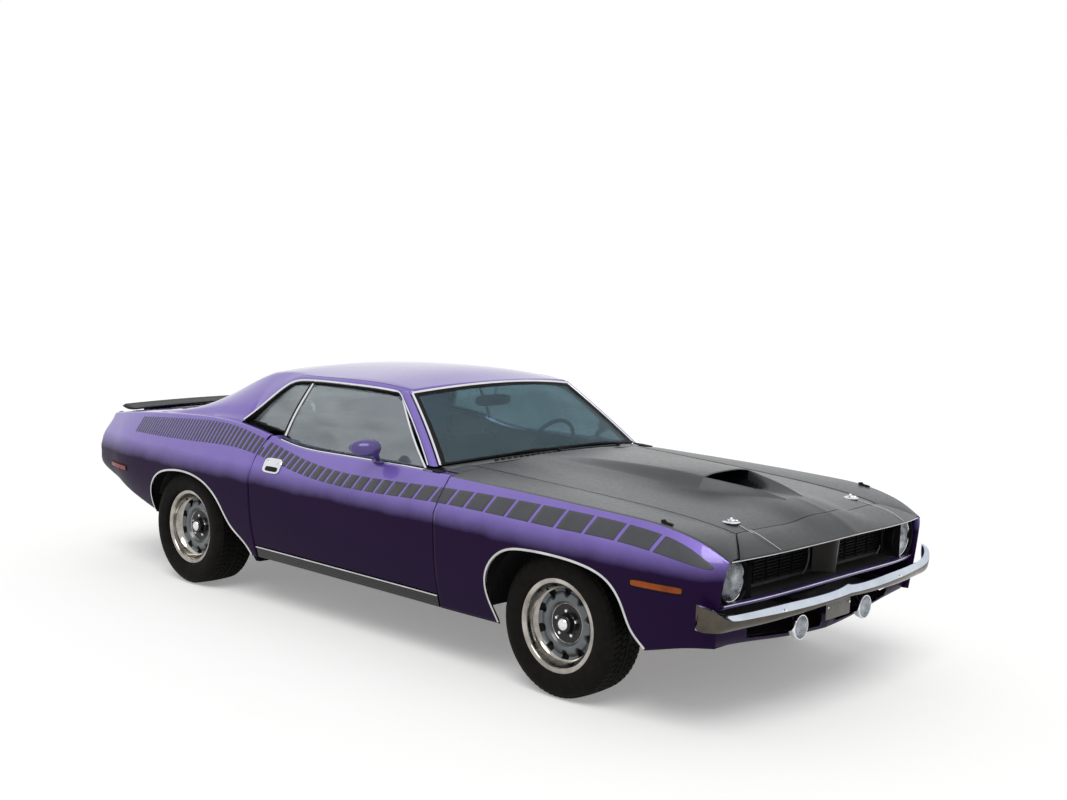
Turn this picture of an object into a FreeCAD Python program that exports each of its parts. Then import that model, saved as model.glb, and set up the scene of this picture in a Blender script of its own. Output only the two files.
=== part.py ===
"""A two-door muscle car as an assembly of separate parts.

Frame: +X is forward, +Y is the car's left, +Z is up. The origin is on the ground, midway along the
car's length on its centre line. All sizes are in millimetres. Right-hand parts are modelled and the
left-hand ones are their mirror images.
"""
import FreeCAD, Part

import math
import os
from FreeCAD import Vector

# Overall layout
HALF_LENGTH = 2371.0
FRONT_AXLE_X = 1441.0
WHEELBASE = 2743.0
REAR_AXLE_X = FRONT_AXLE_X - WHEELBASE
FRONT_TRACK = 1516.0
REAR_TRACK = 1542.0

# Gaps and sheet sizes
PANEL_GAP = 6.0
HOOD_SIDE_GAP = 7.0
COWL_DOOR_GAP = 8.5
SEAT_GAP = 1.0
TRIM_GAP = 2.0
SKIN = 20.0
SHEET = 8.0
GLASS = 6.0

# Wheels
TYRE_RADIUS = 320.0
TYRE_WIDEST_RADIUS = 262.0
SHOULDER_WIDTH = 28.0
FRONT_TYRE_WIDTH = 235.0
REAR_TYRE_WIDTH = 255.0
RIM_SEAT_RADIUS = 190.0
RIM_FLANGE_RADIUS = 206.0
RIM_WIDTH = 204.0
RIM_SHEET = 7.0
DISC_FACE_INSET = 52.0
SLOT_COUNT = 10
SLOT_RADIUS = 132.0
SLOT_LENGTH = 34.0
SLOT_WIDTH = 24.0
HUB_INSET = 26.0
HUB_RADIUS = 74.0
DISC_SHEET = 10.0
LUG_COUNT = 5
LUG_CIRCLE_RADIUS = 57.15
LUG_RADIUS = 11.0
LUG_LENGTH = 22.0
HUB_CAP_RADIUS = 34.0
KINGPIN_INSET = 90.0
LOWER_ARM_Z = 206.0
UPPER_ARM_Z = 430.0
ARM_THICKNESS = 14.0
BORE_RADIUS = 36.0
BORE_CLEARANCE = 0.5
SPINDLE_REACH = 24.0
BRAKE_RADIUS = 138.0
BRAKE_THICKNESS = 22.0
ARCH_LINER_RADIUS = 400.0
REAR_LINER_RADIUS = 384.0
FRONT_WALL_Y = 442.0
REAR_WALL_Y = 575.0

# Doors, hood and lid
DOOR_FRONT_X = 716.0
DOOR_REAR_X = -672.0
DOOR_INNER_Y = 752.0
DOOR_BOTTOM_Z = 326.0
DOOR_REAR_SLANT = 0.26
HOOD_REAR_CENTRE_X = 772.0
HOOD_REAR_CORNER_X = 664.0
HOOD_FRONT_CORNER_X = HALF_LENGTH - 228.0
HOOD_FRONT_CENTRE_X = HALF_LENGTH - 141.0
HOOD_HALF_REAR = 612.0
HOOD_HALF_FRONT = 578.0
HOOD_THICKNESS = 20.0
LID_FRONT_X = -1706.0
LID_HALF = 640.0
TAIL_X = 109.0 - HALF_LENGTH
LID_REAR_X = TAIL_X + 22.0
NOSE_CORNER_X = HALF_LENGTH - 113.0

# Glass house
SCREEN_BASE_CENTRE = (706.0, 940.0)
SCREEN_BASE_CORNER = (563.0, 740.0, 894.0)
SCREEN_TOP_CENTRE = (246.0, 1240.0)
SCREEN_TOP_CORNER = (184.0, 588.0, 1204.0)
SCREEN_BOW = 12.0
PILLAR_DEPTH = 48.0
PILLAR_WIDTH = 34.0
POST_X = -576.0
ROOF_THICKNESS = 24.0
WINDOW_REAR_X = -925.0
BACKLIGHT_TOP_X = -985.0
BACKLIGHT_BASE_X = -1606.0
TULIP_REAR_X = -1700.0

# Nose
LIP_HALF = 784.0
NOSE_HALF = 738.0
NOSE_LIP_X = HALF_LENGTH - 90.0
BAND_HEIGHT = 34.0
BAND_RAKE = 46.0
HEADLAMP_Y = 700.0
HEADLAMP_Z = 642.0
HEADLAMP_RADIUS = 84.0
HEADLAMP_FACE_X = HALF_LENGTH - 149.0
GRILLE_BACK_X = HALF_LENGTH - 193.0
GRILLE_HALF = 600.0
GRILLE_BAR_COUNT = 9
PARKING_Y = 270.0
PARKING_Z = 390.0
PARKING_RADIUS = 54.0
PARKING_FACE_X = HALF_LENGTH - 81.0
PLATE_HOLE_PITCH = 177.8
PLATE_HOLE_RADIUS = 3.5
BUMPER_HEIGHT = 90.0
BUMPER_DEPTH = 26.0
FRONT_BUMPER_Z = 512.0
BUMPER_TIP_RISE = 25.0
REAR_BUMPER_Z = 520.0
BUMPER_HALF = 933.0
REAR_BUMPER_HALF = 740.0
BUMPER_ARM_Z = 496.0
REAR_ARM_Z = 506.0
BUMPER_ARM_HEIGHT = 28.0
VALANCE_TOP_Z = 474.0
PLATE_HALF = 101.0

RADIATOR_X = HALF_LENGTH - 327.0
RADIATOR_DEPTH = 18.0
PLATE_X = HALF_LENGTH - 65.0
PLATE_THICKNESS = 6.0
LENS_STANDOFF = 7.0
HANDLE_STANDOFF = 11.0

# Mirror head on the door: distance from its blunt inner end and radius; its axis points out and back
MIRROR_PROFILE = [(0, 0), (4, 22), (24, 40), (62, 44), (100, 37), (132, 22), (150, 6), (152, 0)]
MIRROR_ROOT = (254.0, -842.0, 950.0)
MIRROR_OUT = (-0.62, -0.785, 0.0)
MIRROR_FOOT_LEAN = 45.0

# Scoop
SCOOP_MOUTH_X = 1694.0
SCOOP_HALF = 187.0
SCOOP_TOP_Z = 949.0
SCOOP_TIP_X = 2066.0

# Cabin
FLOOR_Z = 236.0
FIREWALL_X = 690.0
SEAT_Y = 392.0
WHEEL_CENTRE = (262.0, 372.0, 842.0)
STEERING_WHEEL_RADIUS = 190.0
RIM_GRIP = 12.0
PIPE_RADIUS = 28.0
PIPE_BEND = 80.0


def curve_through(*knots):
    """Natural cubic spline through (x, value) knots, straight beyond its ends."""
    knots = sorted(knots)
    xs = [float(k[0]) for k in knots]
    ys = [float(k[1]) for k in knots]
    n = len(xs)
    h = [xs[i + 1] - xs[i] for i in range(n - 1)]
    m = [0.0] * n
    diag = [0.0] + [2.0 * (h[i - 1] + h[i]) for i in range(1, n - 1)]
    rhs = [0.0] + [6.0 * ((ys[i + 1] - ys[i]) / h[i] - (ys[i] - ys[i - 1]) / h[i - 1]) for i in range(1, n - 1)]
    for i in range(2, n - 1):
        w = h[i - 1] / diag[i - 1]
        diag[i] -= w * h[i - 1]
        rhs[i] -= w * rhs[i - 1]
    for i in range(n - 2, 0, -1):
        m[i] = (rhs[i] - h[i] * m[i + 1]) / diag[i]

    def value(x):
        if x <= xs[0]:
            return ys[0] + ((ys[1] - ys[0]) / h[0] - h[0] * m[1] / 6.0) * (x - xs[0])
        if x >= xs[-1]:
            return ys[-1] + ((ys[-1] - ys[-2]) / h[-1] + h[-1] * m[-2] / 6.0) * (x - xs[-1])
        i = max(j for j in range(n - 1) if xs[j] <= x)
        a = (xs[i + 1] - x) / h[i]
        b = 1.0 - a
        return a * ys[i] + b * ys[i + 1] + ((a ** 3 - a) * m[i] + (b ** 3 - b) * m[i + 1]) * h[i] ** 2 / 6.0

    return value


# Character lines of the body side, as functions of x
CREASE_Y = curve_through((TAIL_X, 838), (-2050, 896), (-1700, 930), (-1302, 946), (-700, 938), (0, 926), (745, 926),
                         (1441, 936), (1800, 929), (2000, 913), (2120, 890), (2200, 858), (NOSE_CORNER_X, 816))
CREASE_Z = curve_through((TAIL_X, 668), (-1302, 684), (0, 700), (1441, 713), (1900, 696), (NOSE_CORNER_X, 668))
PEAK_Y = curve_through((TAIL_X, 766), (-2000, 806), (-1302, 838), (-600, 830), (0, 828), (700, 822), (1400, 835),
                       (1958, 828), (2158, 808), (NOSE_CORNER_X, 794))
PEAK_Z = curve_through((TAIL_X, 862), (-2079, 886), (-1603, 932), (-1250, 953), (-930, 950), (-700, 922),
                       (-450, 880), (-130, 872), (330, 878), (700, 877), (1400, 867), (1750, 857), (1958, 843),
                       (2092, 816), (2180, 786), (NOSE_CORNER_X, 746))
BOTTOM_Z = curve_through((TAIL_X, 600), (-2180, 582), (-2050, 526), (-1800, 436), (-1560, 356), (-1300, 300),
                         (-900, 262), (-300, 258), (700, 258), (1400, 270), (1900, 316), (2050, 354), (2166, 377),
                         (NOSE_CORNER_X, 382))
TUCK = curve_through((TAIL_X, 40), (-1590, 64), (0, 62), (1441, 60), (NOSE_CORNER_X, 30))

# Roof, ridge and deck lines
ROOF_CENTRE_Z = curve_through((TULIP_REAR_X, 946), (-1606, 960), (-1480, 1022), (-1300, 1116), (-1140, 1186),
                              (-985, 1232), (-650, 1276), (-250, 1293), (60, 1280), (246, 1246))
SHOULDER_Y = curve_through((TULIP_REAR_X, 650), (-1606, 652), (-1480, 628), (-1300, 590), (-1160, 570), (-985, 556),
                           (-650, 566), (-250, 572), (60, 566), (246, 548))
SHOULDER_Z = curve_through((TULIP_REAR_X, 938), (-1606, 948), (-1480, 984), (-1300, 1062), (-1160, 1130),
                           (-985, 1198), (-650, 1226), (-250, 1238), (60, 1234), (246, 1214))
RAIL_Y = curve_through((WINDOW_REAR_X, 798), (-860, 752), (-780, 676), (-715, 628), (-500, 614), (-250, 614), (60, 606),
                       (246, 590))
RAIL_Z = curve_through((WINDOW_REAR_X, 956), (-860, 1020), (-780, 1118), (-715, 1180), (-500, 1202), (-250, 1208),
                       (60, 1205), (246, 1190))

DECK_EDGE_Z = curve_through((TAIL_X, 866), (-2079, 892), (-1900, 912), (TULIP_REAR_X, 936))
DECK_CENTRE_Z = curve_through((TAIL_X, 870), (-2079, 900), (-1900, 922), (TULIP_REAR_X, 946))

# Hood lines
HOOD_EDGE_Z = curve_through((664, 900), (1120, 884), (1435, 870), (1750, 853), (1985, 832), (2143, 806), (2230, 784))
HOOD_CENTRE_Z = curve_through((664, 942), (1100, 928), (1500, 916), (1800, 904), (2050, 884), (2143, 866), (2230, 841))

# Nose lines, as functions of the distance from the centre line
LIP_TOP_X = curve_through((0, HALF_LENGTH), (300, HALF_LENGTH - 17), (600, HALF_LENGTH - 57),
                          (LIP_HALF, HALF_LENGTH - 102))
LIP_TOP_Z = curve_through((0, 773), (400, 762), (LIP_HALF, 743))
LIP_LOW_X = curve_through((0, HALF_LENGTH - 4), (300, HALF_LENGTH - 25), (600, HALF_LENGTH - 79),
                          (LIP_HALF, HALF_LENGTH - 131))
LIP_LOW_Z = curve_through((0, 593), (300, 583), (600, 562), (LIP_HALF, 548))
FRONT_BUMPER_X = curve_through((0, HALF_LENGTH), (300, HALF_LENGTH - 9), (600, HALF_LENGTH - 35),
                               (800, HALF_LENGTH - 63), (900, HALF_LENGTH - 95), (BUMPER_HALF, HALF_LENGTH - 127))
REAR_BUMPER_X = curve_through((0, -HALF_LENGTH), (400, 4 - HALF_LENGTH), (600, 19 - HALF_LENGTH),
                              (700, 37 - HALF_LENGTH), (REAR_BUMPER_HALF, 53 - HALF_LENGTH))
VALANCE_X = curve_through((0, HALF_LENGTH - 103), (300, HALF_LENGTH - 127), (600, HALF_LENGTH - 149),
                          (800, HALF_LENGTH - 167))
VALANCE_LOW_Z = curve_through((0, 334), (200, 337), (600, 374), (800, 381))

FRONT_ARCH = [(1120, 225), (1098, 290), (1056, 400), (1054, 470), (1090, 545), (1184, 615), (1300, 637), (1470, 641),
              (1633, 628), (1765, 581), (1825, 508), (1876, 390), (1935, 320), (1990, 225)]
REAR_ARCH = [(-1648, 225), (-1652, 380), (-1646, 455), (-1612, 530), (-1540, 592), (-1405, 632), (-1290, 642),
             (-1190, 636), (-1050, 594), (-953, 515), (-862, 390), (-759, 305), (-715, 225)]


def lerp(a, b, t):
    return a + (b - a) * t


def steps(a, b, n):
    return [lerp(a, b, i / (n - 1)) for i in range(n)]


def edge_through(points):
    """One edge through the points: a line for two, a spline for more."""
    if len(points) == 2:
        return Part.LineSegment(points[0], points[1]).toShape()
    spline = Part.BSplineCurve()
    spline.interpolate(Points=points, Parameters=[i / (len(points) - 1.0) for i in range(len(points))])
    return spline.toShape()


def moved_in(points, thickness):
    """The points moved inwards, square to their line in the YZ plane; the line runs up, then towards +Y."""
    result = []
    for i, p in enumerate(points):
        a = points[max(i - 1, 0)]
        b = points[min(i + 1, len(points) - 1)]
        dy, dz = b.y - a.y, b.z - a.z
        size = math.hypot(dy, dz)
        result.append(Vector(p.x, p.y + thickness * dz / size, p.z - thickness * dy / size))
    return result


def loft(sections):
    """A solid through closed sections, each a list of point runs that follow one another."""
    wires = []
    for runs in sections:
        edges = [edge_through(run) for run in runs]
        if (runs[-1][-1] - runs[0][0]).Length > 1e-6:
            edges.append(edge_through([runs[-1][-1], runs[0][0]]))
        wires.append(Part.Wire(edges))
    return Part.makeLoft(wires, True, True)


def sheet_section(runs, thickness):
    """A closed section: the outer runs, then the same runs moved in and taken backwards."""
    flat = list(runs[0])
    for run in runs[1:]:
        flat += run[1:]
    inner = moved_in(flat, thickness)
    closed = list(runs) + [[flat[-1], inner[-1]]]
    stop = len(inner) - 1
    for run in reversed(runs):
        start = stop - (len(run) - 1)
        closed.append(inner[start:stop + 1][::-1])
        stop = start
    return closed


def flip_y(shape):
    return shape.mirror(Vector(0, 0, 0), Vector(0, 1, 0))


def pair(shape):
    """The right-hand shape and its left-hand twin."""
    return Part.makeCompound([shape, flip_y(shape)])


def prism_xz(points, y0, y1, smooth=False):
    """A closed outline of (x, z) points, extruded from y0 to y1."""
    pts = [Vector(x, y0, z) for x, z in points]
    edges = [edge_through(pts)] if smooth else [edge_through([a, b]) for a, b in zip(pts, pts[1:])]
    edges.append(edge_through([pts[-1], pts[0]]))
    return Part.Face(Part.Wire(edges)).extrude(Vector(0, y1 - y0, 0))


def prism_yz(points, x0, x1):
    pts = [Vector(x0, y, z) for y, z in points]
    return Part.Face(Part.makePolygon(pts + [pts[0]])).extrude(Vector(x1 - x0, 0, 0))


def prism_xy(points, z0, z1):
    pts = [Vector(x, y, z0) for x, y in points]
    return Part.Face(Part.makePolygon(pts + [pts[0]])).extrude(Vector(0, 0, z1 - z0))


def box(x0, x1, y0, y1, z0, z1):
    return Part.makeBox(x1 - x0, y1 - y0, z1 - z0, Vector(x0, y0, z0))


def cylinder_y(x, y0, y1, z, radius):
    return Part.makeCylinder(radius, y1 - y0, Vector(x, y0, z), Vector(0, 1, 0))


def cylinder_x(x0, x1, y, z, radius):
    return Part.makeCylinder(radius, x1 - x0, Vector(x0, y, z), Vector(1, 0, 0))


def rod(a, b, radius):
    return Part.makeCylinder(radius, (b - a).Length, a, b - a)


def pipe(points, radius, bend):
    """A round bar of straight runs and round bends, all of one bend radius."""
    pieces = []
    start = points[0]
    for a, p, b in zip(points, points[1:], points[2:]):
        u, v = (p - a).normalize(), (b - p).normalize()
        turn = math.acos(max(-1.0, min(1.0, u.dot(v))))
        cut = bend * math.tan(turn / 2)
        first, last = p - u * cut, p + v * cut
        centre = p + (v - u).normalize() * (bend / math.cos(turn / 2))
        disc = Part.Face(Part.Wire(Part.makeCircle(radius, first, u)))
        pieces.append(rod(start, first, radius))
        pieces.append(disc.revolve(centre, u.cross(v), math.degrees(turn)))
        start = last
    pieces.append(rod(start, points[-1], radius))
    return pieces[0].fuse(pieces[1:])


def revolve_y(profile, x, z):
    """A closed profile of (radius, y) points turned about the Y-parallel axis through x and z."""
    pts = [Vector(x + r, y, z) for r, y in profile]
    face = Part.Face(Part.makePolygon(pts + [pts[0]]))
    return face.revolve(Vector(x, 0, z), Vector(0, 1, 0), 360)


# Body side

def side_runs(x, bottom=None):
    """Outer body side on the right at x, from the bottom up to the crease and on to the peak."""
    low, high = [], []
    z0 = BOTTOM_Z(x)
    for t in (0.0, 0.2, 0.5, 0.78, 1.0):
        z = lerp(z0 if bottom is None else bottom, CREASE_Z(x), t)
        share = (z - z0) / (CREASE_Z(x) - z0)
        low.append(Vector(x, -(CREASE_Y(x) - TUCK(x) * (1.0 - share) ** 2.2), z))
    for t in (0.0, 0.5, 1.0):
        bulge = 8.0 * math.sin(math.pi * t)
        high.append(Vector(x, -(lerp(CREASE_Y(x), PEAK_Y(x), t) + bulge), lerp(CREASE_Z(x), PEAK_Z(x), t)))
    high[0] = low[-1]
    return [low, high]


def hood_half(x):
    share = (x - HOOD_REAR_CORNER_X) / (HOOD_FRONT_CORNER_X - HOOD_REAR_CORNER_X)
    return lerp(HOOD_HALF_REAR, HOOD_HALF_FRONT, share)


def nose_seam_y(x):
    """Half width of the nose panel between the hood's front corner and the lip over the grille."""
    start = HOOD_FRONT_CORNER_X + PANEL_GAP
    return lerp(HOOD_HALF_FRONT, NOSE_HALF, (x - start) / (NOSE_LIP_X - start))


def surface_y(x, z):
    """Outer body side at x and z, as a distance from the centre line."""
    if z < CREASE_Z(x):
        share = (z - BOTTOM_Z(x)) / (CREASE_Z(x) - BOTTOM_Z(x))
        return CREASE_Y(x) - TUCK(x) * (1.0 - share) ** 2.2
    t = (z - CREASE_Z(x)) / (PEAK_Z(x) - CREASE_Z(x))
    return lerp(CREASE_Y(x), PEAK_Y(x), t) + 8.0 * math.sin(math.pi * t)


def front_fender():
    """Right front fender: side, peak and top shelf up to the hood, with the wheel arch cut out."""
    sections = []
    spread = [0.0, 0.1, 0.22, 0.36, 0.5, 0.62, 0.73, 0.82, 0.875, 0.924, 0.962, 1.0]
    for x in [lerp(DOOR_FRONT_X + PANEL_GAP, NOSE_CORNER_X, u) for u in spread]:
        runs = side_runs(x)
        peak = runs[-1][-1]
        inner = hood_half(x) + HOOD_SIDE_GAP
        z_in = HOOD_EDGE_Z(x)
        if x > HOOD_FRONT_CORNER_X:
            share = (x - HOOD_FRONT_CORNER_X) / (NOSE_CORNER_X - HOOD_FRONT_CORNER_X)
            inner = nose_seam_y(x) + 1.6 * PANEL_GAP
            z_in = lerp(HOOD_EDGE_Z(HOOD_FRONT_CORNER_X), PEAK_Z(NOSE_CORNER_X) + 2, share)
        middle = Vector(x, -0.5 * (PEAK_Y(x) + inner), 0.5 * (PEAK_Z(x) + z_in) + 4)
        runs.append([peak, middle, Vector(x, -inner, z_in)])
        sections.append(sheet_section(runs, SKIN))
    return loft(sections).cut(prism_xz(FRONT_ARCH, -1100, -700, smooth=True))


def shut_line(shift=0.0):
    """The door's rear shut line, from below the sill to above the belt, moved forward by a shift."""
    line = [(0, 200), (0, 420), (-2, 600), (-6, 720), (0, 810), (31, 905), (90, 1000)]
    return [(DOOR_REAR_X + x + shift, z) for x, z in line]


def region(line, far_x, y0, y1, slant=0.0):
    """A solid block between a line of (x, z) points and a far x, drawn along Y and slanted in plan."""
    pts = [Vector(x, y0, z) for x, z in line]
    corners = [Vector(far_x, y0, line[-1][1]), Vector(far_x, y0, line[0][1])]
    edges = [edge_through(pts)]
    for a, b in zip([pts[-1]] + corners, corners + [pts[0]]):
        edges.append(edge_through([a, b]))
    return Part.Face(Part.Wire(edges)).extrude(Vector(slant, y1 - y0, 0))


def door():
    """Right door: curved outer skin and flat inner trim, with a slanted rear end to clear the jamb."""
    sections = []
    for x in steps(DOOR_REAR_X - 40.0, DOOR_FRONT_X, 7):
        runs = side_runs(x, DOOR_BOTTOM_Z)
        first, peak = runs[0][0], runs[-1][-1]
        top_in, low_in = Vector(x, -DOOR_INNER_Y, peak.z), Vector(x, -DOOR_INNER_Y, DOOR_BOTTOM_Z)
        sections.append(runs + [[peak, top_in], [top_in, low_in], [low_in, first]])
    outer, inner = -1000.0, -700.0
    line = shut_line(-DOOR_REAR_SLANT * (-CREASE_Y(DOOR_REAR_X) - outer))
    slant = DOOR_REAR_SLANT * (inner - outer)
    return loft(sections).cut(region(line, DOOR_REAR_X - 300.0, outer, inner, slant))


def quarter_panel():
    """Right quarter panel: haunch, shelf and tail end, with the shut line and wheel arch cut out."""
    sections = []
    for x in [-590.0, -660.0, -740.0, -850.0, -1000.0, -1150.0, -1302.0, -1500.0, -1700.0, -1900.0, -2080.0,
              -2180.0, TAIL_X]:
        runs = side_runs(x)
        peak = runs[-1][-1]
        runs.append([peak, Vector(x, -quarter_inner_y(x), peak.z + 2.0)])
        sections.append(sheet_section(runs, SKIN))
    ahead = region(shut_line(-PANEL_GAP), 0.0, -1100.0, -700.0)
    return loft(sections).cut(ahead).cut(prism_xz(REAR_ARCH, -1100, -700, smooth=True))


def quarter_inner_y(x):
    """Where the quarter panel's top shelf ends."""
    return min(PEAK_Y(x) - 24.0, 806.0)


def deck_side():
    """The strip beside the trunk lid, from the quarter panel's shelf to the lid gap."""
    sections = []
    for x in steps(TULIP_REAR_X - SEAT_GAP, TAIL_X, 5):
        y_out = quarter_inner_y(x) - 4.0 * SEAT_GAP
        z_out = PEAK_Z(x) + 2.0
        z_in = DECK_EDGE_Z(x)
        runs = [[Vector(x, -y_out, z_out), Vector(x, -0.5 * (y_out + LID_HALF), 0.5 * (z_out + z_in) + 3.0),
                 Vector(x, -(LID_HALF + PANEL_GAP), z_in)]]
        sections.append(sheet_section(runs, SKIN))
    return loft(sections)


def sill():
    """Right rocker panel under the door, between the fender and the quarter panel."""
    sections = []
    top = DOOR_BOTTOM_Z - PANEL_GAP
    for x in steps(DOOR_REAR_X - PANEL_GAP + SEAT_GAP, DOOR_FRONT_X + PANEL_GAP - SEAT_GAP, 4):
        outer = side_runs(x)[0]
        low = outer[0]
        share = (top - low.z) / (CREASE_Z(x) - low.z)
        edge = -(CREASE_Y(x) - TUCK(x) * (1.0 - share) ** 2.2)
        sections.append([[low, Vector(x, edge, top)], [Vector(x, edge, top), Vector(x, -DOOR_INNER_Y, top)],
                         [Vector(x, -DOOR_INNER_Y, top), Vector(x, -DOOR_INNER_Y, low.z)]])
    return loft(sections)


# Roof, glass and deck

def roof_runs(x, base=True):
    """Right half of the roof section at x: from the base up to the shoulder, then over to the centre."""
    foot = Vector(x, -RAIL_Y(x), RAIL_Z(x))
    if x <= WINDOW_REAR_X:
        foot = Vector(x, -(quarter_inner_y(x) - 1.5 * SEAT_GAP), PEAK_Z(x) + 2.0)
    shoulder = Vector(x, -SHOULDER_Y(x), SHOULDER_Z(x))
    crown = Vector(x, 0.0, ROOF_CENTRE_Z(x))
    lean = Vector(x, lerp(foot.y, shoulder.y, 0.5) - 7.0, lerp(foot.z, shoulder.z, 0.5) + 7.0)
    rise = crown.z - shoulder.z
    middle = [Vector(x, shoulder.y * (1 - t), shoulder.z + rise * (1 - (1 - t) ** 2)) for t in (0.33, 0.66)]
    over = [shoulder] + middle + [crown]
    return ([[foot, lean, shoulder]] if base else []) + [over]


def both_halves(runs):
    """The runs of the right half, joined at the centre to their mirror images."""
    last = runs[-1]
    whole = last + [Vector(p.x, -p.y, p.z) for p in reversed(last[:-1])]
    rest = [[Vector(p.x, -p.y, p.z) for p in reversed(run)] for run in reversed(runs[:-1])]
    return runs[:-1] + [whole] + rest


def backlight_cut(grow):
    """Plan outline of the backlight opening, drawn straight down, made larger by grow."""
    outline = []
    for x in steps(BACKLIGHT_TOP_X + grow, BACKLIGHT_BASE_X - grow, 6):
        outline.append((x, -(SHOULDER_Y(x) - 26.0 + grow)))
    return prism_xy(outline + [(x, -y) for x, y in reversed(outline)], 850, 1300)


def roof_shell():
    """Roof skin with its sail panels, the panel under the backlight and the windscreen pillars."""
    sections = []
    for x in [SCREEN_TOP_CENTRE[0], 60.0, -250.0, -500.0, -640.0, -715.0, -780.0, -860.0, WINDOW_REAR_X, -985.0, -1110.0,
              -1250.0, -1400.0, -1550.0, -1650.0, TULIP_REAR_X]:
        sections.append(sheet_section(both_halves(roof_runs(x)), ROOF_THICKNESS))
    front = [(SCREEN_TOP_CENTRE[0] + 60.0, -700.0)]
    for y in steps(-700.0, 700.0, 11):
        share = (y / SCREEN_TOP_CORNER[1]) ** 2
        front.append((lerp(SCREEN_TOP_CENTRE[0], SCREEN_TOP_CORNER[0], share) - SEAT_GAP, y))
    front.append((SCREEN_TOP_CENTRE[0] + 60.0, 700.0))
    skin = loft(sections).cut(backlight_cut(0.0)).cut(prism_xy(front, 1100.0, 1350.0))
    return skin.fuse([pillar(), flip_y(pillar())])


def pillar():
    """Right windscreen pillar, from the cowl to the roof's front corner."""
    sections = []
    for t in (0.0, 0.5, 1.03):
        x = lerp(SCREEN_BASE_CORNER[0], SCREEN_TOP_CORNER[0], t) + SCREEN_BOW * (1.0 - (2.0 * t - 1.0) ** 2)
        y = lerp(SCREEN_BASE_CORNER[1], SCREEN_TOP_CORNER[1], t)
        z = lerp(SCREEN_BASE_CORNER[2], SCREEN_TOP_CORNER[2], t)
        near, far = -(y + PILLAR_WIDTH), -(y + 4.0)
        quad = [Vector(x, far, z), Vector(x - 8.0, near, z), Vector(x - PILLAR_DEPTH, near, z),
                Vector(x - PILLAR_DEPTH, far, z)]
        sections.append([[a, b] for a, b in zip(quad, quad[1:] + quad[:1])])
    return loft(sections)


def windscreen():
    """Curved laminated glass between the pillars, the cowl and the roof."""
    grid = []
    for t in (0.02, 0.5, 0.98):
        centre = Vector(lerp(SCREEN_BASE_CENTRE[0], SCREEN_TOP_CENTRE[0], t), 0,
                        lerp(SCREEN_BASE_CENTRE[1], SCREEN_TOP_CENTRE[1], t) + 20.0 * t * (1 - t))
        side = [lerp(a, b, t) for a, b in zip(SCREEN_BASE_CORNER, SCREEN_TOP_CORNER)]
        side[0] += SCREEN_BOW * 4.0 * t * (1 - t)
        grid.append([Vector(lerp(centre.x, side[0], s * s), s * side[1], lerp(centre.z, side[2], s * s))
                     for s in (-1.0, -0.6, -0.3, 0.0, 0.3, 0.6, 1.0)])
    return grid_solid(grid, Vector(-0.6 * GLASS, 0, -0.8 * GLASS))


def backlight():
    """Rear window glass, set in its opening with a seal gap all round."""
    sections = []
    for x in [-960.0, -1080.0, -1200.0, -1350.0, -1500.0, -1630.0]:
        sections.append(sheet_section(both_halves(roof_runs(x, base=False)), GLASS))
    return loft(sections).common(backlight_cut(-3.0))


def side_glass(outline, x0, x1):
    """Curved side glass from the belt to the rail, trimmed to an (x, z) outline."""
    sections = []
    for x in (x0, 0.5 * (x0 + x1), x1):
        foot_y, top_y = 800.0, 596.0
        outer = [Vector(x, -foot_y, 850.0), Vector(x, -720.0, 1020.0), Vector(x, -top_y, 1200.0)]
        inner = [p + Vector(0, GLASS * 0.88, -GLASS * 0.4) for p in reversed(outer)]
        sections.append([outer, [outer[-1], inner[0]], inner])
    return loft(sections).common(prism_xz(outline, -900, -500))


def door_glass():
    """Right frameless door glass, standing on the door top."""
    outline = [(POST_X + 10, 916), (-520, 898), (-380, 882), (-130, 880), (500, 886), (452, 928), (300, 1052), (160, 1160),
               (120, 1176), (40, 1182), (-250, 1186), (-500, 1180), (POST_X + 26, 1172)]
    return side_glass(outline, POST_X - 40.0, 540.0)


def quarter_glass():
    """Right quarter window with its bright front post."""
    outline = [(POST_X, 924), (POST_X + 16, 1172), (-640, 1172), (-706, 1160), (-778, 1092), (-862, 996), (-894, 962),
               (-760, 948), (-660, 936)]
    return side_glass(outline, WINDOW_REAR_X - 20.0, POST_X + 40.0)


def lid_runs(x):
    edge, centre = DECK_EDGE_Z(x), DECK_CENTRE_Z(x)
    outer = []
    for s in (-1.0, -0.5, 0.0, 0.5, 1.0):
        outer.append(Vector(x, s * LID_HALF, lerp(centre, edge, s * s)))
    return [outer]


def trunk_lid():
    sections = [sheet_section(lid_runs(x), SKIN) for x in steps(LID_FRONT_X, LID_REAR_X, 5)]
    return loft(sections)


def rear_spoiler():
    """Ducktail blade on two feet, standing on the trunk lid."""
    sections = []
    for s in (-1.0, -0.7, -0.35, 0.0, 0.35, 0.7, 1.0):
        y = 735.0 * s
        sweep = 24.0 * (1.0 - s * s)
        lift = 12.0 * (1.0 - s * s)
        nose = Vector(TAIL_X + 166.0 - sweep, y, 904.0 + lift)
        crest = Vector(TAIL_X + 92.0 - sweep, y, 906.0 + lift)
        tip = Vector(TAIL_X + 24.0 - sweep, y, 914.0 + lift)
        under = Vector(TAIL_X + 30.0 - sweep, y, 894.0 + lift)
        sections.append([[nose, crest, tip], [tip, under], [under, nose]])
    blade = loft(sections)
    feet = [box(TAIL_X + 42, TAIL_X + 142, y - 20, y + 20, 870, 908) for y in (-420.0, 420.0)]
    solid = blade.fuse(feet)
    raised = [[[p + Vector(0, 0, SEAT_GAP) for p in lid_runs(x)[0]]] for x in steps(LID_FRONT_X, LID_REAR_X - 60.0, 5)]
    cut = loft([sheet_section(runs, 60.0) for runs in raised])
    return solid.cut(cut)


# Hood

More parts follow.
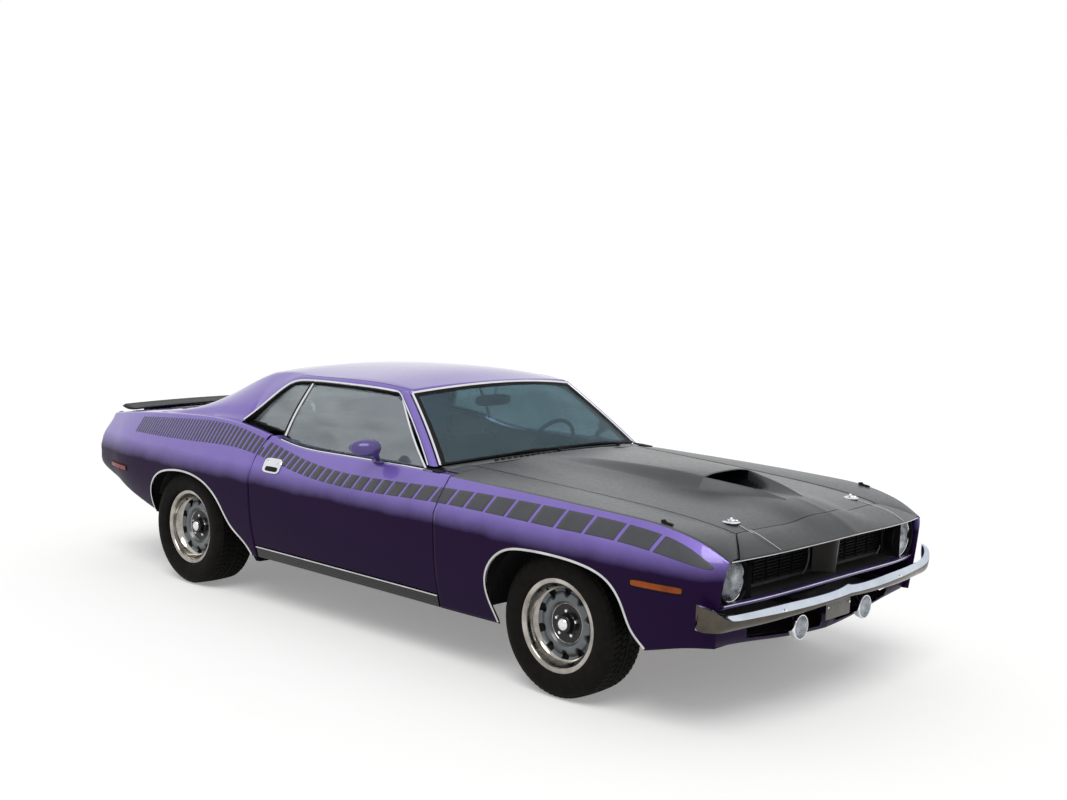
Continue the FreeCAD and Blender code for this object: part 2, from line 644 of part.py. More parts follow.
def hood_rows(x_share):
    """Across the right half of the hood at a share of its length: points from the edge to the centre."""
    row = []
    for v in (1.0, 0.85, 0.7, 0.56, 0.44, 0.32, 0.16, 0.0):
        rear = lerp(HOOD_REAR_CENTRE_X, HOOD_REAR_CORNER_X, v * v)
        front = lerp(HOOD_FRONT_CENTRE_X, HOOD_FRONT_CORNER_X, v)
        x = lerp(rear, front, x_share)
        row.append(Vector(x, -v * hood_half(x), hood_z(x, v)))
    return row


def hood_z(x, v):
    """Hood height at a share v of its half width: a raised centre with soft shoulders."""
    shoulder = lerp(0.56, 0.30, max(0.0, min(1.0, (x - 700.0) / 1100.0)))
    rise = 1.0 / (1.0 + math.exp((v - shoulder) * 14.0))
    base = HOOD_EDGE_Z(x) + (HOOD_CENTRE_Z(x) - HOOD_EDGE_Z(x)) * 0.45 * (1.0 - v * v)
    return base + (HOOD_CENTRE_Z(x) - HOOD_EDGE_Z(x)) * 0.55 * rise


def grid_solid(grid, drop):
    """A solid sheet: strips between the rows of points, the same strips moved by drop, and walls all round."""
    shift = Vector(0, 0, -drop) if isinstance(drop, float) else drop
    moved = [[p + shift for p in row] for row in grid]
    faces = []
    for rows in (grid, moved):
        curves = [edge_through(row) for row in rows]
        faces += [Part.makeRuledSurface(a, b) for a, b in zip(curves, curves[1:])]
    for i in (0, -1):
        faces.append(Part.makeRuledSurface(edge_through(grid[i]), edge_through(moved[i])))
        for a, b, c, d in zip(grid, grid[1:], moved[1:], moved):
            faces.append(Part.Face(Part.makePolygon([a[i], b[i], c[i], d[i], a[i]])))
    shell = Part.makeShell(faces)
    shell.sewShape()
    solid = Part.Solid(shell)
    if solid.Volume < 0:
        solid.reverse()
    return solid


def halves(half):
    """One solid from a right half that ends on the centre plane and its mirror image."""
    return half.fuse(flip_y(half))


def hood():
    return halves(grid_solid([hood_rows(u) for u in steps(0.0, 1.0, 9)], HOOD_THICKNESS))


def hood_under(raise_by):
    """Everything below the hood's outer face, to trim what stands on it."""
    grid = [[p + Vector(0, 0, raise_by) for p in hood_rows(u)] for u in steps(0.0, 1.0, 9)]
    return halves(grid_solid(grid, 250.0))


def hood_scoop():
    """Snorkel scoop: a raised duct with an open mouth, and two cheeks that meet at a point ahead."""
    sections = []
    for x, top, half in ((1130.0, 922.0, 150.0), (1260.0, 938.0, 172.0), (1450.0, 948.0, 180.0),
                         (SCOOP_MOUTH_X, SCOOP_TOP_Z, SCOOP_HALF)):
        foot = half + 46.0
        outline = [(-foot, 860), (-foot, 880), (-half, top - 9), (-half + 40, top), (half - 40, top), (half, top - 9),
                   (foot, 880), (foot, 860)]
        pts = [Vector(x, y, z) for y, z in outline]
        sections.append([[a, b] for a, b in zip(pts, pts[1:] + pts[:1])])
    duct = loft(sections)
    mouth = box(SCOOP_MOUTH_X - 210, SCOOP_MOUTH_X + 10, -SCOOP_HALF + 22, SCOOP_HALF - 22, 860, SCOOP_TOP_Z - 9)
    cheeks = []
    for side in (-1.0, 1.0):
        wire = []
        for x, near, far, top in ((SCOOP_MOUTH_X - 2, SCOOP_HALF + 24, SCOOP_HALF - 20, SCOOP_TOP_Z - 4),
                                  (SCOOP_TIP_X, 14.0, -6.0, 905.0)):
            quad = [Vector(x, side * (near + 12), 850), Vector(x, side * near, top - 8), Vector(x, side * (far + 4), top),
                    Vector(x, side * far, 850)]
            wire.append([[a, b] for a, b in zip(quad, quad[1:] + quad[:1])])
        cheeks.append(loft(wire))
    return duct.cut(mouth).fuse(cheeks).cut(hood_under(0.5))


# Cowl and nose

def cowl():
    """Panel between the hood and the windscreen, with the corners beside the hood."""
    half = 738.0
    sections = []
    for s in (-1.0, -0.66, -0.33, 0.0, 0.33, 0.66, 1.0):
        y = s * half
        share = (y / SCREEN_BASE_CORNER[1]) ** 2
        back = lerp(SCREEN_BASE_CENTRE[0], SCREEN_BASE_CORNER[0], share) + 5.0
        top = lerp(SCREEN_BASE_CENTRE[1], SCREEN_BASE_CORNER[2], share) - 4.0
        front = lerp(HOOD_REAR_CENTRE_X, HOOD_REAR_CORNER_X, (y / HOOD_HALF_REAR) ** 2) - PANEL_GAP
        quad = [Vector(back, y, top), Vector(front, y, top - 8.0), Vector(front, y, top - 50.0),
                Vector(back, y, top - 50.0)]
        sections.append([[a, b] for a, b in zip(quad, quad[1:] + quad[:1])])
    bridge = loft(sections)
    corners = []
    for side in (-1.0, 1.0):
        wires = []
        for x in (590.0, 670.0, DOOR_FRONT_X):
            near, far = hood_half(x) + PANEL_GAP, DOOR_INNER_Y - COWL_DOOR_GAP
            z_near, z_far = HOOD_EDGE_Z(x), PEAK_Z(x) + 4.0
            quad = [Vector(x, side * near, z_near), Vector(x, side * far, z_far), Vector(x, side * far, z_far - 40),
                    Vector(x, side * near, z_near - 40)]
            wires.append([[a, b] for a, b in zip(quad, quad[1:] + quad[:1])])
        corners.append(loft(wires))
    return bridge.fuse(corners)


def nose_panels():
    """Header panel from the hood to the lip over the grille, and the band under the opening."""
    rear, middle, front = [], [], []
    for v in (1.0, 0.75, 0.5, 0.25, 0.0):
        x = lerp(HOOD_FRONT_CENTRE_X, HOOD_FRONT_CORNER_X, v)
        a = Vector(x + PANEL_GAP, -v * HOOD_HALF_FRONT, hood_z(x, v))
        b = Vector(LIP_TOP_X(v * NOSE_HALF), -v * NOSE_HALF, LIP_TOP_Z(v * NOSE_HALF))
        rear.append(a)
        middle.append((a + b) * 0.5 + Vector(2, 0, 7))
        front.append(b)
    header = halves(grid_solid([rear, middle, front], 14.0))
    upper, lower = [], []
    for y in steps(LIP_HALF - 6.0, 0.0, 6):
        upper.append(Vector(LIP_LOW_X(y), -y, LIP_LOW_Z(y)))
        lower.append(Vector(LIP_LOW_X(y) - BAND_RAKE, -y, LIP_LOW_Z(y) - BAND_HEIGHT))
    mid = [(a + b) * 0.5 + Vector(5, 0, 0) for a, b in zip(upper, lower)]
    band = halves(grid_solid([upper, mid, lower], Vector(-10.0, 0, 0)))
    return Part.makeCompound([header, band])


def headlamp_bucket(side):
    tube = cylinder_x(GRILLE_BACK_X, HEADLAMP_FACE_X + 4, side * HEADLAMP_Y, HEADLAMP_Z, HEADLAMP_RADIUS + 9)
    return tube.cut(cylinder_x(GRILLE_BACK_X + 8, HEADLAMP_FACE_X + 5, side * HEADLAMP_Y, HEADLAMP_Z, HEADLAMP_RADIUS + 1))


def grille():
    """Deep recess with two inset bar panels, a centre divider, shelves and headlamp buckets."""
    back = prism_yz([(-796, 660), (-770, 736), (770, 736), (796, 660), (770, 560), (600, 556), (-600, 556), (-770, 560)],
                    GRILLE_BACK_X - 8, GRILLE_BACK_X)
    pieces = []
    for side in (-1.0, 1.0):
        y0, y1 = sorted((side * 70.0, side * (GRILLE_HALF - 20)))
        back = back.cut(box(GRILLE_BACK_X - 20, GRILLE_BACK_X + 20, y0, y1, 590, 724))
        for z in steps(594.0, 716.0, GRILLE_BAR_COUNT):
            pieces.append(box(GRILLE_BACK_X - 8, GRILLE_BACK_X + 4, y0 - 5, y1 + 5, z, z + 5))
        for y in steps(y0, y1, 4)[1:-1]:
            pieces.append(box(GRILLE_BACK_X - 8, GRILLE_BACK_X - 1, y - 4, y + 4, 585, 728))
        pieces.append(headlamp_bucket(side))
    divider = [(GRILLE_BACK_X - 4, 734), (HALF_LENGTH - 76, 734), (HALF_LENGTH - 88, 586), (GRILLE_BACK_X - 4, 566)]
    pieces.append(prism_xz(divider, -12, 12))
    shelf = []
    for share in (0.0, 0.5, 1.0):
        row = []
        for y in steps(GRILLE_HALF + 20.0, 0.0, 5):
            x = lerp(GRILLE_BACK_X - 4, LIP_LOW_X(y) - 30.0, share)
            row.append(Vector(x, -y, lerp(574.0, LIP_LOW_Z(y) - 1.0, share)))
        shelf.append(row)
    pieces.append(halves(grid_solid(shelf, 5.0)))
    return back.fuse(pieces)


def dome_lamp(x, y, z, radius, depth, bulge):
    """Round lamp facing forward: a can with a domed lens."""
    ball = (radius ** 2 + bulge ** 2) / (2.0 * bulge)
    can = cylinder_x(x - depth, x, y, z, radius)
    dome = Part.makeSphere(ball, Vector(x + bulge - ball, y, z)).common(cylinder_x(x - 1, x + bulge + 1, y, z, radius))
    return can.fuse(dome)


def front_lamps():
    """Two headlamps and two round parking lamps on stalks."""
    lamps = []
    for side in (-1.0, 1.0):
        lamps.append(dome_lamp(HEADLAMP_FACE_X - 14, side * HEADLAMP_Y, HEADLAMP_Z, HEADLAMP_RADIUS, 21.0, 18.0))
        lamp = dome_lamp(PARKING_FACE_X, side * PARKING_Y, PARKING_Z, PARKING_RADIUS, 36.0, 10.0)
        stalk = box(PARKING_FACE_X - 34, PARKING_FACE_X - 18, side * PARKING_Y - 12, side * PARKING_Y + 12,
                    PARKING_Z + 30, PARKING_Z + 92)
        lamps.append(lamp.fuse(stalk))
    return Part.makeCompound(lamps)


def front_valance():
    """Lower front panel with two wide openings and a blank plate bracket under the bumper."""
    low, mid, top = [], [], []
    for y in steps(790.0, 0.0, 6):
        z = VALANCE_LOW_Z(y)
        low.append(Vector(VALANCE_X(y) - 14.0, -y, z))
        mid.append(Vector(VALANCE_X(y) + 2.0, -y, lerp(z, VALANCE_TOP_Z, 0.4)))
        top.append(Vector(VALANCE_X(y), -y, VALANCE_TOP_Z))
    panel = halves(grid_solid([low, mid, top], Vector(-10.0, 0, 0)))
    for side in (-1.0, 1.0):
        y0, y1 = sorted((side * 62.0, side * 583.0))
        window = [(y0, 368 if side > 0 else 396), (y1, 396 if side > 0 else 368), (y1, 452), (y0, 452)]
        panel = panel.cut(prism_yz(window, VALANCE_X(600) - 100, HALF_LENGTH))
    plate = box(PLATE_X, PLATE_X + PLATE_THICKNESS, -PLATE_HALF, PLATE_HALF, 393, 466)
    for y in (-PLATE_HOLE_PITCH / 2, PLATE_HOLE_PITCH / 2):
        plate = plate.cut(cylinder_x(PLATE_X - 5, PLATE_X + 15, y, 448, PLATE_HOLE_RADIUS))
    posts = [box(VALANCE_X(0) - 6, PLATE_X + 1, y - 10, y + 10, 402, 420) for y in (-30.0, 30.0)]
    return panel.fuse([plate] + posts)


def bumper(line, ends, z_centre, z_end, sign):
    """A chrome blade swept across the car: a bowed face with a thin wall behind it."""
    h = BUMPER_HEIGHT / 2.0
    sections = []
    for s in (-1.0, -0.96, -0.86, -0.64, -0.32, 0.0, 0.32, 0.64, 0.86, 0.96, 1.0):
        y = s * ends
        x = line(abs(y))
        z = lerp(z_centre, z_end, s * s)
        d = sign * BUMPER_DEPTH
        face = [Vector(x - d, y, z - h), Vector(x - 0.2 * d, y, z - 0.6 * h), Vector(x, y, z + 0.1 * h),
                Vector(x - d, y, z + h)]
        back = [face[-1] - Vector(sign * 4, 0, 5), face[0] - Vector(sign * 4, 0, -5)]
        sections.append([face, [face[-1], back[0]], back])
    return loft(sections)


def front_bumper():
    """Front blade with the two arms that hold it to the radiator support."""
    blade = bumper(FRONT_BUMPER_X, BUMPER_HALF, FRONT_BUMPER_Z, FRONT_BUMPER_Z + BUMPER_TIP_RISE, 1.0)
    root = RADIATOR_X + RADIATOR_DEPTH + SEAT_GAP
    tip = FRONT_BUMPER_X(340.0) - BUMPER_DEPTH + 4.0
    arms = [box(root, tip, y - 18, y + 18, BUMPER_ARM_Z, BUMPER_ARM_Z + BUMPER_ARM_HEIGHT) for y in (-340.0, 340.0)]
    return blade.fuse(arms)


def rear_bumper():
    """Rear blade with two short arms to the tail panel."""
    blade = bumper(REAR_BUMPER_X, REAR_BUMPER_HALF, REAR_BUMPER_Z, REAR_BUMPER_Z, -1.0)
    root = TAIL_X - 22.0 - SEAT_GAP
    tip = REAR_BUMPER_X(420.0) + BUMPER_DEPTH - 4.0
    arms = [box(tip, root, y - 25, y + 25, REAR_ARM_Z, REAR_ARM_Z + BUMPER_ARM_HEIGHT) for y in (-420.0, 420.0)]
    return blade.fuse(arms)


def lamp_boxes():
    """Tail lamp openings as (y0, y1) spans, three a side."""
    spans = []
    for side in (-1.0, 1.0):
        for k in range(3):
            a = 250.0 + k * 152.0
            spans.append(sorted((side * a, side * (a + 140.0))))
    return spans


def tail_panel():
    """Flat tail panel between the quarter panels, with lamp openings and a blank plate recess."""
    outline = [(-730, 846), (-800, 690), (-798, 650), (-770, 618), (-690, 440), (690, 440), (770, 618), (798, 650),
               (800, 690), (730, 846)]
    panel = prism_yz(outline, TAIL_X - 22, TAIL_X - 2)
    for y0, y1 in lamp_boxes():
        panel = panel.cut(box(TAIL_X - 40, TAIL_X, y0, y1, 690, 790))
    for y in (-PLATE_HOLE_PITCH / 2, PLATE_HOLE_PITCH / 2):
        panel = panel.cut(cylinder_x(TAIL_X - 30, TAIL_X, y, 780, PLATE_HOLE_RADIUS))
    return panel


def tail_lamps():
    return Part.makeCompound([box(TAIL_X - 26, TAIL_X - 8, y0 + SEAT_GAP, y1 - SEAT_GAP, 691, 789)
                              for y0, y1 in lamp_boxes()])


def marker(x0, x1, z0, z1):
    """A slim lens that follows the body side."""
    sections = []
    for x in steps(x0, x1, 4):
        quad = [Vector(x, -(surface_y(x, z0) + TRIM_GAP), z0), Vector(x, -(surface_y(x, z0) + LENS_STANDOFF), z0 + 3),
                Vector(x, -(surface_y(x, z1) + LENS_STANDOFF), z1 - 3), Vector(x, -(surface_y(x, z1) + TRIM_GAP), z1)]
        sections.append([[a, b] for a, b in zip(quad, quad[1:] + quad[:1])])
    return loft(sections)


def side_markers():
    rights = [marker(1882, 2116, 594, 619), marker(-2040, -1890, 568, 592)]
    return Part.makeCompound(rights + [flip_y(m) for m in rights])


def door_fittings():
    """Right door handle and bullet-shaped mirror on its foot."""
    x0, x1, z0, z1 = -588.0, -466.0, 747.0, 790.0
    sections = []
    for x in (x0, x1):
        quad = [Vector(x, -(surface_y(x, z0) + TRIM_GAP), z0), Vector(x, -(surface_y(x, z0) + HANDLE_STANDOFF), z0 + 3),
                Vector(x, -(surface_y(x, z1) + HANDLE_STANDOFF), z1 - 3), Vector(x, -(surface_y(x, z1) + TRIM_GAP), z1)]
        sections.append([[a, b] for a, b in zip(quad, quad[1:] + quad[:1])])
    handle = loft(sections)
    root, out = Vector(*MIRROR_ROOT), Vector(*MIRROR_OUT).normalize()
    profile = [root + out * along + Vector(0, 0, radius) for along, radius in MIRROR_PROFILE]
    head = Part.Face(Part.makePolygon(profile + [profile[0]])).revolve(root, out, 360)
    pad_z = PEAK_Z(220) + 1.0
    pad = box(180, 262, -850, -818, pad_z, pad_z + 8)
    foot = rod(Vector(222, -834, pad_z + 4), root + out * MIRROR_FOOT_LEAN, 14.0)
    return Part.makeCompound([handle, head.fuse([foot, pad])])


# Structure

def floor_tub():
    """Cabin floor with its tunnel, firewall, kick-up, trunk floor, wheelhouses and parcel shelf."""
    z = FLOOR_Z
    rear = -930.0
    boot = 440.0
    floor = box(rear, FIREWALL_X, -DOOR_INNER_Y + 18, DOOR_INNER_Y - 18, z, z + SHEET)
    floor = floor.cut(box(rear - 1, FIREWALL_X + 1, -150, 150, z - 1, z + SHEET + 1))
    outer = [(-160, z), (-120, 386), (120, 386), (160, z)]
    inner = [(150, z), (112, 378), (-112, 378), (-150, z)]
    tunnel = prism_yz(outer + inner, rear, FIREWALL_X)
    firewall = box(FIREWALL_X, FIREWALL_X + SHEET, -DOOR_INNER_Y + 30, DOOR_INNER_Y - 30, z, 838)
    firewall = firewall.cut(box(FIREWALL_X - 5, FIREWALL_X + 20, -112, 112, z - 1, 378))
    riser = box(rear - SHEET, rear, -REAR_WALL_Y, REAR_WALL_Y, z, boot + SHEET)
    riser = riser.cut(box(rear - 20, rear + 20, -112, 112, z - 1, 378))
    trunk = box(TAIL_X + 60, rear, -REAR_WALL_Y, REAR_WALL_Y, boot, boot + SHEET)
    parts = [tunnel, firewall, riser, trunk]
    axle_z = TYRE_RADIUS
    for side in (-1.0, 1.0):
        y0, y1 = sorted((side * REAR_WALL_Y, side * 842.0))
        r = REAR_LINER_RADIUS
        ring = cylinder_y(REAR_AXLE_X, y0, y1, axle_z, r + SHEET)
        ring = ring.cut(cylinder_y(REAR_AXLE_X, y0 - 1, y1 + 1, axle_z, r))
        w0, w1 = sorted((side * (REAR_WALL_Y - SHEET), side * REAR_WALL_Y))
        wall = cylinder_y(REAR_AXLE_X, w0, w1, axle_z, r + SHEET)
        keep = box(-2000, 0, -950, 950, 345, 900)
        above = box(-2000, 0, -950, 950, boot, 900)
        parts.append(ring.common(keep))
        parts.append(wall.common(above))
    shelf = box(-1590, -1046, -REAR_WALL_Y, REAR_WALL_Y, 858, 858 + SHEET)
    return Part.makeCompound([floor.fuse(parts), shelf])


def inner_fender():
    """Right front apron: inner wall, arch liner over the wheel and top flange by the hood gutter."""
    x0, x1 = FIREWALL_X + SHEET + SEAT_GAP, 2034.0
    wall = box(x0, x1, -FRONT_WALL_Y, -FRONT_WALL_Y + SHEET, 462, 800)
    r = ARCH_LINER_RADIUS
    y0, y1 = -856.0, -FRONT_WALL_Y
    ring = cylinder_y(FRONT_AXLE_X, y0, y1, TYRE_RADIUS, r + SHEET)
    ring = ring.cut(cylinder_y(FRONT_AXLE_X, y0 - 1, y1 + 1, TYRE_RADIUS, r))
    ring = ring.common(box(900, 2100, -900, 0, 330, 900))
    wall = wall.fuse(cylinder_y(FRONT_AXLE_X, -FRONT_WALL_Y, -FRONT_WALL_Y + SHEET, TYRE_RADIUS, r + SHEET)
                     .common(box(900, 2100, -900, 0, 462, 900)))
    flange = prism_xz([(x0, 800), (x1, 762), (x1, 770), (x0, 808)], -600, -FRONT_WALL_Y + SHEET)
    return wall.fuse([ring, flange])


def radiator_support():
    """Frame behind the grille with the radiator in it."""
    frame = box(RADIATOR_X, RADIATOR_X + RADIATOR_DEPTH, -560, 560, 300, 770)
    frame = frame.cut(box(RADIATOR_X - 4, RADIATOR_X + 26, -400, 400, 350, 730))
    core = box(RADIATOR_X - 14, RADIATOR_X + 12, -400, 400, 350, 730)
    return frame.fuse(core)


def engine_block():
    """Engine as one plain block with its air cleaner and gearbox."""
    block = box(880, 1480, -240, 240, 290, 760)
    cleaner = Part.makeCylinder(180, 66, Vector(1160, 0, 759))
    gearbox = prism_yz([(-96, 200), (-86, 360), (86, 360), (96, 200)], 160, 881)
    return block.fuse([cleaner, gearbox])


def exhaust():
    """Two pipes from the engine to the tail, over the axle, with a muffler in each."""
    pipes = []
    for side in (-1.0, 1.0):
        route = [Vector(1000, side * 275, 350), Vector(820, side * 262, 186), Vector(-960, side * 230, 186),
                 Vector(-1160, side * 330, 397), Vector(-1440, side * 400, 397), Vector(-1640, side * 440, 300),
                 Vector(41 - HALF_LENGTH, side * 470, 292)]
        muffler = cylinder_x(-880, -420, side * 233, 176, 58)
        pipes.append(pipe(route, PIPE_RADIUS, PIPE_BEND).fuse(muffler))
    return Part.makeCompound(pipes)


def fuel_tank():
    return rounded(box(-2080, -1560, -330, 330, 250, 430), 36.0)


def rear_suspension():
    """Live axle with its differential and shaft, on two long leaf springs."""
    z = TYRE_RADIUS
    x = REAR_AXLE_X
    half = REAR_TRACK / 2.0
    tube = cylinder_y(x, -half + 76, half - 76, z, 44)
    stub = cylinder_y(x, -half - SPINDLE_REACH, half + SPINDLE_REACH, z, BORE_RADIUS - BORE_CLEARANCE)
    bowl = Part.makeSphere(104, Vector(x, 0, z))
    shaft = rod(Vector(150, 0, 290), Vector(x + 60, 0, z), 34)
    axle = tube.fuse([stub, bowl, shaft])
    for side in (-1.0, 1.0):
        points = [Vector(-770, side * 540, 206), Vector(-1010, side * 540, 226), Vector(x, side * 540, 256),
                  Vector(-1640, side * 540, 280), Vector(-1960, side * 540, 330)]
        outline = points + [p - Vector(0, 0, 22) for p in reversed(points)]
        spring = Part.Face(Part.makePolygon(outline + [points[0]])).extrude(Vector(0, 64, 0))
        spring.translate(Vector(0, -32, 0))
        pad = box(x - 50, x + 50, side * 540 - 32, side * 540 + 32, 240, 300)
        axle = axle.fuse([spring, pad])
    return axle


def front_suspension():
    """Cross member and the upper and lower arms that carry the knuckles."""
    y_pin = FRONT_TRACK / 2.0 - KINGPIN_INSET
    x = FRONT_AXLE_X
    parts = []
    for side in (-1.0, 1.0):
        for z, root in ((LOWER_ARM_Z, 360.0), (UPPER_ARM_Z, 430.0)):
            tip = side * (y_pin + 16)
            arm = [(x - 92, side * root), (x + 92, side * root), (x + 24, tip), (x - 24, tip)]
            parts.append(prism_xy(arm, z, z + ARM_THICKNESS))
        y0, y1 = sorted((side * 340.0, side * 372.0))
        parts.append(box(x - 100, x + 100, y0, y1, 190, 260))
        inner, near, far = 340.0, 404.0, 432.0
        tower = sorted((side * near, side * far))
        ledge = sorted((side * inner, side * far))
        parts.append(box(x - 70, x + 70, tower[0], tower[1], 252, UPPER_ARM_Z + ARM_THICKNESS))
        parts.append(box(x - 70, x + 70, ledge[0], ledge[1], 240, 256))
    beam = box(x - 60, x + 60, -345, 345, 196, 262)
    return beam.fuse(parts)


def knuckle():
    """Right steering knuckle: upright between the arms and the wheel's spindle."""
    y_pin = -(FRONT_TRACK / 2.0 - KINGPIN_INSET)
    low, high = LOWER_ARM_Z + ARM_THICKNESS + SEAT_GAP, UPPER_ARM_Z - SEAT_GAP
    post = box(FRONT_AXLE_X - 26, FRONT_AXLE_X + 26, y_pin - 16, y_pin + 16, low, high)
    flange = cylinder_y(FRONT_AXLE_X, y_pin - 22, y_pin + 14, TYRE_RADIUS, 58)
    end = -(FRONT_TRACK / 2.0 + SPINDLE_REACH)
    spindle = cylinder_y(FRONT_AXLE_X, end, y_pin, TYRE_RADIUS, BORE_RADIUS - BORE_CLEARANCE)
    return post.fuse([flange, spindle])


# Wheels

def tyre(x, y, width):
    half = width / 2.0
    bead = RIM_WIDTH / 2.0 - RIM_SHEET - SEAT_GAP
    side = [(RIM_SEAT_RADIUS + BORE_CLEARANCE, bead), (RIM_FLANGE_RADIUS + 2, bead), (TYRE_WIDEST_RADIUS, half),
            (TYRE_RADIUS, half - SHOULDER_WIDTH)]
    profile = [(rad, y + off) for rad, off in side] + [(rad, y - off) for rad, off in reversed(side)]
    return revolve_y(profile, x, TYRE_RADIUS)


def hexagon_y(x, y0, y1, z, radius):
    corners = []
    for k in range(6):
        angle = math.radians(60.0 * k)
        corners.append((x + radius * math.cos(angle), z + radius * math.sin(angle)))
    return prism_xz(corners, y0, y1)


def rim(x, y):
    """Right-hand slotted steel wheel with its hub, nuts, cap and brake drum; the face looks to -Y."""
    half = RIM_WIDTH / 2.0
    seat, flange, t = RIM_SEAT_RADIUS, RIM_FLANGE_RADIUS, RIM_SHEET
    barrel = [(flange, -half), (flange, -half + t), (seat, -half + t), (seat, half - t), (flange, half - t),
              (flange, half), (seat - t, half), (seat - t, -half)]
    face = -half + DISC_FACE_INSET
    hub = face + HUB_INSET
    back = hub + DISC_SHEET
    dish = [(BORE_RADIUS, hub), (HUB_RADIUS, hub), (SLOT_RADIUS - 36, face), (SLOT_RADIUS + 18, face),
            (seat - 0.5 * t, hub), (seat - 0.5 * t, back), (SLOT_RADIUS + 16, face + DISC_SHEET),
            (SLOT_RADIUS - 32, face + DISC_SHEET), (HUB_RADIUS + 4, back), (BORE_RADIUS, back)]
    drum = [(BORE_RADIUS, back - 1), (HUB_RADIUS, back - 1), (HUB_RADIUS, back + 44), (BRAKE_RADIUS, back + 44),
            (BRAKE_RADIUS, back + 44 + BRAKE_THICKNESS), (BORE_RADIUS, back + 44 + BRAKE_THICKNESS)]
    cap = [(0, face - 14), (HUB_CAP_RADIUS - 10, face - 12), (HUB_CAP_RADIUS, face), (BORE_RADIUS + 8, hub + 1),
           (BORE_RADIUS, hub + 1), (HUB_CAP_RADIUS - 8, face), (0, face - 6)]
    disc = revolve_y([(r, y + off) for r, off in dish], x, TYRE_RADIUS)
    for k in range(SLOT_COUNT):
        slot = Part.makeBox(SLOT_LENGTH, 120, SLOT_WIDTH,
                            Vector(x + SLOT_RADIUS - 4, y + face - 40, TYRE_RADIUS - 0.5 * SLOT_WIDTH))
        slot.rotate(Vector(x, 0, TYRE_RADIUS), Vector(0, 1, 0), 360.0 * (k + 0.5) / SLOT_COUNT)
        disc = disc.cut(slot)
    pieces = [revolve_y([(r, y + off) for r, off in profile], x, TYRE_RADIUS) for profile in (drum, cap)]
    for k in range(LUG_COUNT):
        angle = math.radians(90.0 + 360.0 * k / LUG_COUNT)
        lx, lz = x + LUG_CIRCLE_RADIUS * math.cos(angle), TYRE_RADIUS + LUG_CIRCLE_RADIUS * math.sin(angle)
        pieces.append(hexagon_y(lx, y + hub - LUG_LENGTH, y + hub + 1, lz, LUG_RADIUS))
    return revolve_y([(r, y + off) for r, off in barrel], x, TYRE_RADIUS).fuse([disc] + pieces)


# Cabin

def rounded(shape, size):
    """The shape with all its edges bevelled."""
    return shape.makeChamfer(size, shape.Edges)


def front_seat(y):
    """Bucket seat with its high back and head rest."""
    cushion = rounded(box(-330, 170, y - 235, y + 235, 300, 452), 30.0)
    back = prism_xz([(-346, 380), (-218, 380), (-356, 860), (-440, 860)], y - 232, y + 232)
    back = rounded(back, 24.0)
    rest = rounded(prism_xz([(-446, 850), (-372, 850), (-400, 985), (-462, 985)], y - 130, y + 130), 18.0)
    base = box(-280, 120, y - 190, y + 190, FLOOR_Z + SHEET + 0.5, 320)
    return base.fuse([cushion, back, rest])


def rear_seat():
    cushion = rounded(box(-900, -590, -REAR_WALL_Y + 20, REAR_WALL_Y - 20, 390, 460), 28.0)
    base = prism_xz([(-890, 400), (-890, 300), (-640, 300), (-610, 400)], -540, 540)
    back = prism_xz([(-905, 452), (-800, 452), (-935, 845), (-1035, 845)], -REAR_WALL_Y + 20, REAR_WALL_Y - 20)
    return cushion.fuse([base.cut(box(-1000, -500, -170, 170, 200, 388)), rounded(back, 28.0)])


def dashboard():
    """Padded dash with an instrument hood, and the console over the tunnel."""
    outline = [(556, 690), (552, 840), (500, 868), (440, 858), (424, 800), (466, 690), (490, 664)]
    dash = prism_xz(outline, -706, 706)
    console = box(-160, 480, -86, 86, 388, 500)
    riser = prism_xz([(380, 499), (480, 499), (540, 690), (470, 700)], -86, 86)
    return dash.fuse([console, riser])


def steering_wheel():
    """Three-spoke wheel on its column."""
    centre = Vector(*WHEEL_CENTRE)
    axis = Vector(-0.93, 0, 0.37).normalize()
    up = Vector(0.37, 0, 0.93).normalize()
    corners = []
    for k in range(6):
        angle = math.radians(60.0 * k + 30.0)
        out = up * (STEERING_WHEEL_RADIUS + RIM_GRIP * math.cos(angle))
        corners.append(centre + out + axis * (RIM_GRIP * math.sin(angle)))
    ring = Part.Face(Part.makePolygon(corners + [corners[0]])).revolve(centre, axis, 360)
    hub = rod(centre + axis * 6, centre - axis * 40, 36)
    across = Vector(0, 1, 0)
    spokes = []
    for a in (0.0, 180.0, 270.0):
        tip = centre + across * (STEERING_WHEEL_RADIUS * math.cos(math.radians(a))) + up * (
            STEERING_WHEEL_RADIUS * math.sin(math.radians(a)))
        spokes.append(rod(centre - axis * 12, tip, 9))
    column = rod(centre - axis * 20, centre - axis * 156, 28)
    return ring.fuse([hub, column] + spokes)


def interior_mirror():
    glass = rounded(box(178, 208, -125, 125, 1106, 1166), 8.0)
    return glass.fuse(rod(Vector(198, 0, 1150), Vector(196, 0, 1222), 7))


def save(name, shape):
    shape.exportStep(f"parts/{name}.step")
    print(name, round(shape.Volume / 1e6, 2), "litres", "valid" if shape.isValid() else "NOT VALID", len(shape.Solids))


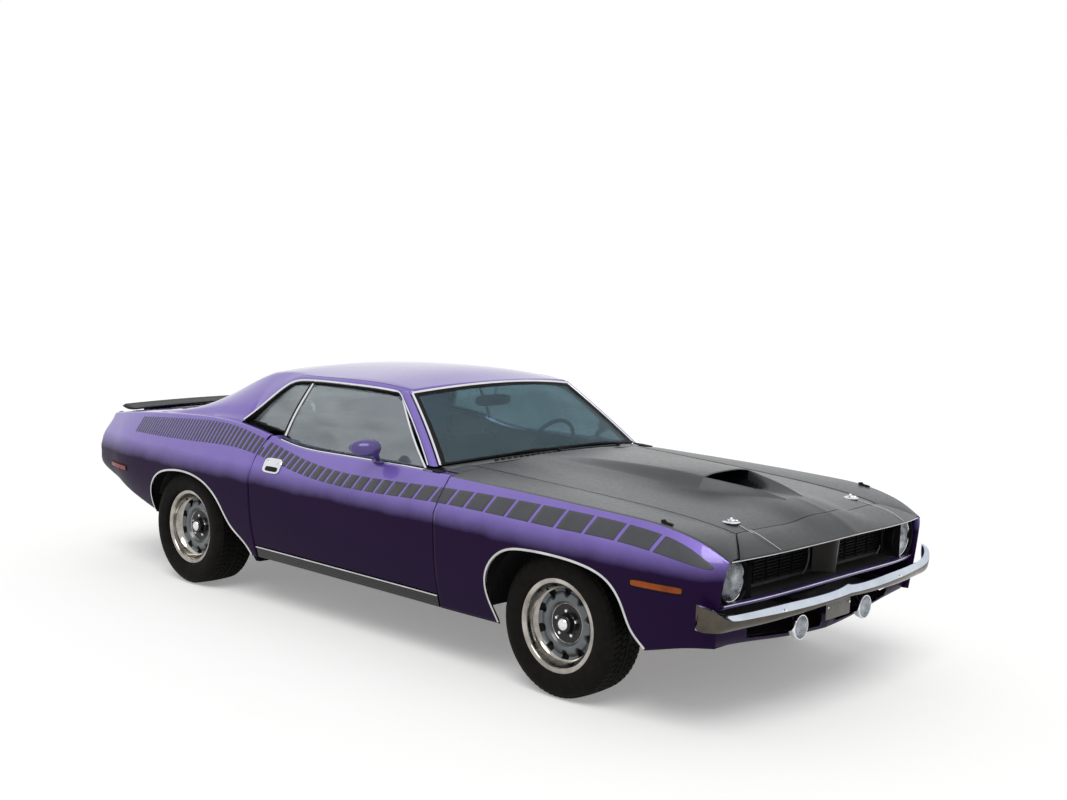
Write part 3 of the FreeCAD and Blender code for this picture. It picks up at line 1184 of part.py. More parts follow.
def main():
    os.makedirs("parts", exist_ok=True)
    parts = {
        "front_fenders": pair(front_fender()),
        "quarter_panels": Part.makeCompound([pair(quarter_panel()), pair(deck_side())]),
        "sills": pair(sill()),
        "roof_shell": roof_shell(),
        "windscreen": windscreen(),
        "backlight": backlight(),
        "quarter_windows": pair(quarter_glass()),
        "trunk_lid": trunk_lid(),
        "rear_spoiler": rear_spoiler(),
        "hood": hood(),
        "hood_scoop": hood_scoop(),
        "cowl": cowl(),
        "nose_panels": nose_panels(),
        "grille": grille(),
        "front_lamps": front_lamps(),
        "front_valance": front_valance(),
        "front_bumper": front_bumper(),
        "rear_bumper": rear_bumper(),
        "tail_panel": tail_panel(),
        "tail_lamps": tail_lamps(),
        "side_markers": side_markers(),
        "floor_tub": floor_tub(),
        "inner_fenders": pair(inner_fender()),
        "radiator_support": radiator_support(),
        "engine_block": engine_block(),
        "exhaust": exhaust(),
        "fuel_tank": fuel_tank(),
        "rear_suspension": rear_suspension(),
        "front_suspension": front_suspension(),
        "front_seats": Part.makeCompound([front_seat(-SEAT_Y), front_seat(SEAT_Y)]),
        "rear_seat": rear_seat(),
        "dashboard": dashboard(),
        "steering_wheel": steering_wheel(),
        "interior_mirror": interior_mirror(),
    }
    sided = {"door": door(), "door_glass": door_glass(), "door_fittings": door_fittings(), "knuckle": knuckle()}
    for name, x, track, width in (("front", FRONT_AXLE_X, FRONT_TRACK, FRONT_TYRE_WIDTH),
                                  ("rear", REAR_AXLE_X, REAR_TRACK, REAR_TYRE_WIDTH)):
        sided["tyre_" + name] = tyre(x, -track / 2.0, width)
        sided["rim_" + name] = rim(x, -track / 2.0)
    for name, shape in sided.items():
        parts[name + "_right"] = shape
        parts[name + "_left"] = flip_y(shape)
    for name, shape in parts.items():
        save(name, shape)


main()
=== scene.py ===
"""Looks of a two-door muscle car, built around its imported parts.

Frame: +X is forward, +Y is the car's left, +Z is up. Sizes in this file are in millimetres and are
turned into metres when a mesh is made. Shapes are written for the right-hand side, where y is
negative, and the left-hand side is their mirror image.
"""
import logging
import math
from dataclasses import dataclass
from enum import Enum
from typing import Callable, Optional, Sequence

import bmesh
import bpy
import numpy as np
from mathutils import Matrix, Vector


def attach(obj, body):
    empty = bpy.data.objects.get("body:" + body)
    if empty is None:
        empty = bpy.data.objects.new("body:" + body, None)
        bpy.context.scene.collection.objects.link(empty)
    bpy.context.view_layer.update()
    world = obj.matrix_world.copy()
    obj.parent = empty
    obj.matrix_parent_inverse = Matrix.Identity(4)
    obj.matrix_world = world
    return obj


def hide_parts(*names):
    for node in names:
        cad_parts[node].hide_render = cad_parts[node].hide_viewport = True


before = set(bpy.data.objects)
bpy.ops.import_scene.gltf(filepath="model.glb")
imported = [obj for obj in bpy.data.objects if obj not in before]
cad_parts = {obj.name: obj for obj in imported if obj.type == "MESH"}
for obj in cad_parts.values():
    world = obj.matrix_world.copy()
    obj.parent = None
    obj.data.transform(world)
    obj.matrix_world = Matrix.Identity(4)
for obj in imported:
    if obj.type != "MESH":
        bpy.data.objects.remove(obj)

LOG = logging.getLogger("muscle_car")
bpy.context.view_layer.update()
MM = 0.001
Array = np.ndarray
Colour = tuple[float, float, float]


# Curves and grids


class Line:
    """Natural cubic spline through (x, value) knots, straight beyond its ends."""

    def __init__(self, *knots: tuple[float, float]) -> None:
        """Solve the spline's second derivatives.

        Args:
            knots: (x, value) pairs in any order.
        """
        self.x, self.y = np.array(sorted(knots), float).T
        h, n = np.diff(self.x), len(self.x)
        slope = np.diff(self.y) / h
        matrix, right = np.eye(n), np.zeros(n)
        i = np.arange(1, n - 1)
        matrix[i, i - 1], matrix[i, i], matrix[i, i + 1] = h[:-1], 2.0 * (h[:-1] + h[1:]), h[1:]
        right[i] = 6.0 * np.diff(slope)
        self.m = np.linalg.solve(matrix, right)

    def __call__(self, x: Array | float) -> Array:
        """Value of the line.

        Args:
            x: places along the line.

        Returns:
            The cubic inside the knots and its end tangent beyond them.
        """
        x = np.asarray(x, float)
        c = np.clip(x, self.x[0], self.x[-1])
        i = np.clip(np.searchsorted(self.x, c, side="right") - 1, 0, len(self.x) - 2)
        h = self.x[i + 1] - self.x[i]
        a = (self.x[i + 1] - c) / h
        b = 1.0 - a
        low, high, m0, m1 = self.y[i], self.y[i + 1], self.m[i], self.m[i + 1]
        value = a * low + b * high + ((a**3 - a) * m0 + (b**3 - b) * m1) * h**2 / 6.0
        slope = (high - low) / h + h * ((1.0 - 3.0 * a**2) * m0 + (3.0 * b**2 - 1.0) * m1) / 6.0
        return value + slope * (x - c)


def mix(a: Array | float, b: Array | float, t: Array | float) -> Array:
    """Straight mix a + (b - a) t."""
    return a + (np.asarray(b, float) - a) * t


def smooth(t: Array | float) -> Array:
    """Smooth step 3 t^2 - 2 t^3 of t held between 0 and 1."""
    t = np.clip(t, 0.0, 1.0)
    return t * t * (3.0 - 2.0 * t)


def span(a: float, b: float, step: float) -> Array:
    """Even places from a to b, about a step apart."""
    return np.linspace(a, b, max(2, int(round(abs(b - a) / step)) + 1))


def table(*rows: Sequence[float]) -> Array:
    """Rows of numbers as an array."""
    return np.array(rows, float)


def xyz(x: Array | float, y: Array | float, z: Array | float) -> Array:
    """Points from three arrays that broadcast together."""
    return np.stack(np.broadcast_arrays(np.asarray(x, float), y, z), axis=-1)


def fillet(a: Array, c: Array, b: Array, radius: float, count: int = 5) -> Array:
    """Round a corner with the curve (1-t)^2 p + 2 t (1-t) c + t^2 q.

    Args:
        a, c, b: points before, at and after the corner, one row of corners each.
        radius: distance of p and q from the corner, towards a and b.
        count: points across the corner.

    Returns:
        The points, with the new axis last but one.
    """
    p = c + (a - c) * radius / np.maximum(np.linalg.norm(a - c, axis=-1, keepdims=True), 1e-6)
    q = c + (b - c) * radius / np.maximum(np.linalg.norm(b - c, axis=-1, keepdims=True), 1e-6)
    t = np.linspace(0.0, 1.0, count)[:, None]
    return (1 - t) ** 2 * p[..., None, :] + 2 * t * (1 - t) * c[..., None, :] + t**2 * q[..., None, :]


def soft_path(points: Sequence[Sequence[float]], step: float = 12.0, closed: bool = False) -> Array:
    """Smooth path through points of any dimension.

    Args:
        points: the points in order.
        step: distance between the points that come back.
        closed: whether the path returns to its start.

    Returns:
        Points of a spline over chord length.
    """
    p = np.array(points, float)
    if closed:
        p = np.vstack([p[-3:], p, p[:3]])
    s = np.concatenate([[0.0], np.cumsum(np.linalg.norm(np.diff(p, axis=0), axis=1))])
    t = span(s[3], s[-3], step)[:-1] if closed else span(0.0, s[-1], step)
    return np.stack([Line(*zip(s, column))(t) for column in p.T], axis=-1)


def ring(radius: Array | float, count: int, start: float = 0.0) -> tuple[Array, Array]:
    """Cosine and sine arms of a circle of count points, times the radius."""
    angle = start + np.arange(count) * 2.0 * math.pi / count
    return radius * np.cos(angle), radius * np.sin(angle)


def unit_loop(count: int, power: float, start: float = 0.0) -> Array:
    """Loop of count points on |a|^p + |b|^p = 1."""
    p = np.stack(ring(1.0, count, start), axis=-1)
    return p * (np.abs(p) ** power).sum(axis=-1, keepdims=True) ** (-1.0 / power)


def capped(rings: Array) -> Array:
    """Close the ends of a tube.

    Args:
        rings: (n, m, 3).

    Returns:
        The rings between two more, each m times the middle of the ring next to it.
    """
    ends = (np.repeat(rings[at].mean(axis=0)[None], rings.shape[1], axis=0)[None] for at in (0, -1))
    low, high = ends
    return np.concatenate([low, rings, high])


def inside_outline(points: Array, outline: Array) -> Array:
    """Which 2-D points lie in a closed outline, by counting crossings of a ray.

    Args:
        points: (..., 2) points.
        outline: (k, 2) corners.

    Returns:
        A boolean array.
    """
    p, q = outline, np.roll(outline, -1, axis=0)
    x, y = points[..., 0, None], points[..., 1, None]
    crosses = (p[:, 1] > y) != (q[:, 1] > y)
    rise = np.where(q[:, 1] == p[:, 1], 1e-9, q[:, 1] - p[:, 1])
    at = p[:, 0] + (y - p[:, 1]) * (q[:, 0] - p[:, 0]) / rise
    return (crosses & (x < at)).sum(axis=-1) % 2 == 1


def nearest_on(points: Array, outline: Array) -> Array:
    """Nearest place on a closed outline for each 2-D point.

    Each point is projected on every edge, p + t (q - p) with t held to 0..1, and the closest is kept.

    Args:
        points: (n, 2).
        outline: (m, 2) corners.

    Returns:
        (n, 2) places.
    """
    p, q = outline, np.roll(outline, -1, axis=0)
    d = q - p
    t = np.clip(((points[:, None] - p) * d).sum(-1) / np.maximum((d * d).sum(-1), 1e-9), 0, 1)
    at = p + t[..., None] * d
    best = np.argmin(((points[:, None] - at) ** 2).sum(-1), axis=1)
    return at[np.arange(len(points)), best]


def trim(points: Array, outline: Array, fit: Callable[[Array, Array], Array], hole: bool = True,
         axes: tuple[int, int] = (0, 2)) -> tuple[Array, Array]:
    """Cut a grid along an outline: cells beyond it go, and the last points move onto it.

    Args:
        points: (n, m, 3) grid.
        outline: closed outline in the plane of the two axes.
        fit: gives the third coordinate of moved points.
        hole: whether the outline is a hole, or else the edge of what stays.
        axes: the two axes of the outline.

    Returns:
        The moved grid and the mask of cells that stay.
    """
    out = points.copy()
    gone = inside_outline(points[..., list(axes)], outline)
    gone = gone if hole else ~gone
    keep = ~(gone[:-1, :-1] & gone[1:, :-1] & gone[1:, 1:] & gone[:-1, 1:])
    near = np.zeros_like(gone)
    for a, b in ((0, 0), (1, 0), (1, 1), (0, 1)):
        near[a : a + keep.shape[0], b : b + keep.shape[1]] |= keep
    move = gone & near
    at = nearest_on(points[move][:, list(axes)], outline)
    third = ({0, 1, 2} - set(axes)).pop()
    moved = out[move]
    moved[:, axes[0]], moved[:, axes[1]] = at[:, 0], at[:, 1]
    moved[:, third] = fit(at[:, 0], at[:, 1])
    out[move] = moved
    return out, keep


# Finishes


Socket = bpy.types.NodeSocket
Value = Socket | float | tuple


class Graph:
    """Node tree of a material or the world, wired by short calls."""

    def __init__(self, owner: bpy.types.Material | bpy.types.World) -> None:
        """Take the owner's tree."""
        owner.use_nodes = True
        self.tree = owner.node_tree

    def put(self, node: bpy.types.Node, inputs: dict[str | int, Value]) -> None:
        """Link or set the inputs of a node.

        Args:
            node: takes the values.
            inputs: sockets or plain values by the input's name or number.
        """
        for key, value in inputs.items():
            if isinstance(value, Socket):
                self.tree.links.new(value, node.inputs[key])
            else:
                node.inputs[key].default_value = value

    def add(self, kind: str, inputs: Optional[dict[str | int, Value]] = None, out: str | int = 0,
            **settings: str) -> Socket:
        """Add a node.

        Args:
            kind: its type, without the ShaderNode ahead of it.
            inputs: sockets or plain values by the input's name or number.
            out: name or number of the output that comes back.
            settings: options of the node.

        Returns:
            The socket of that output.
        """
        node = self.tree.nodes.new("ShaderNode" + kind)
        for name, value in settings.items():
            setattr(node, name, value)
        self.put(node, inputs or {})
        return node.outputs[out]

    def surface(self, shader: Socket) -> None:
        """Make a shader the material's surface in place of the ready-made one."""
        self.tree.nodes.remove(self.tree.nodes["Principled BSDF"])
        self.put(self.tree.nodes["Material Output"], {"Surface": shader})

    def noise(self, place: Socket, scale: float, detail: float) -> Socket:
        """Value of a noise texture at a place."""
        return self.add("TexNoise", {"Vector": place, "Scale": scale, "Detail": detail, "Roughness": 0.55},
                        "Fac")

    def ranged(self, value: Socket, a: float, b: float, c: float, d: float) -> Socket:
        """Value mapped from a..b to c..d, held at the ends."""
        return self.add("MapRange", {0: value, 1: a, 2: b, 3: c, 4: d})

    def blend(self, share: Socket, a: Colour | Socket, b: Colour) -> Socket:
        """Mix of two colours, from a at a share of 0 to b at 1."""
        first = (*a, 1.0) if isinstance(a, tuple) else a
        return self.add("Mix", {0: share, 6: first, 7: (*b, 1.0)}, 2, data_type="RGBA")

    def seen(self) -> Socket:
        """Tell the rays that see a surface from those that light it.

        Returns:
            1 for camera, glossy and transmission rays, and 0 for all others.
        """
        rays = self.add("LightPath").node.outputs
        first = self.add("Math", {0: rays["Is Camera Ray"], 1: rays["Is Glossy Ray"]}, operation="MAXIMUM")
        return self.add("Math", {0: first, 1: rays["Is Transmission Ray"]}, operation="MAXIMUM")


class Grain(Enum):
    """Fine relief of a finish."""

    PEEL = 1
    LEATHER = 2
    CAST = 3
    BRUSHED = 4
    RIBS = 5


@dataclass(frozen=True)
class Finish:
    """A procedural surface on Object coordinates.

    colour and shade are mixed by broad noise; roughness varies by wear around its value; grain gives
    the bump. low paints shade: it turns the colour and the gloss towards the painted shade tone and
    gloss from low_to to low_from along low_axis, a darker, duller band that stands in for shade and
    dark reflections.
    """

    name: str
    colour: Colour
    slot: str
    shade: Optional[Colour] = None
    metallic: float = 0.0
    roughness: float = 0.45
    wear: float = 0.08
    scale: float = 9.0
    coat: float = 0.0
    coat_roughness: float = 0.04
    specular: float = 0.5
    grain: Grain = Grain.CAST
    grain_scale: float = 600.0
    bump: float = 0.15
    # The low fields paint shade: a darker tone and a duller gloss over a band along one axis.
    low: float = 0.0
    low_from: float = 0.0
    low_to: float = 1.0
    low_tone: Colour = (0.014, 0.004, 0.030)
    low_wave: float = 0.04
    low_axis: int = 2
    low_shine: float = 0.04
    flake: float = 0.0

    def material(self) -> bpy.types.Material:
        """Make the material once.

        Returns:
            The material of this name.
        """
        made = bpy.data.materials.get(self.name)
        if made:
            return made
        made = bpy.data.materials.new(self.name)
        graph = Graph(made)
        place = graph.add("TexCoord", out="Object")
        shade = self.shade or tuple(0.82 * c for c in self.colour)
        cloud = graph.ranged(graph.noise(place, self.scale, 4.0), 0.35, 0.68, 0.0, 1.0)
        tint = graph.blend(cloud, self.colour, shade)
        if self.flake:
            spark = graph.add("TexVoronoi", {"Vector": place, "Scale": 2600.0}, "Color")
            bright = tuple(min(1.0, c * 1.7 + 0.03) for c in self.colour)
            cell = graph.add("SeparateColor", {0: spark})
            tint = graph.blend(graph.ranged(cell, 0.72, 1.0, 0.0, self.flake), tint, bright)
        gloss = {"Coat Weight": (self.coat, 0.75 * self.low_shine),
                 "Metallic": (self.metallic, 0.2 * self.metallic),
                 "Specular IOR Level": (self.specular, self.low_shine)}
        values = {key: high for key, (high, low) in gloss.items()}
        # Painted shade: the colour and the gloss turn darker and duller along the axis.
        if self.low:
            wave = graph.add("Math", {0: graph.noise(place, 5.0, 4.0), 1: self.low_wave},
                             operation="MULTIPLY")
            height = graph.add("Math", {0: graph.add("SeparateXYZ", {0: place}, self.low_axis), 1: wave},
                               operation="ADD")
            middle = self.low_wave / 2.0
            share = graph.ranged(height, self.low_from + middle, self.low_to + middle, self.low, 0.0)
            tint = graph.blend(share, tint, self.low_tone)
            values = {key: graph.ranged(share, 0.0, 1.0, high, low) for key, (high, low) in gloss.items()}
        rough = graph.ranged(graph.noise(place, self.scale * 6.0, 6.0), 0.3, 0.7,
                             self.roughness - self.wear, self.roughness + self.wear)
        values |= {"Base Color": tint, "Roughness": rough, "Coat Roughness": self.coat_roughness,
                   "Normal": self.relief(graph, place)}
        graph.put(made.node_tree.nodes["Principled BSDF"], values)
        return made

    def relief(self, graph: Graph, place: Socket) -> Socket:
        """Make the grain's bump.

        Args:
            graph: the material's tree.
            place: Object coordinates.

        Returns:
            The normal for the shader.
        """
        at = {"Vector": place, "Scale": self.grain_scale}
        if self.grain in (Grain.PEEL, Grain.CAST):
            height = graph.noise(place, self.grain_scale, 3.0 if self.grain is Grain.PEEL else 8.0)
        elif self.grain is Grain.LEATHER:
            height = graph.add("TexVoronoi", at, "Distance", feature="DISTANCE_TO_EDGE")
        else:
            brushed = self.grain is Grain.BRUSHED
            height = graph.add("TexWave", at | {"Distortion": 2.0 if brushed else 0.0}, "Fac",
                               bands_direction="Z" if brushed else "X")
        return graph.add("Bump", {"Strength": self.bump, "Distance": 0.001, "Height": height})


# The purple's low band is painted shade: from just above the crease down, the paint turns near black and
# loses its gloss.
PURPLE = Finish("purple_paint", (0.165, 0.106, 0.430), "body_paint", shade=(0.150, 0.094, 0.405),
                metallic=0.45, roughness=0.40, wear=0.03, coat=1.0, coat_roughness=0.03, specular=0.3,
                grain=Grain.PEEL, grain_scale=900.0, bump=0.01, low=1.0, low_from=0.655, low_to=0.757,
                flake=0.5)
BAND = Finish("purple_band", (0.085, 0.052, 0.235), "body_paint", metallic=0.3, roughness=0.4, wear=0.03,
              coat=0.3, specular=0.2, grain=Grain.PEEL, grain_scale=900.0, bump=0.01)
# The satin black's low band is painted shade: ahead of x 2.02 m the black turns darker and duller towards the
# nose.
BLACK = Finish("satin_black_paint", (0.042, 0.047, 0.052), "black_paint", roughness=0.40, wear=0.05,
               coat=0.3, coat_roughness=0.25, grain=Grain.PEEL, grain_scale=700.0, bump=0.03, low=1.0,
               low_from=2.24, low_to=2.02, low_tone=(0.020, 0.023, 0.028), low_axis=0, low_shine=0.32)
SPOILER_BLACK = Finish("spoiler_black_satin", (0.011, 0.012, 0.015), "black_paint", roughness=0.45,
                       wear=0.06, specular=0.14, grain=Grain.PEEL, grain_scale=700.0, bump=0.03)
# The mirror's paint is a darker copy of the purple body paint: painted shade.
MIRROR_SHADED_PAINT = Finish("purple_mirror_paint", (0.075, 0.048, 0.215), "body_paint", metallic=0.3,
                      roughness=0.4, wear=0.03, coat=0.8, specular=0.2, grain=Grain.PEEL, grain_scale=900.0,
                      bump=0.01)
GLOSS_BLACK = Finish("gloss_black_paint", (0.008, 0.008, 0.009), "black_paint", roughness=0.3, wear=0.04,
                     coat=0.25, coat_roughness=0.05, specular=0.2, grain=Grain.PEEL, grain_scale=700.0,
                     bump=0.02)
STRIPE = Finish("matt_stripe", (0.050, 0.052, 0.062), "black_paint", roughness=0.5, wear=0.05, coat=0.3,
                coat_roughness=0.2, specular=0.3, grain=Grain.PEEL, grain_scale=800.0, bump=0.02)
UNDER = Finish("underbody_coat", (0.008, 0.008, 0.008), "underbody", roughness=0.85, wear=0.1, specular=0.1,
               grain=Grain.CAST, grain_scale=260.0, bump=0.5)
CHROME = Finish("chrome_plate", (0.78, 0.79, 0.81), "chrome", shade=(0.70, 0.71, 0.74), metallic=1.0,
                roughness=0.10, wear=0.05, grain=Grain.PEEL, grain_scale=300.0, bump=0.02)
# Bluish chrome of the bumpers' tops: a painted sky reflection.
SKY_REFLECTION_CHROME = Finish("bumper_chrome", (0.60, 0.66, 0.74), "chrome", shade=(0.50, 0.56, 0.64),
                       metallic=1.0, roughness=0.12, wear=0.05, grain=Grain.PEEL, grain_scale=300.0,
                       bump=0.02)
# Near-black brownish chrome of the bumper faces and ends: a painted reflection of the dark ground.
GROUND_REFLECTION_CHROME = Finish("weathered_chrome", (0.060, 0.055, 0.048), "chrome", shade=(0.095, 0.080, 0.062),
                     metallic=0.9, roughness=0.22, wear=0.08, scale=14.0, grain=Grain.PEEL,
                     grain_scale=300.0, bump=0.04)
SHELF = Finish("shelf_black", (0.022, 0.021, 0.020), "black_plastic", roughness=0.6, wear=0.1, specular=0.3,
               grain=Grain.CAST, grain_scale=500.0, bump=0.15)
STAINLESS = Finish("polished_steel", (0.66, 0.66, 0.66), "chrome", shade=(0.5, 0.5, 0.5), metallic=1.0,
                   roughness=0.22, wear=0.08, grain=Grain.BRUSHED, grain_scale=500.0, bump=0.04)
PLASTIC = Finish("black_plastic_grain", (0.006, 0.006, 0.006), "black_plastic", roughness=0.6, wear=0.1,
                 specular=0.15, grain=Grain.CAST, grain_scale=500.0, bump=0.15)
DIVIDER = Finish("grey_black_plastic", (0.085, 0.082, 0.078), "black_plastic", roughness=0.42, wear=0.08,
                 grain=Grain.CAST, grain_scale=400.0, bump=0.1)
RUBBER_SEAL = Finish("seal_rubber", (0.004, 0.004, 0.004), "black_plastic", roughness=0.6, wear=0.1,
                     specular=0.15, grain=Grain.PEEL, grain_scale=500.0, bump=0.1)
TYRE = Finish("tyre_rubber_black", (0.004, 0.0037, 0.0034), "tyre_rubber", shade=(0.008, 0.007, 0.0062),
              roughness=0.7, wear=0.1, specular=0.08, scale=24.0, grain=Grain.CAST, grain_scale=420.0,
              bump=0.2)
# The trim ring's chrome is darkened to brown grey: a painted reflection of the brown ground.
RING = Finish("trim_ring_bright", (0.50, 0.48, 0.45), "chrome", shade=(0.24, 0.22, 0.19), metallic=1.0,
              roughness=0.13, wear=0.05, scale=9.0, grain=Grain.PEEL, grain_scale=200.0, bump=0.04)
WHEEL_GREY = Finish("wheel_paint_grey", (0.115, 0.13, 0.14), "wheel_steel", shade=(0.085, 0.095, 0.10),
                    metallic=0.5, roughness=0.34, wear=0.06, coat=0.5, coat_roughness=0.1, grain=Grain.PEEL,
                    grain_scale=600.0, bump=0.05)
CAST = Finish("cast_steel_dark", (0.05, 0.048, 0.046), "cast_steel", shade=(0.07, 0.05, 0.038),
              metallic=0.6, roughness=0.6, wear=0.15, grain=Grain.CAST, grain_scale=180.0, bump=0.5)
PIPE_STEEL = Finish("exhaust_steel_dull", (0.22, 0.20, 0.18), "exhaust_steel", shade=(0.13, 0.09, 0.065),
                    metallic=0.9, roughness=0.5, wear=0.15, grain=Grain.CAST, grain_scale=120.0, bump=0.3)
ENGINE = Finish("engine_orange", (0.42, 0.065, 0.012), "engine_paint", shade=(0.26, 0.045, 0.015),
                roughness=0.5, wear=0.12, grain=Grain.CAST, grain_scale=150.0, bump=0.4)
VINYL = Finish("seat_vinyl_grain", (0.012, 0.013, 0.014), "seat_vinyl", roughness=0.5, wear=0.08,
               specular=0.25, grain=Grain.LEATHER, grain_scale=420.0, bump=0.25)
TRIM = Finish("cabin_vinyl_trim", (0.014, 0.015, 0.016), "cabin_trim", roughness=0.6, wear=0.08,
              specular=0.25, grain=Grain.LEATHER, grain_scale=360.0, bump=0.2)
CARPET = Finish("cabin_carpet", (0.016, 0.016, 0.017), "underbody", roughness=0.95, wear=0.03,
                grain=Grain.CAST, grain_scale=900.0, bump=1.0)
RED_LENS = Finish("red_lamp_lens", (0.24, 0.006, 0.008), "red_lens", roughness=0.2, wear=0.05,
                  specular=0.25, grain=Grain.RIBS, grain_scale=60.0, bump=0.6)
AMBER = Finish("amber_marker_lens", (0.32, 0.062, 0.004), "marker_lens", shade=(0.17, 0.030, 0.003),
               roughness=0.3, wear=0.05, specular=0.2, grain=Grain.RIBS, grain_scale=60.0, bump=0.6)
REFLECTOR = Finish("lamp_reflector", (0.62, 0.64, 0.66), "lamp_lens", shade=(0.10, 0.10, 0.11),
                   metallic=1.0, roughness=0.32, wear=0.08, scale=16.0, grain=Grain.RIBS, grain_scale=30.0,
                   bump=0.15)
BRACKET = Finish("bare_bracket_grey", (0.13, 0.125, 0.115), "body_paint", shade=(0.17, 0.16, 0.145),
                 metallic=0.3, roughness=0.5, wear=0.1, grain=Grain.CAST, grain_scale=150.0, bump=0.2)


@dataclass(frozen=True)
class Glass:
    """Thin glass: a clear, tinted pane that mirrors more at glancing angles."""

    name: str
    slot: str
    tint: Colour
    mirror: float
    haze: float = 0.0
    grazing: float = 0.3

    def material(self) -> bpy.types.Material:
        """Make the material once.

        Returns:
            The material of this name.
        """
        made = bpy.data.materials.get(self.name)
        if made:
            return made
        made = bpy.data.materials.new(self.name)
        graph = Graph(made)
        place = graph.add("TexCoord", out="Object")
        stretch = graph.add("Mapping", {"Vector": place, "Scale": (0.6, 1.0, 2.2)})
        smear = graph.add("TexNoise", {"Vector": stretch, "Scale": 2.4, "Detail": 5.0, "Distortion": 0.6},
                          "Fac")
        clear = graph.add("BsdfTransparent", {"Color": (*self.tint, 1.0)})
        # A pale blue-grey diffuse layer, mixed over the pane in streaks by haze.
        pale_haze = graph.add("BsdfDiffuse", {"Color": (0.55, 0.60, 0.62, 1.0)})
        shine = graph.add("BsdfGlossy", {"Color": (0.93, 0.96, 1.0, 1.0), "Roughness": 0.01})
        haze = graph.ranged(smear, 0.36, 0.66, self.haze * 0.1, self.haze)
        edge = graph.add("LayerWeight", {"Blend": 0.35}, "Fresnel")
        mirror = graph.ranged(edge, 0.0, 1.0, self.mirror, self.mirror + self.grazing)
        pane = graph.add("MixShader", {0: haze, 1: clear, 2: pale_haze})
        graph.surface(graph.add("MixShader", {0: mirror, 1: pane, 2: shine}))
        return made


SCREEN_GLASS = Glass("screen_glass", "clear_glass", (0.60, 0.75, 0.80), 0.0, 0.03, 0.13)
SIDE_GLASS = Glass("side_glass", "tinted_glass", (0.50, 0.55, 0.56), 0.10, 0.26)
LENS_GLASS = Glass("lens_glass", "lamp_lens", (0.92, 0.94, 0.95), 0.03, 0.04)
AnyFinish = Finish | Glass


# Meshes


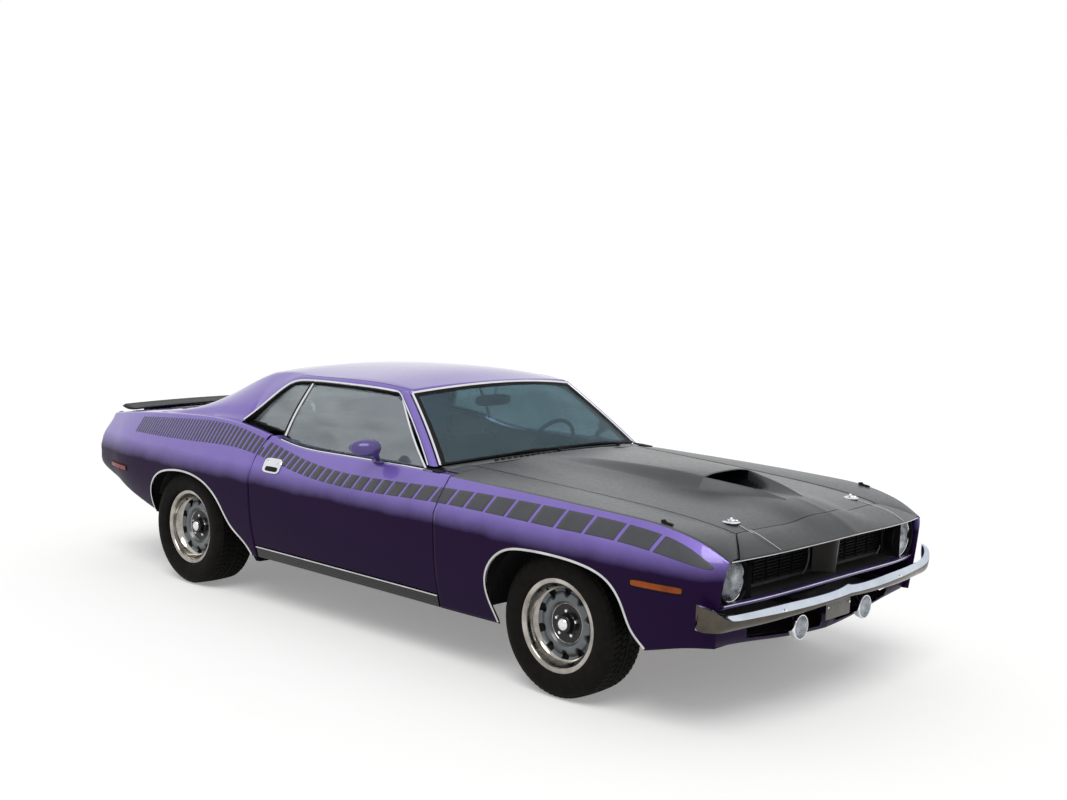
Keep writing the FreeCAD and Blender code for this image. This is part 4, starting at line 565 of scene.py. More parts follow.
class Shell:
    """Collects point grids in millimetres and makes one mesh object of them in metres."""

    def __init__(self, name: str, left: bool = False) -> None:
        """Start an empty shell.

        Args:
            name: the object's name.
            left: whether the whole shell is mirrored to the left-hand side.
        """
        self.name, self.left, self.count = name, left, 0
        self.points: list[Array] = []
        self.faces: list[Array] = []
        self.finish_of: list[Array] = []
        self.finishes: list[AnyFinish] = []

    def _index(self, finish: AnyFinish) -> int:
        """Find a finish in the material slots, or add it.

        Args:
            finish: to look for.

        Returns:
            Its place.
        """
        if finish not in self.finishes:
            self.finishes.append(finish)
        return self.finishes.index(finish)

    def grid(self, p: Array, finish: AnyFinish, keep: Optional[Array] = None, around: bool = False,
             inside: Optional[Sequence[float]] = None, both: bool = False,
             second: Optional[tuple[AnyFinish, Array]] = None) -> "Shell":
        """Add the quads of a grid, turned to face away from a point.

        Args:
            p: (n, m, 3) points.
            finish: of its faces.
            keep: (n-1, m-1) mask of the cells to make.
            around: whether the last column joins the first.
            inside: the point to face away from, or None for the grid's middle.
            both: whether its mirror image is added too.
            second: another finish and the mask of its cells.

        Returns:
            The shell itself.
        """
        n, m = p.shape[:2]
        index = np.arange(n * m).reshape(n, m)
        if around:
            index = np.hstack([index, index[:, :1]])
        quads = np.stack([index[:-1, :-1], index[1:, :-1], index[1:, 1:], index[:-1, 1:]], axis=-1)
        slots = np.full(quads.shape[:2], self._index(finish))
        if second is not None:
            slots[np.broadcast_to(second[1], slots.shape)] = self._index(second[0])
        chosen = np.ones(slots.shape, bool) if keep is None else keep
        quads, slots = quads[chosen], slots[chosen]
        flat = p.reshape(-1, 3)
        corner = flat[quads]
        normal = np.cross(corner[:, 2] - corner[:, 0], corner[:, 3] - corner[:, 1])
        origin = flat.mean(axis=0) if inside is None else np.array(inside, float)
        if (normal * (corner.mean(axis=1) - origin)).sum() < 0.0:
            quads = quads[:, ::-1]
        self._add(flat, quads, slots)
        if both:
            self._add(flat * (1, -1, 1), quads[:, ::-1], slots)
        return self

    def _add(self, points: Array, faces: Array, slots: Array) -> None:
        """Keep points and faces.

        Args:
            points: (n, 3).
            faces: (m, 4) numbers of their corners.
            slots: (m,) numbers of their finishes.
        """
        self.points.append(points)
        self.faces.append(faces + self.count)
        self.finish_of.append(slots)
        self.count += len(points)

    def rings(self, p: Array, finish: AnyFinish, both: bool = False, caps: bool = True) -> "Shell":
        """Add a closed tube through rings of points, with flat end caps.

        Args:
            p: (n, m, 3) rings, each a loop.
            finish: of its faces.
            both: whether its mirror image is added too.
            caps: whether its ends are closed.

        Returns:
            The shell itself.
        """
        return self.grid(capped(p) if caps else p, finish, around=True, both=both)

    def turned(self, profile: Array, axis: str, centre: Sequence[float], finish: AnyFinish, count: int = 48,
               both: bool = False) -> "Shell":
        """Add a turned form: the profile's (radius, distance) points go round an axis.

        Args:
            profile: (k, 2) points; a radius of 0 closes an end.
            axis: "x", "y" or "z".
            centre: where distance 0 lies.
            finish: of its faces.
            count: points round the axis.
            both: whether its mirror image is added too.

        Returns:
            The shell itself.
        """
        profile = np.asarray(profile, float)
        cos, sin = ring(1.0, count)
        along = np.broadcast_to(profile[:, 1:2], (len(profile), count))
        a, b = profile[:, :1] * cos, profile[:, :1] * sin
        order = {"x": (along, a, b), "y": (b, along, a), "z": (a, b, along)}[axis]
        return self.grid(np.stack(order, axis=-1) + np.array(centre, float), finish, around=True, both=both)

    def sweep(self, path: Array, section: Array, finish: AnyFinish, up: Sequence[float] = (0, 0, 1),
              both: bool = False, closed: bool = False) -> "Shell":
        """Add a bar: the section's (across, up) points go along a path.

        Args:
            path: (n, 3) points.
            section: (k, 2) points of a closed loop.
            finish: of its faces.
            up: direction that the section's second axis leans to.
            both: whether its mirror image is added too.
            closed: whether the path is a loop.

        Returns:
            The shell itself.
        """
        path = np.asarray(path, float)
        if closed:
            path = np.vstack([path[-1:], path, path[:2]])
        along = np.gradient(path, axis=0)
        if closed:
            path, along = path[1:-1], along[1:-1]
        along /= np.linalg.norm(along, axis=1, keepdims=True)
        across = np.cross(along, np.broadcast_to(np.array(up, float), along.shape))
        across /= np.maximum(np.linalg.norm(across, axis=1, keepdims=True), 1e-9)
        lift = np.cross(across, along)
        section = np.asarray(section, float)
        p = path[:, None] + across[:, None] * section[:, :1] + lift[:, None] * section[:, 1:]
        return self.rings(p, finish, both=both, caps=not closed)

    def box(self, low: Sequence[float], high: Sequence[float], finish: AnyFinish, both: bool = False,
            soft: float = 0.0) -> "Shell":
        """Add a block between two corners, with its upright edges cut by soft.

        Args:
            low, high: opposite corners.
            finish: of its faces.
            both: whether its mirror image is added too.
            soft: length of the cut.

        Returns:
            The shell itself.
        """
        (x0, y0, z0), (x1, y1, z1) = low, high
        s = max(soft, 0.01)
        loop = np.array([(x0 + s, y0), (x1 - s, y0), (x1, y0 + s), (x1, y1 - s), (x1 - s, y1), (x0 + s, y1),
                         (x0, y1 - s), (x0, y0 + s)])
        shrink = np.array([1.0 - s / max(x1 - x0, 1e-6), 1.0 - s / max(y1 - y0, 1e-6)])
        middle = loop.mean(axis=0)
        small = middle + (loop - middle) * shrink
        levels = [(small, z0), (loop, z0 + s), (loop, z1 - s), (small, z1)]
        return self.rings(np.stack([xyz(l[:, 0], l[:, 1], z) for l, z in levels]), finish, both=both)

    def build(self, body: str, *nodes: str, slot: str = "", thick: float = 0.0,
              sharp: float = 35.0) -> bpy.types.Object:
        """Make the object and let it ride on a body.

        Args:
            body: the body's name.
            nodes: the CAD nodes that it stands for.
            slot: a material slot's name; not used.
            thick: sheet thickness inwards.
            sharp: angle in degrees above which an edge stays crisp.

        Returns:
            The new object.
        """
        points, faces = np.vstack(self.points) * MM, np.vstack(self.faces)
        if self.left:
            points, faces = points * (1, -1, 1), faces[:, ::-1]
        mesh = bpy.data.meshes.new(self.name)
        mesh.from_pydata(points, [], faces)
        mesh.polygons.foreach_set("material_index", np.concatenate(self.finish_of).astype(np.int32))
        work = bmesh.new()
        work.from_mesh(mesh)
        bmesh.ops.remove_doubles(work, verts=work.verts, dist=0.02 * MM)
        bmesh.ops.dissolve_degenerate(work, edges=work.edges, dist=0.02 * MM)
        work.to_mesh(mesh)
        work.free()
        mesh.polygons.foreach_set("use_smooth", np.ones(len(mesh.polygons), bool))
        mesh.set_sharp_from_angle(angle=math.radians(sharp))
        made = bpy.data.objects.new(self.name, mesh)
        bpy.context.scene.collection.objects.link(made)
        for finish in self.finishes:
            mesh.materials.append(finish.material())
        if thick:
            sheet = made.modifiers.new("sheet", "SOLIDIFY")
            sheet.thickness, sheet.offset = thick * MM, -1.0
        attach(made, body)
        if nodes:
            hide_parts(*nodes)
        LOG.info("%s: %d faces on %s", self.name, len(mesh.polygons), body)
        return made


def round_section(radius: float, count: int = 8) -> Array:
    """Loop of a round bar's section."""
    return np.stack(ring(radius, count), axis=-1)


def oval_section(wide: float, high: float, count: int = 16, power: float = 3.0) -> Array:
    """Loop of a rounded rectangle |a/wide|^p + |b/high|^p = 1."""
    return unit_loop(count, power, math.pi / count) * (wide, high)


# The body's own lines

FRONT_AXLE, REAR_AXLE, WHEEL_Z = 1441.0, -1302.0, 320.0
FRONT_TRACK, REAR_TRACK, FRONT_TYRE, REAR_TYRE = 1516.0, 1542.0, 235.0, 255.0
TAIL_X, NOSE_X = -2262.0, 2258.0
DOOR_FRONT, DOOR_REAR, DOOR_INNER = 716.0, -672.0, 752.0
GAP = 6.0
HOOD_REAR, HOOD_FRONT = (772.0, 664.0), (2230.0, 2143.0)
SCREEN_BASE, SCREEN_TOP = (706.0, 940.0), (246.0, 1240.0)
BASE_CORNER, TOP_CORNER = (563.0, 740.0, 894.0), (184.0, 588.0, 1204.0)
WINDOW_REAR, SAIL_REAR = -925.0, -1700.0
BACKLIGHT = (-985.0, -1606.0)
LIP_HALF, NOSE_HALF, HEADER_HALF, COWL_HALF = 784.0, 738.0, 578.0, 612.0
DOOR_LOW, SILL_LOW, SILL_TOP = 326.0, 259.0, 318.0
LID_HALF, SEAT_Y, PLATE_PITCH = 640.0, 392.0, 177.8
LAMP_Y, LAMP_Z, GRILLE_BACK = 700.0, 642.0, 2178.0
PARKING_LAMP, SPOILER_HALF, LUG_CIRCLE = (2290.0, 270.0, 390.0), 734.0, 57.15
SCOOP_X, RAMP_REAR, RAMP_END = 1694.0, 1490.0, 2062.0
PIN_X, PIN_Y = 2062.0, 490.0

CREASE_Y = Line((TAIL_X, 838), (-2050, 896), (-1700, 930), (-1302, 946), (-700, 938), (0, 926), (745, 926),
                (1441, 936), (1800, 929), (2000, 913), (2120, 890), (2200, 858), (NOSE_X, 816))
CREASE_Z = Line((TAIL_X, 668), (-1302, 684), (0, 700), (1441, 713), (1900, 696), (NOSE_X, 668))
PEAK_Y = Line((TAIL_X, 766), (-2000, 806), (-1302, 838), (-600, 830), (0, 828), (700, 822), (1400, 835),
              (1958, 828), (2158, 808), (NOSE_X, 794))
PEAK_Z = Line((TAIL_X, 862), (-2079, 886), (-1603, 932), (-1250, 953), (-930, 950), (-700, 922),
              (-450, 880), (-130, 872), (330, 878), (700, 877), (1400, 867), (1750, 857), (1958, 843),
              (2092, 816), (2180, 786), (NOSE_X, 746))
BOTTOM_Z = Line((TAIL_X, 546), (-2180, 516), (-2050, 472), (-1906, 430), (-1800, 402), (-1560, 345),
                (-1300, 300), (-900, 262), (-300, 258), (700, 258), (1400, 270), (1900, 316), (2050, 354),
                (2166, 377), (NOSE_X, 382))
TUCK = Line((TAIL_X, 40), (-1590, 64), (0, 62), (1441, 60), (NOSE_X, 30))
ROOF_Z = Line((-1700, 946), (-1606, 960), (-1480, 1022), (-1300, 1116), (-1140, 1186), (-985, 1232),
              (-650, 1276), (-250, 1293), (60, 1280), (246, 1246))
SHOULDER_Y = Line((-1700, 650), (-1606, 652), (-1480, 628), (-1300, 590), (-1160, 570), (-985, 556),
                  (-650, 566), (-250, 572), (60, 566), (246, 548))
SHOULDER_Z = Line((-1700, 938), (-1606, 948), (-1480, 984), (-1300, 1062), (-1160, 1130), (-985, 1198),
                  (-650, 1226), (-250, 1238), (60, 1234), (246, 1214))
RAIL_Y = Line((-925, 798), (-860, 752), (-780, 676), (-715, 633), (-660, 619), (-590, 615), (-500, 614),
              (-250, 614), (60, 606), (246, 590))
RAIL_Z = Line((-925, 956), (-860, 1020), (-780, 1118), (-720, 1172), (-670, 1190), (-600, 1198),
              (-500, 1203), (-250, 1208), (60, 1205), (246, 1190))
DECK_EDGE_Z = Line((TAIL_X, 866), (-2079, 892), (-1900, 912), (-1700, 936))
DECK_CENTRE_Z = Line((TAIL_X, 870), (-2079, 900), (-1900, 922), (-1700, 946))
HOOD_EDGE_Z = Line((664, 900), (1120, 884), (1435, 870), (1750, 853), (1985, 832), (2143, 806), (2230, 784))
HOOD_CENTRE_Z = Line((664, 942), (1100, 928), (1500, 916), (1800, 904), (2050, 884), (2143, 866),
                     (2230, 841))
LIP_TOP_X = Line((0, 2371), (300, 2354), (600, 2314), (LIP_HALF, 2269))
LIP_TOP_Z = Line((0, 773), (400, 762), (LIP_HALF, 743))
LIP_LOW_X = Line((0, 2367), (300, 2346), (600, 2292), (LIP_HALF, 2240))
LIP_LOW_Z = Line((0, 593), (300, 583), (600, 562), (LIP_HALF, 548))
FRONT_BUMPER_X = Line((0, 2371), (300, 2362), (600, 2336), (800, 2308), (900, 2276), (933, 2244))
FRONT_BUMPER_TOP = Line((0, 541), (60, 536), (430, 531), (700, 527), (790, 529), (860, 546), (905, 572),
                        (933, 582))
FRONT_BUMPER_CREASE = Line((0, 508), (60, 505), (430, 501), (700, 503), (790, 507), (860, 530), (905, 560),
                           (933, 572))
FRONT_BUMPER_LOW = Line((0, 487), (100, 482), (430, 469), (790, 462), (870, 464), (933, 472))
REAR_BUMPER_X = Line((0, -2371), (400, -2367), (600, -2352), (700, -2334), (740, -2318))
VALANCE_X = Line((0, 2268), (300, 2244), (600, 2222), (800, 2204))
VALANCE_LOW_Z = Line((0, 334), (200, 337), (600, 366), (800, 374))
TRIM_ROWS = 9
SHUT_X = Line((200, 0), (420, 0), (600, -2), (720, -6), (810, 0), (905, 31), (1000, 90))
FENDER_END = Line((382, 2224), (474, 2231), (548, 2240), (743, 2266))
GLASS_Y = Line((850, 800), (1020, 720), (1200, 596))
SCOOP_HEIGHT = Line((740, -2), (800, 2), (950, 12), (1150, 25), (1400, 39), (1600, 48.5), (SCOOP_X, 50))
SCOOP_WIDTH = Line((740, 208), (1000, 182), (1260, 174), (1450, 180), (SCOOP_X, 187))
STRIPE_PITCH = Line((-1880, 25), (-1615, 25), (-1406, 26), (-1212, 28), (-1030, 31), (-851, 36), (-762, 39),
                    (-656, 40), (-500, 45), (-407, 48))
FRONT_ARCH = soft_path([(1120, 225), (1098, 290), (1056, 400), (1054, 470), (1090, 545), (1184, 615),
                        (1300, 637), (1470, 641), (1633, 628), (1765, 581), (1825, 508), (1876, 390),
                        (1935, 320), (1990, 225)])
REAR_ARCH = soft_path([(-1648, 225), (-1652, 380), (-1646, 455), (-1612, 530), (-1540, 592), (-1405, 632),
                       (-1290, 642), (-1190, 636), (-1050, 594), (-953, 515), (-862, 390), (-759, 305),
                       (-715, 225)])
STRIPE_TOP = Line((-1889, 882), (-1292, 930), (-970, 936), (-351, 833), (694, 824), (1434, 835),
                  (1866, 821), (2159, 751), (2212, 722))
STRIPE_LOW = Line((-1810, 800), (-1212, 818), (-863, 826), (-292, 757), (738, 759), (1483, 759),
                  (1904, 747), (2174, 707))


def side_y(x: Array, z: Array) -> Array:
    """Body side's distance from the centre line.

    Below the crease it is crease - tuck (1 - share)^2.2; above, it runs straight to the peak with a bulge
    of 8 sin(pi t).

    Args:
        x, z: places on the side.

    Returns:
        Distances from the centre line.
    """
    low, crease, peak = BOTTOM_Z(x), CREASE_Z(x), PEAK_Z(x)
    share = np.clip((z - low) / (crease - low), -0.2, 1.0)
    t = np.clip((z - crease) / (peak - crease), 0.0, 1.3)
    under = CREASE_Y(x) - TUCK(x) * np.maximum(1.0 - share, 0.0) ** 2.2
    over = mix(CREASE_Y(x), PEAK_Y(x), t) + 8.0 * np.sin(math.pi * np.minimum(t, 1.0))
    return np.where(z < crease, under, over)


def side_point(x: Array, t: Array, bottom: Optional[float] = None) -> Array:
    """Point of the right body side.

    Args:
        x: places along the car.
        t: 0 to 1 up to the crease and 1 to 2 up to the peak.
        bottom: height of the lower edge, or None for the body's own.

    Returns:
        Points.
    """
    low = BOTTOM_Z(x) if bottom is None else np.full_like(np.asarray(x, float), bottom)
    z = np.where(t < 1.0, mix(low, CREASE_Z(x), np.minimum(t, 1.0)),
                 mix(CREASE_Z(x), PEAK_Z(x), np.maximum(t - 1.0, 0.0)))
    return xyz(x, -side_y(x, z), z)


def shelf_y(x: Array) -> Array:
    """Where the shelf inside the peak ends on the quarter panel."""
    return np.minimum(PEAK_Y(x) - 24.0, 806.0)


def hood_half(x: Array) -> Array:
    """Half width of the hood at x."""
    return mix(COWL_HALF, HEADER_HALF, (x - HOOD_REAR[1]) / (HOOD_FRONT[1] - HOOD_REAR[1]))


def hood_z(x: Array, v: Array) -> Array:
    """Height of the hood at a share v of its half width.

    The raised centre is a soft step 1 / (1 + exp(16 (v - s))), whose shoulder s runs from 0.56 at the
    rear to 0.30 at the front. A low ridge 4 exp(-|v| / 0.05) follows the centre line ahead of x 1980.

    Args:
        x: places along the car.
        v: shares of the half width.

    Returns:
        Heights.
    """
    shoulder = mix(0.56, 0.30, np.clip((x - 700.0) / 1100.0, 0.0, 1.0))
    rise = 1.0 / (1.0 + np.exp((v - shoulder) * 16.0))
    edge, crown = HOOD_EDGE_Z(x), HOOD_CENTRE_Z(x)
    ridge = 4.0 * np.exp(-np.abs(v) / 0.05) * smooth((x - 1980.0) / 120.0)
    return edge + (crown - edge) * (0.45 * (1.0 - v * v) + 0.55 * rise) + ridge


ROWS_LOW = 1.0 - (1.0 - np.linspace(0.0, 1.0, 34)[:-1]) ** 1.1
ROWS_HIGH = np.linspace(0.0, 1.0, 16)[1:-1]


def side_grid(x: Array, bottom: Optional[float] = None) -> Array:
    """Rows of the right body side from its lower edge to just under the peak, with a soft crease.

    Args:
        x: (n,) or (n, 1) places along the car.
        bottom: lower edge, or None for the body's own.

    Returns:
        (n, rows, 3) points.
    """
    x = np.asarray(x, float).reshape(-1, 1)
    low = side_point(x, ROWS_LOW * 0.985, bottom)
    before, crease, after = (side_point(x, np.array([[t]]), bottom)[:, 0] for t in (0.9, 1.0, 1.1))
    corner = fillet(before, crease, after, 5.0, 5)
    high = side_point(x, 1.0 + mix(0.06, 0.90, ROWS_HIGH), bottom)
    return np.concatenate([low, corner, high], axis=1)


def peak_rows(x: Array, after: Array, radius: float = 14.0) -> Array:
    """Soft edge over the peak from the side towards the point that follows."""
    before = side_point(x, np.full_like(x, 1.9))
    return fillet(before, side_point(x, np.full_like(x, 2.0)), after, radius, 7)


def warp_x(points: Array, start: Optional[Callable[[Array], Array]],
           end: Optional[Callable[[Array], Array]], make: Callable[[Array], Array]) -> Array:
    """Move the ends of a grid onto edges that depend on height.

    Args:
        points: grid made at even x.
        start, end: x of the edge as a function of z, or None to leave that end.
        make: gives the point grid of one row of x for each row of the grid.

    Returns:
        The grid with x stretched between the edges and the surface followed again.
    """
    x0, x1 = points[0, :, 0].copy(), points[-1, :, 0].copy()
    share = (points[:, 0, 0] - points[0, 0, 0]) / (points[-1, 0, 0] - points[0, 0, 0])
    out = points
    for _ in range(3):
        a = start(out[0, :, 2]) if start else x0
        b = end(out[-1, :, 2]) if end else x1
        xs = a[None] + (b - a)[None] * share[:, None]
        out = np.stack([make(xs[:, k])[:, k] for k in range(points.shape[1])], axis=1)
    return out


# Sub-assemblies


@dataclass
class FenderPair:
    """Front fenders: side, peak, top shelf, wheel arch and rolled nose edge."""

    step: float = 13.0
    thick: float = 5.0

    def section(self, x: Array) -> Array:
        """Rows of the right fender, from its lower edge over the peak to the hood gap.

        Inside the peak the shelf bows up by 4 sin(pi t) on its way to the gap.

        Args:
            x: places along the car.

        Returns:
            (n, rows, 3) points.
        """
        x = np.asarray(x, float)
        ahead = x > HOOD_FRONT[1]
        share = (x - HOOD_FRONT[1]) / (NOSE_X - HOOD_FRONT[1])
        seam = mix(HEADER_HALF, NOSE_HALF, (x - HOOD_FRONT[1] - GAP) / (2281.0 - HOOD_FRONT[1] - GAP)) + 0.8
        inner = np.where(ahead, np.maximum(seam, HEADER_HALF + 2.0), hood_half(x) + GAP)
        z_in = np.where(ahead, mix(HOOD_EDGE_Z(HOOD_FRONT[1]), PEAK_Z(NOSE_X) + 2.0, share)
                        + 24.0 * share * np.maximum(1.0 - share, 0.0), HOOD_EDGE_Z(x))
        edge = xyz(x, -inner, z_in)
        corner = peak_rows(x, edge)
        t = np.linspace(0.0, 1.0, 13)[1:, None, None]
        peak = corner[:, -1]
        shelf = peak + (edge - peak) * t + np.array([0, 0, 1.0]) * 4.0 * np.sin(math.pi * t)
        return np.concatenate([side_grid(x), corner, shelf.transpose(1, 0, 2)], axis=1)

    def build(self) -> None:
        """Make both fenders as one piece, black above the peak."""
        grid = self.section(span(DOOR_FRONT + GAP, NOSE_X, self.step))
        grid = warp_x(grid, None, lambda z: FENDER_END(np.minimum(z, 745.0)), self.section)
        last = grid[-1]
        roll = [(3.0, 4.0), (4.0, 9.0), (0.0, 14.0), (-10.0, 17.0), (-34.0, 18.0)]
        inward = np.clip((780.0 - last[:, 2]) / 60.0, 0.0, 1.0)[:, None]
        curl = [last + np.array([dx, dy, 0.0]) * inward
                + np.array([dx * 0.4, 0, -abs(dy) * 0.5]) * (1 - inward) for dx, dy in roll]
        grid = np.concatenate([grid, np.stack(curl)])
        grid, keep = trim(grid, FRONT_ARCH, lambda x, z: -side_y(x, z))
        top = np.zeros(keep.shape, bool)
        top[:, len(ROWS_LOW) + 5 + len(ROWS_HIGH) + 2:] = True
        shell = Shell("front_fender_panels")
        shell.grid(grid, PURPLE, keep, inside=(1500, 0, 500), both=True, second=(BLACK, top))
        shell.build("body", "front_fenders", thick=self.thick)


def tail_sweep(points: Array) -> Array:
    """Draw the quarter's rear corner back past the tail panel.

    The shift is S((-2080 - x) / 180) (44 S((840 - z) / 120) + 40 S((640 - z) / 100)), with S the smooth step.

    Args:
        points: places on the rear side.

    Returns:
        The shifted places.
    """
    swept = points.copy()
    x, z = points[..., 0], points[..., 2]
    shift = 44.0 * smooth((840.0 - z) / 120.0) + 40.0 * smooth((640.0 - z) / 100.0)
    swept[..., 0] -= shift * smooth((-2080.0 - x) / 180.0)
    return swept


@dataclass
class UpperShell:
    """Quarter panels, sails, roof and deck strips as one skin."""

    step: float = 14.0
    thick: float = 6.0
    rows: int = 12

    def low(self, x: Array) -> Array:
        """Rows of the right quarter from its lower edge over the peak to the shelf's end.

        Args:
            x: places along the car.

        Returns:
            (n, rows, 3) points.
        """
        x = np.asarray(x, float)
        shelf = xyz(x, -shelf_y(x), PEAK_Z(x) + 2.0)
        return np.concatenate([side_grid(x), peak_rows(x, shelf, 10.0), shelf[:, None]], axis=1)

    def foot(self, x: Array) -> Array:
        """Where the roof's side stands: the window rail, or the shelf behind the window."""
        sail = x <= WINDOW_REAR + 0.1
        return xyz(x, -np.where(sail, shelf_y(x), RAIL_Y(x)), np.where(sail, PEAK_Z(x) + 2.0, RAIL_Z(x)))

    def shoulder(self, x: Array) -> Array:
        """Corner between the roof's side and its top."""
        return xyz(x, -SHOULDER_Y(x), SHOULDER_Z(x))

    def over(self, x: Array, v: Array) -> Array:
        """Point of the roof's top at a share v of the shoulder: crown - (crown - shoulder) v^2."""
        return xyz(x, -v * SHOULDER_Y(x), mix(ROOF_Z(x), SHOULDER_Z(x), v**2))

    def side(self, x: Array) -> Array:
        """Rows up the sail or rail to the shoulder, then over the roof to the centre.

        The side bows out by 7 sin(pi t). The sail's foot is hollowed by 26 exp(-((t - 0.12) / 0.12)^2),
        which fades towards the rear.

        Args:
            x: places along the car.

        Returns:
            (n, rows, 3) points.
        """
        x = np.asarray(x, float)
        foot, shoulder = self.foot(x), self.shoulder(x)
        t = np.linspace(0.0, 1.0, self.rows)[:-1, None, None]
        bow = 7.0 * np.sin(math.pi * t) * np.array([0, -0.7, 0.7])
        hollow = -26.0 * np.exp(-(((t - 0.12) / 0.12) ** 2)) * (x < WINDOW_REAR + 40)[None, :, None]
        fade = smooth((x + 1690.0) / 260.0)[None, :, None]
        up = foot + (shoulder - foot) * t + bow + hollow * fade * np.array([0, -0.3, 0.7]) * (t > 0)
        corner = fillet(up[-1], shoulder, self.over(x, 0.9 + 0 * x), 16.0, 5)
        v = np.array([0.955, 0.93, 0.9, 0.84, 0.76, 0.66, 0.54, 0.42, 0.28, 0.14, 0.0])
        top = self.over(x[:, None], v[None])
        return np.concatenate([up.transpose(1, 0, 2), corner, top], axis=1)

    def build(self) -> None:
        """Make the skin with its arch, backlight and windscreen edges."""
        shell = Shell("upper_body_shell")
        centre = (-1300, 0, 700)
        front = self.low(span(-675.0, WINDOW_REAR, self.step)[::-1])
        front = warp_x(front[::-1], lambda z: DOOR_REAR - GAP + SHUT_X(z), None, self.low)
        middle = self.low(span(WINDOW_REAR, SAIL_REAR, self.step))
        rear = self.low(span(SAIL_REAR, TAIL_X, self.step))
        curl = rear[-1] + table((-3, 5, 0), (-4, 12, 0), (2, 18, 0), (14, 20, 0))[:, None]
        low = np.concatenate([tail_sweep(np.concatenate([front, middle[1:], rear[1:], curl[:3]])),
                              curl[3:]])
        low, keep = trim(low, REAR_ARCH, lambda x, z: -side_y(x, z))
        shell.grid(low, PURPLE, keep, inside=centre, both=True)
        self.cabin(shell)
        strip = self.deck_strip(span(SAIL_REAR, TAIL_X, self.step))
        shell.grid(strip, PURPLE, inside=centre, both=True)
        shell.build("body", "quarter_panels", "roof_shell", thick=self.thick, sharp=50.0)

    def deck_strip(self, x: Array) -> Array:
        """Strip between the quarter's shelf and the trunk lid, crowned by 3 sin(pi t).

        Args:
            x: places along the car.

        Returns:
            (n, rows, 3) points.
        """
        outer = xyz(x, -shelf_y(x), PEAK_Z(x) + 2.0)
        inner = xyz(x, -(LID_HALF + GAP), DECK_EDGE_Z(x))
        t = np.linspace(0.0, 1.0, 9)[:, None, None]
        strip = outer + (inner - outer) * t + np.array([0, 0, 3.0]) * np.sin(math.pi * t)
        drop = inner + np.array([0, 3.0, -10.0])
        return np.concatenate([strip.transpose(1, 0, 2), drop[:, None]], axis=1)

    def cabin(self, shell: Shell) -> None:
        """Add the roof, its sails and the panel under the backlight.

        Args:
            shell: takes the grids.
        """
        x = np.concatenate([span(SAIL_REAR, BACKLIGHT[1], 12.0)[:-1],
                            span(BACKLIGHT[1], BACKLIGHT[0], 14.0)[:-1],
                            span(BACKLIGHT[0], WINDOW_REAR, 12.0)])
        sail = self.side(x)
        rows = self.rows - 1 + 5
        open_at = (x[:-1] >= BACKLIGHT[1] - 0.1) & (x[1:] <= BACKLIGHT[0] + 0.1)
        keep = np.ones((len(x) - 1, sail.shape[1] - 1), bool)
        keep[open_at, rows:] = False
        shell.grid(sail, PURPLE, keep, inside=(-1300, 0, 700), both=True)
        ahead = span(WINDOW_REAR, 60.0, self.step)
        shell.grid(self.side(ahead), PURPLE, inside=(-400, 0, 900), both=True)
        nose = self.side(span(60.0, 244.0, self.step))
        share = (nose[:, 0, 0] - 60.0) / 184.0
        back = mix(SCREEN_TOP[0], TOP_CORNER[0], (nose[-1, :, 1] / TOP_CORNER[1]) ** 2) - 2.0
        xs = 60.0 + (back - 60.0)[None] * share[:, None]
        nose = np.stack([self.side(xs[:, k])[:, k] for k in range(nose.shape[1])], axis=1)
        tuck = nose[-1] + np.array([5.0, 0, -8.0])
        shell.grid(np.concatenate([nose, tuck[None]]), PURPLE, inside=(0, 0, 900), both=True)
        self.pillars(shell)

    def pillars(self, shell: Shell) -> None:
        """Add the windscreen pillars as rounded bars from the cowl to the roof.

        Args:
            shell: takes the grids.
        """
        t = np.linspace(0.0, 1.02, 24)
        bow = 12.0 * (1.0 - (2.0 * t - 1.0) ** 2)
        core = xyz(mix(BASE_CORNER[0], TOP_CORNER[0], t) + bow - 24.0,
                   -(mix(BASE_CORNER[1], TOP_CORNER[1], t) + 19.0), mix(BASE_CORNER[2], TOP_CORNER[2], t))
        loop = oval_section(23.0, 15.0, 20, 3.2)
        rings = core[:, None] + np.stack([loop[:, 0], loop[:, 1], np.zeros(len(loop))], axis=-1)
        shell.rings(rings, PURPLE, both=True)


@dataclass
class Sided:
    """A sub-assembly that comes in a right-hand and a left-hand copy."""

    left: bool = False

    @property
    def side(self) -> str:
        """Name of its side."""
        return "left" if self.left else "right"


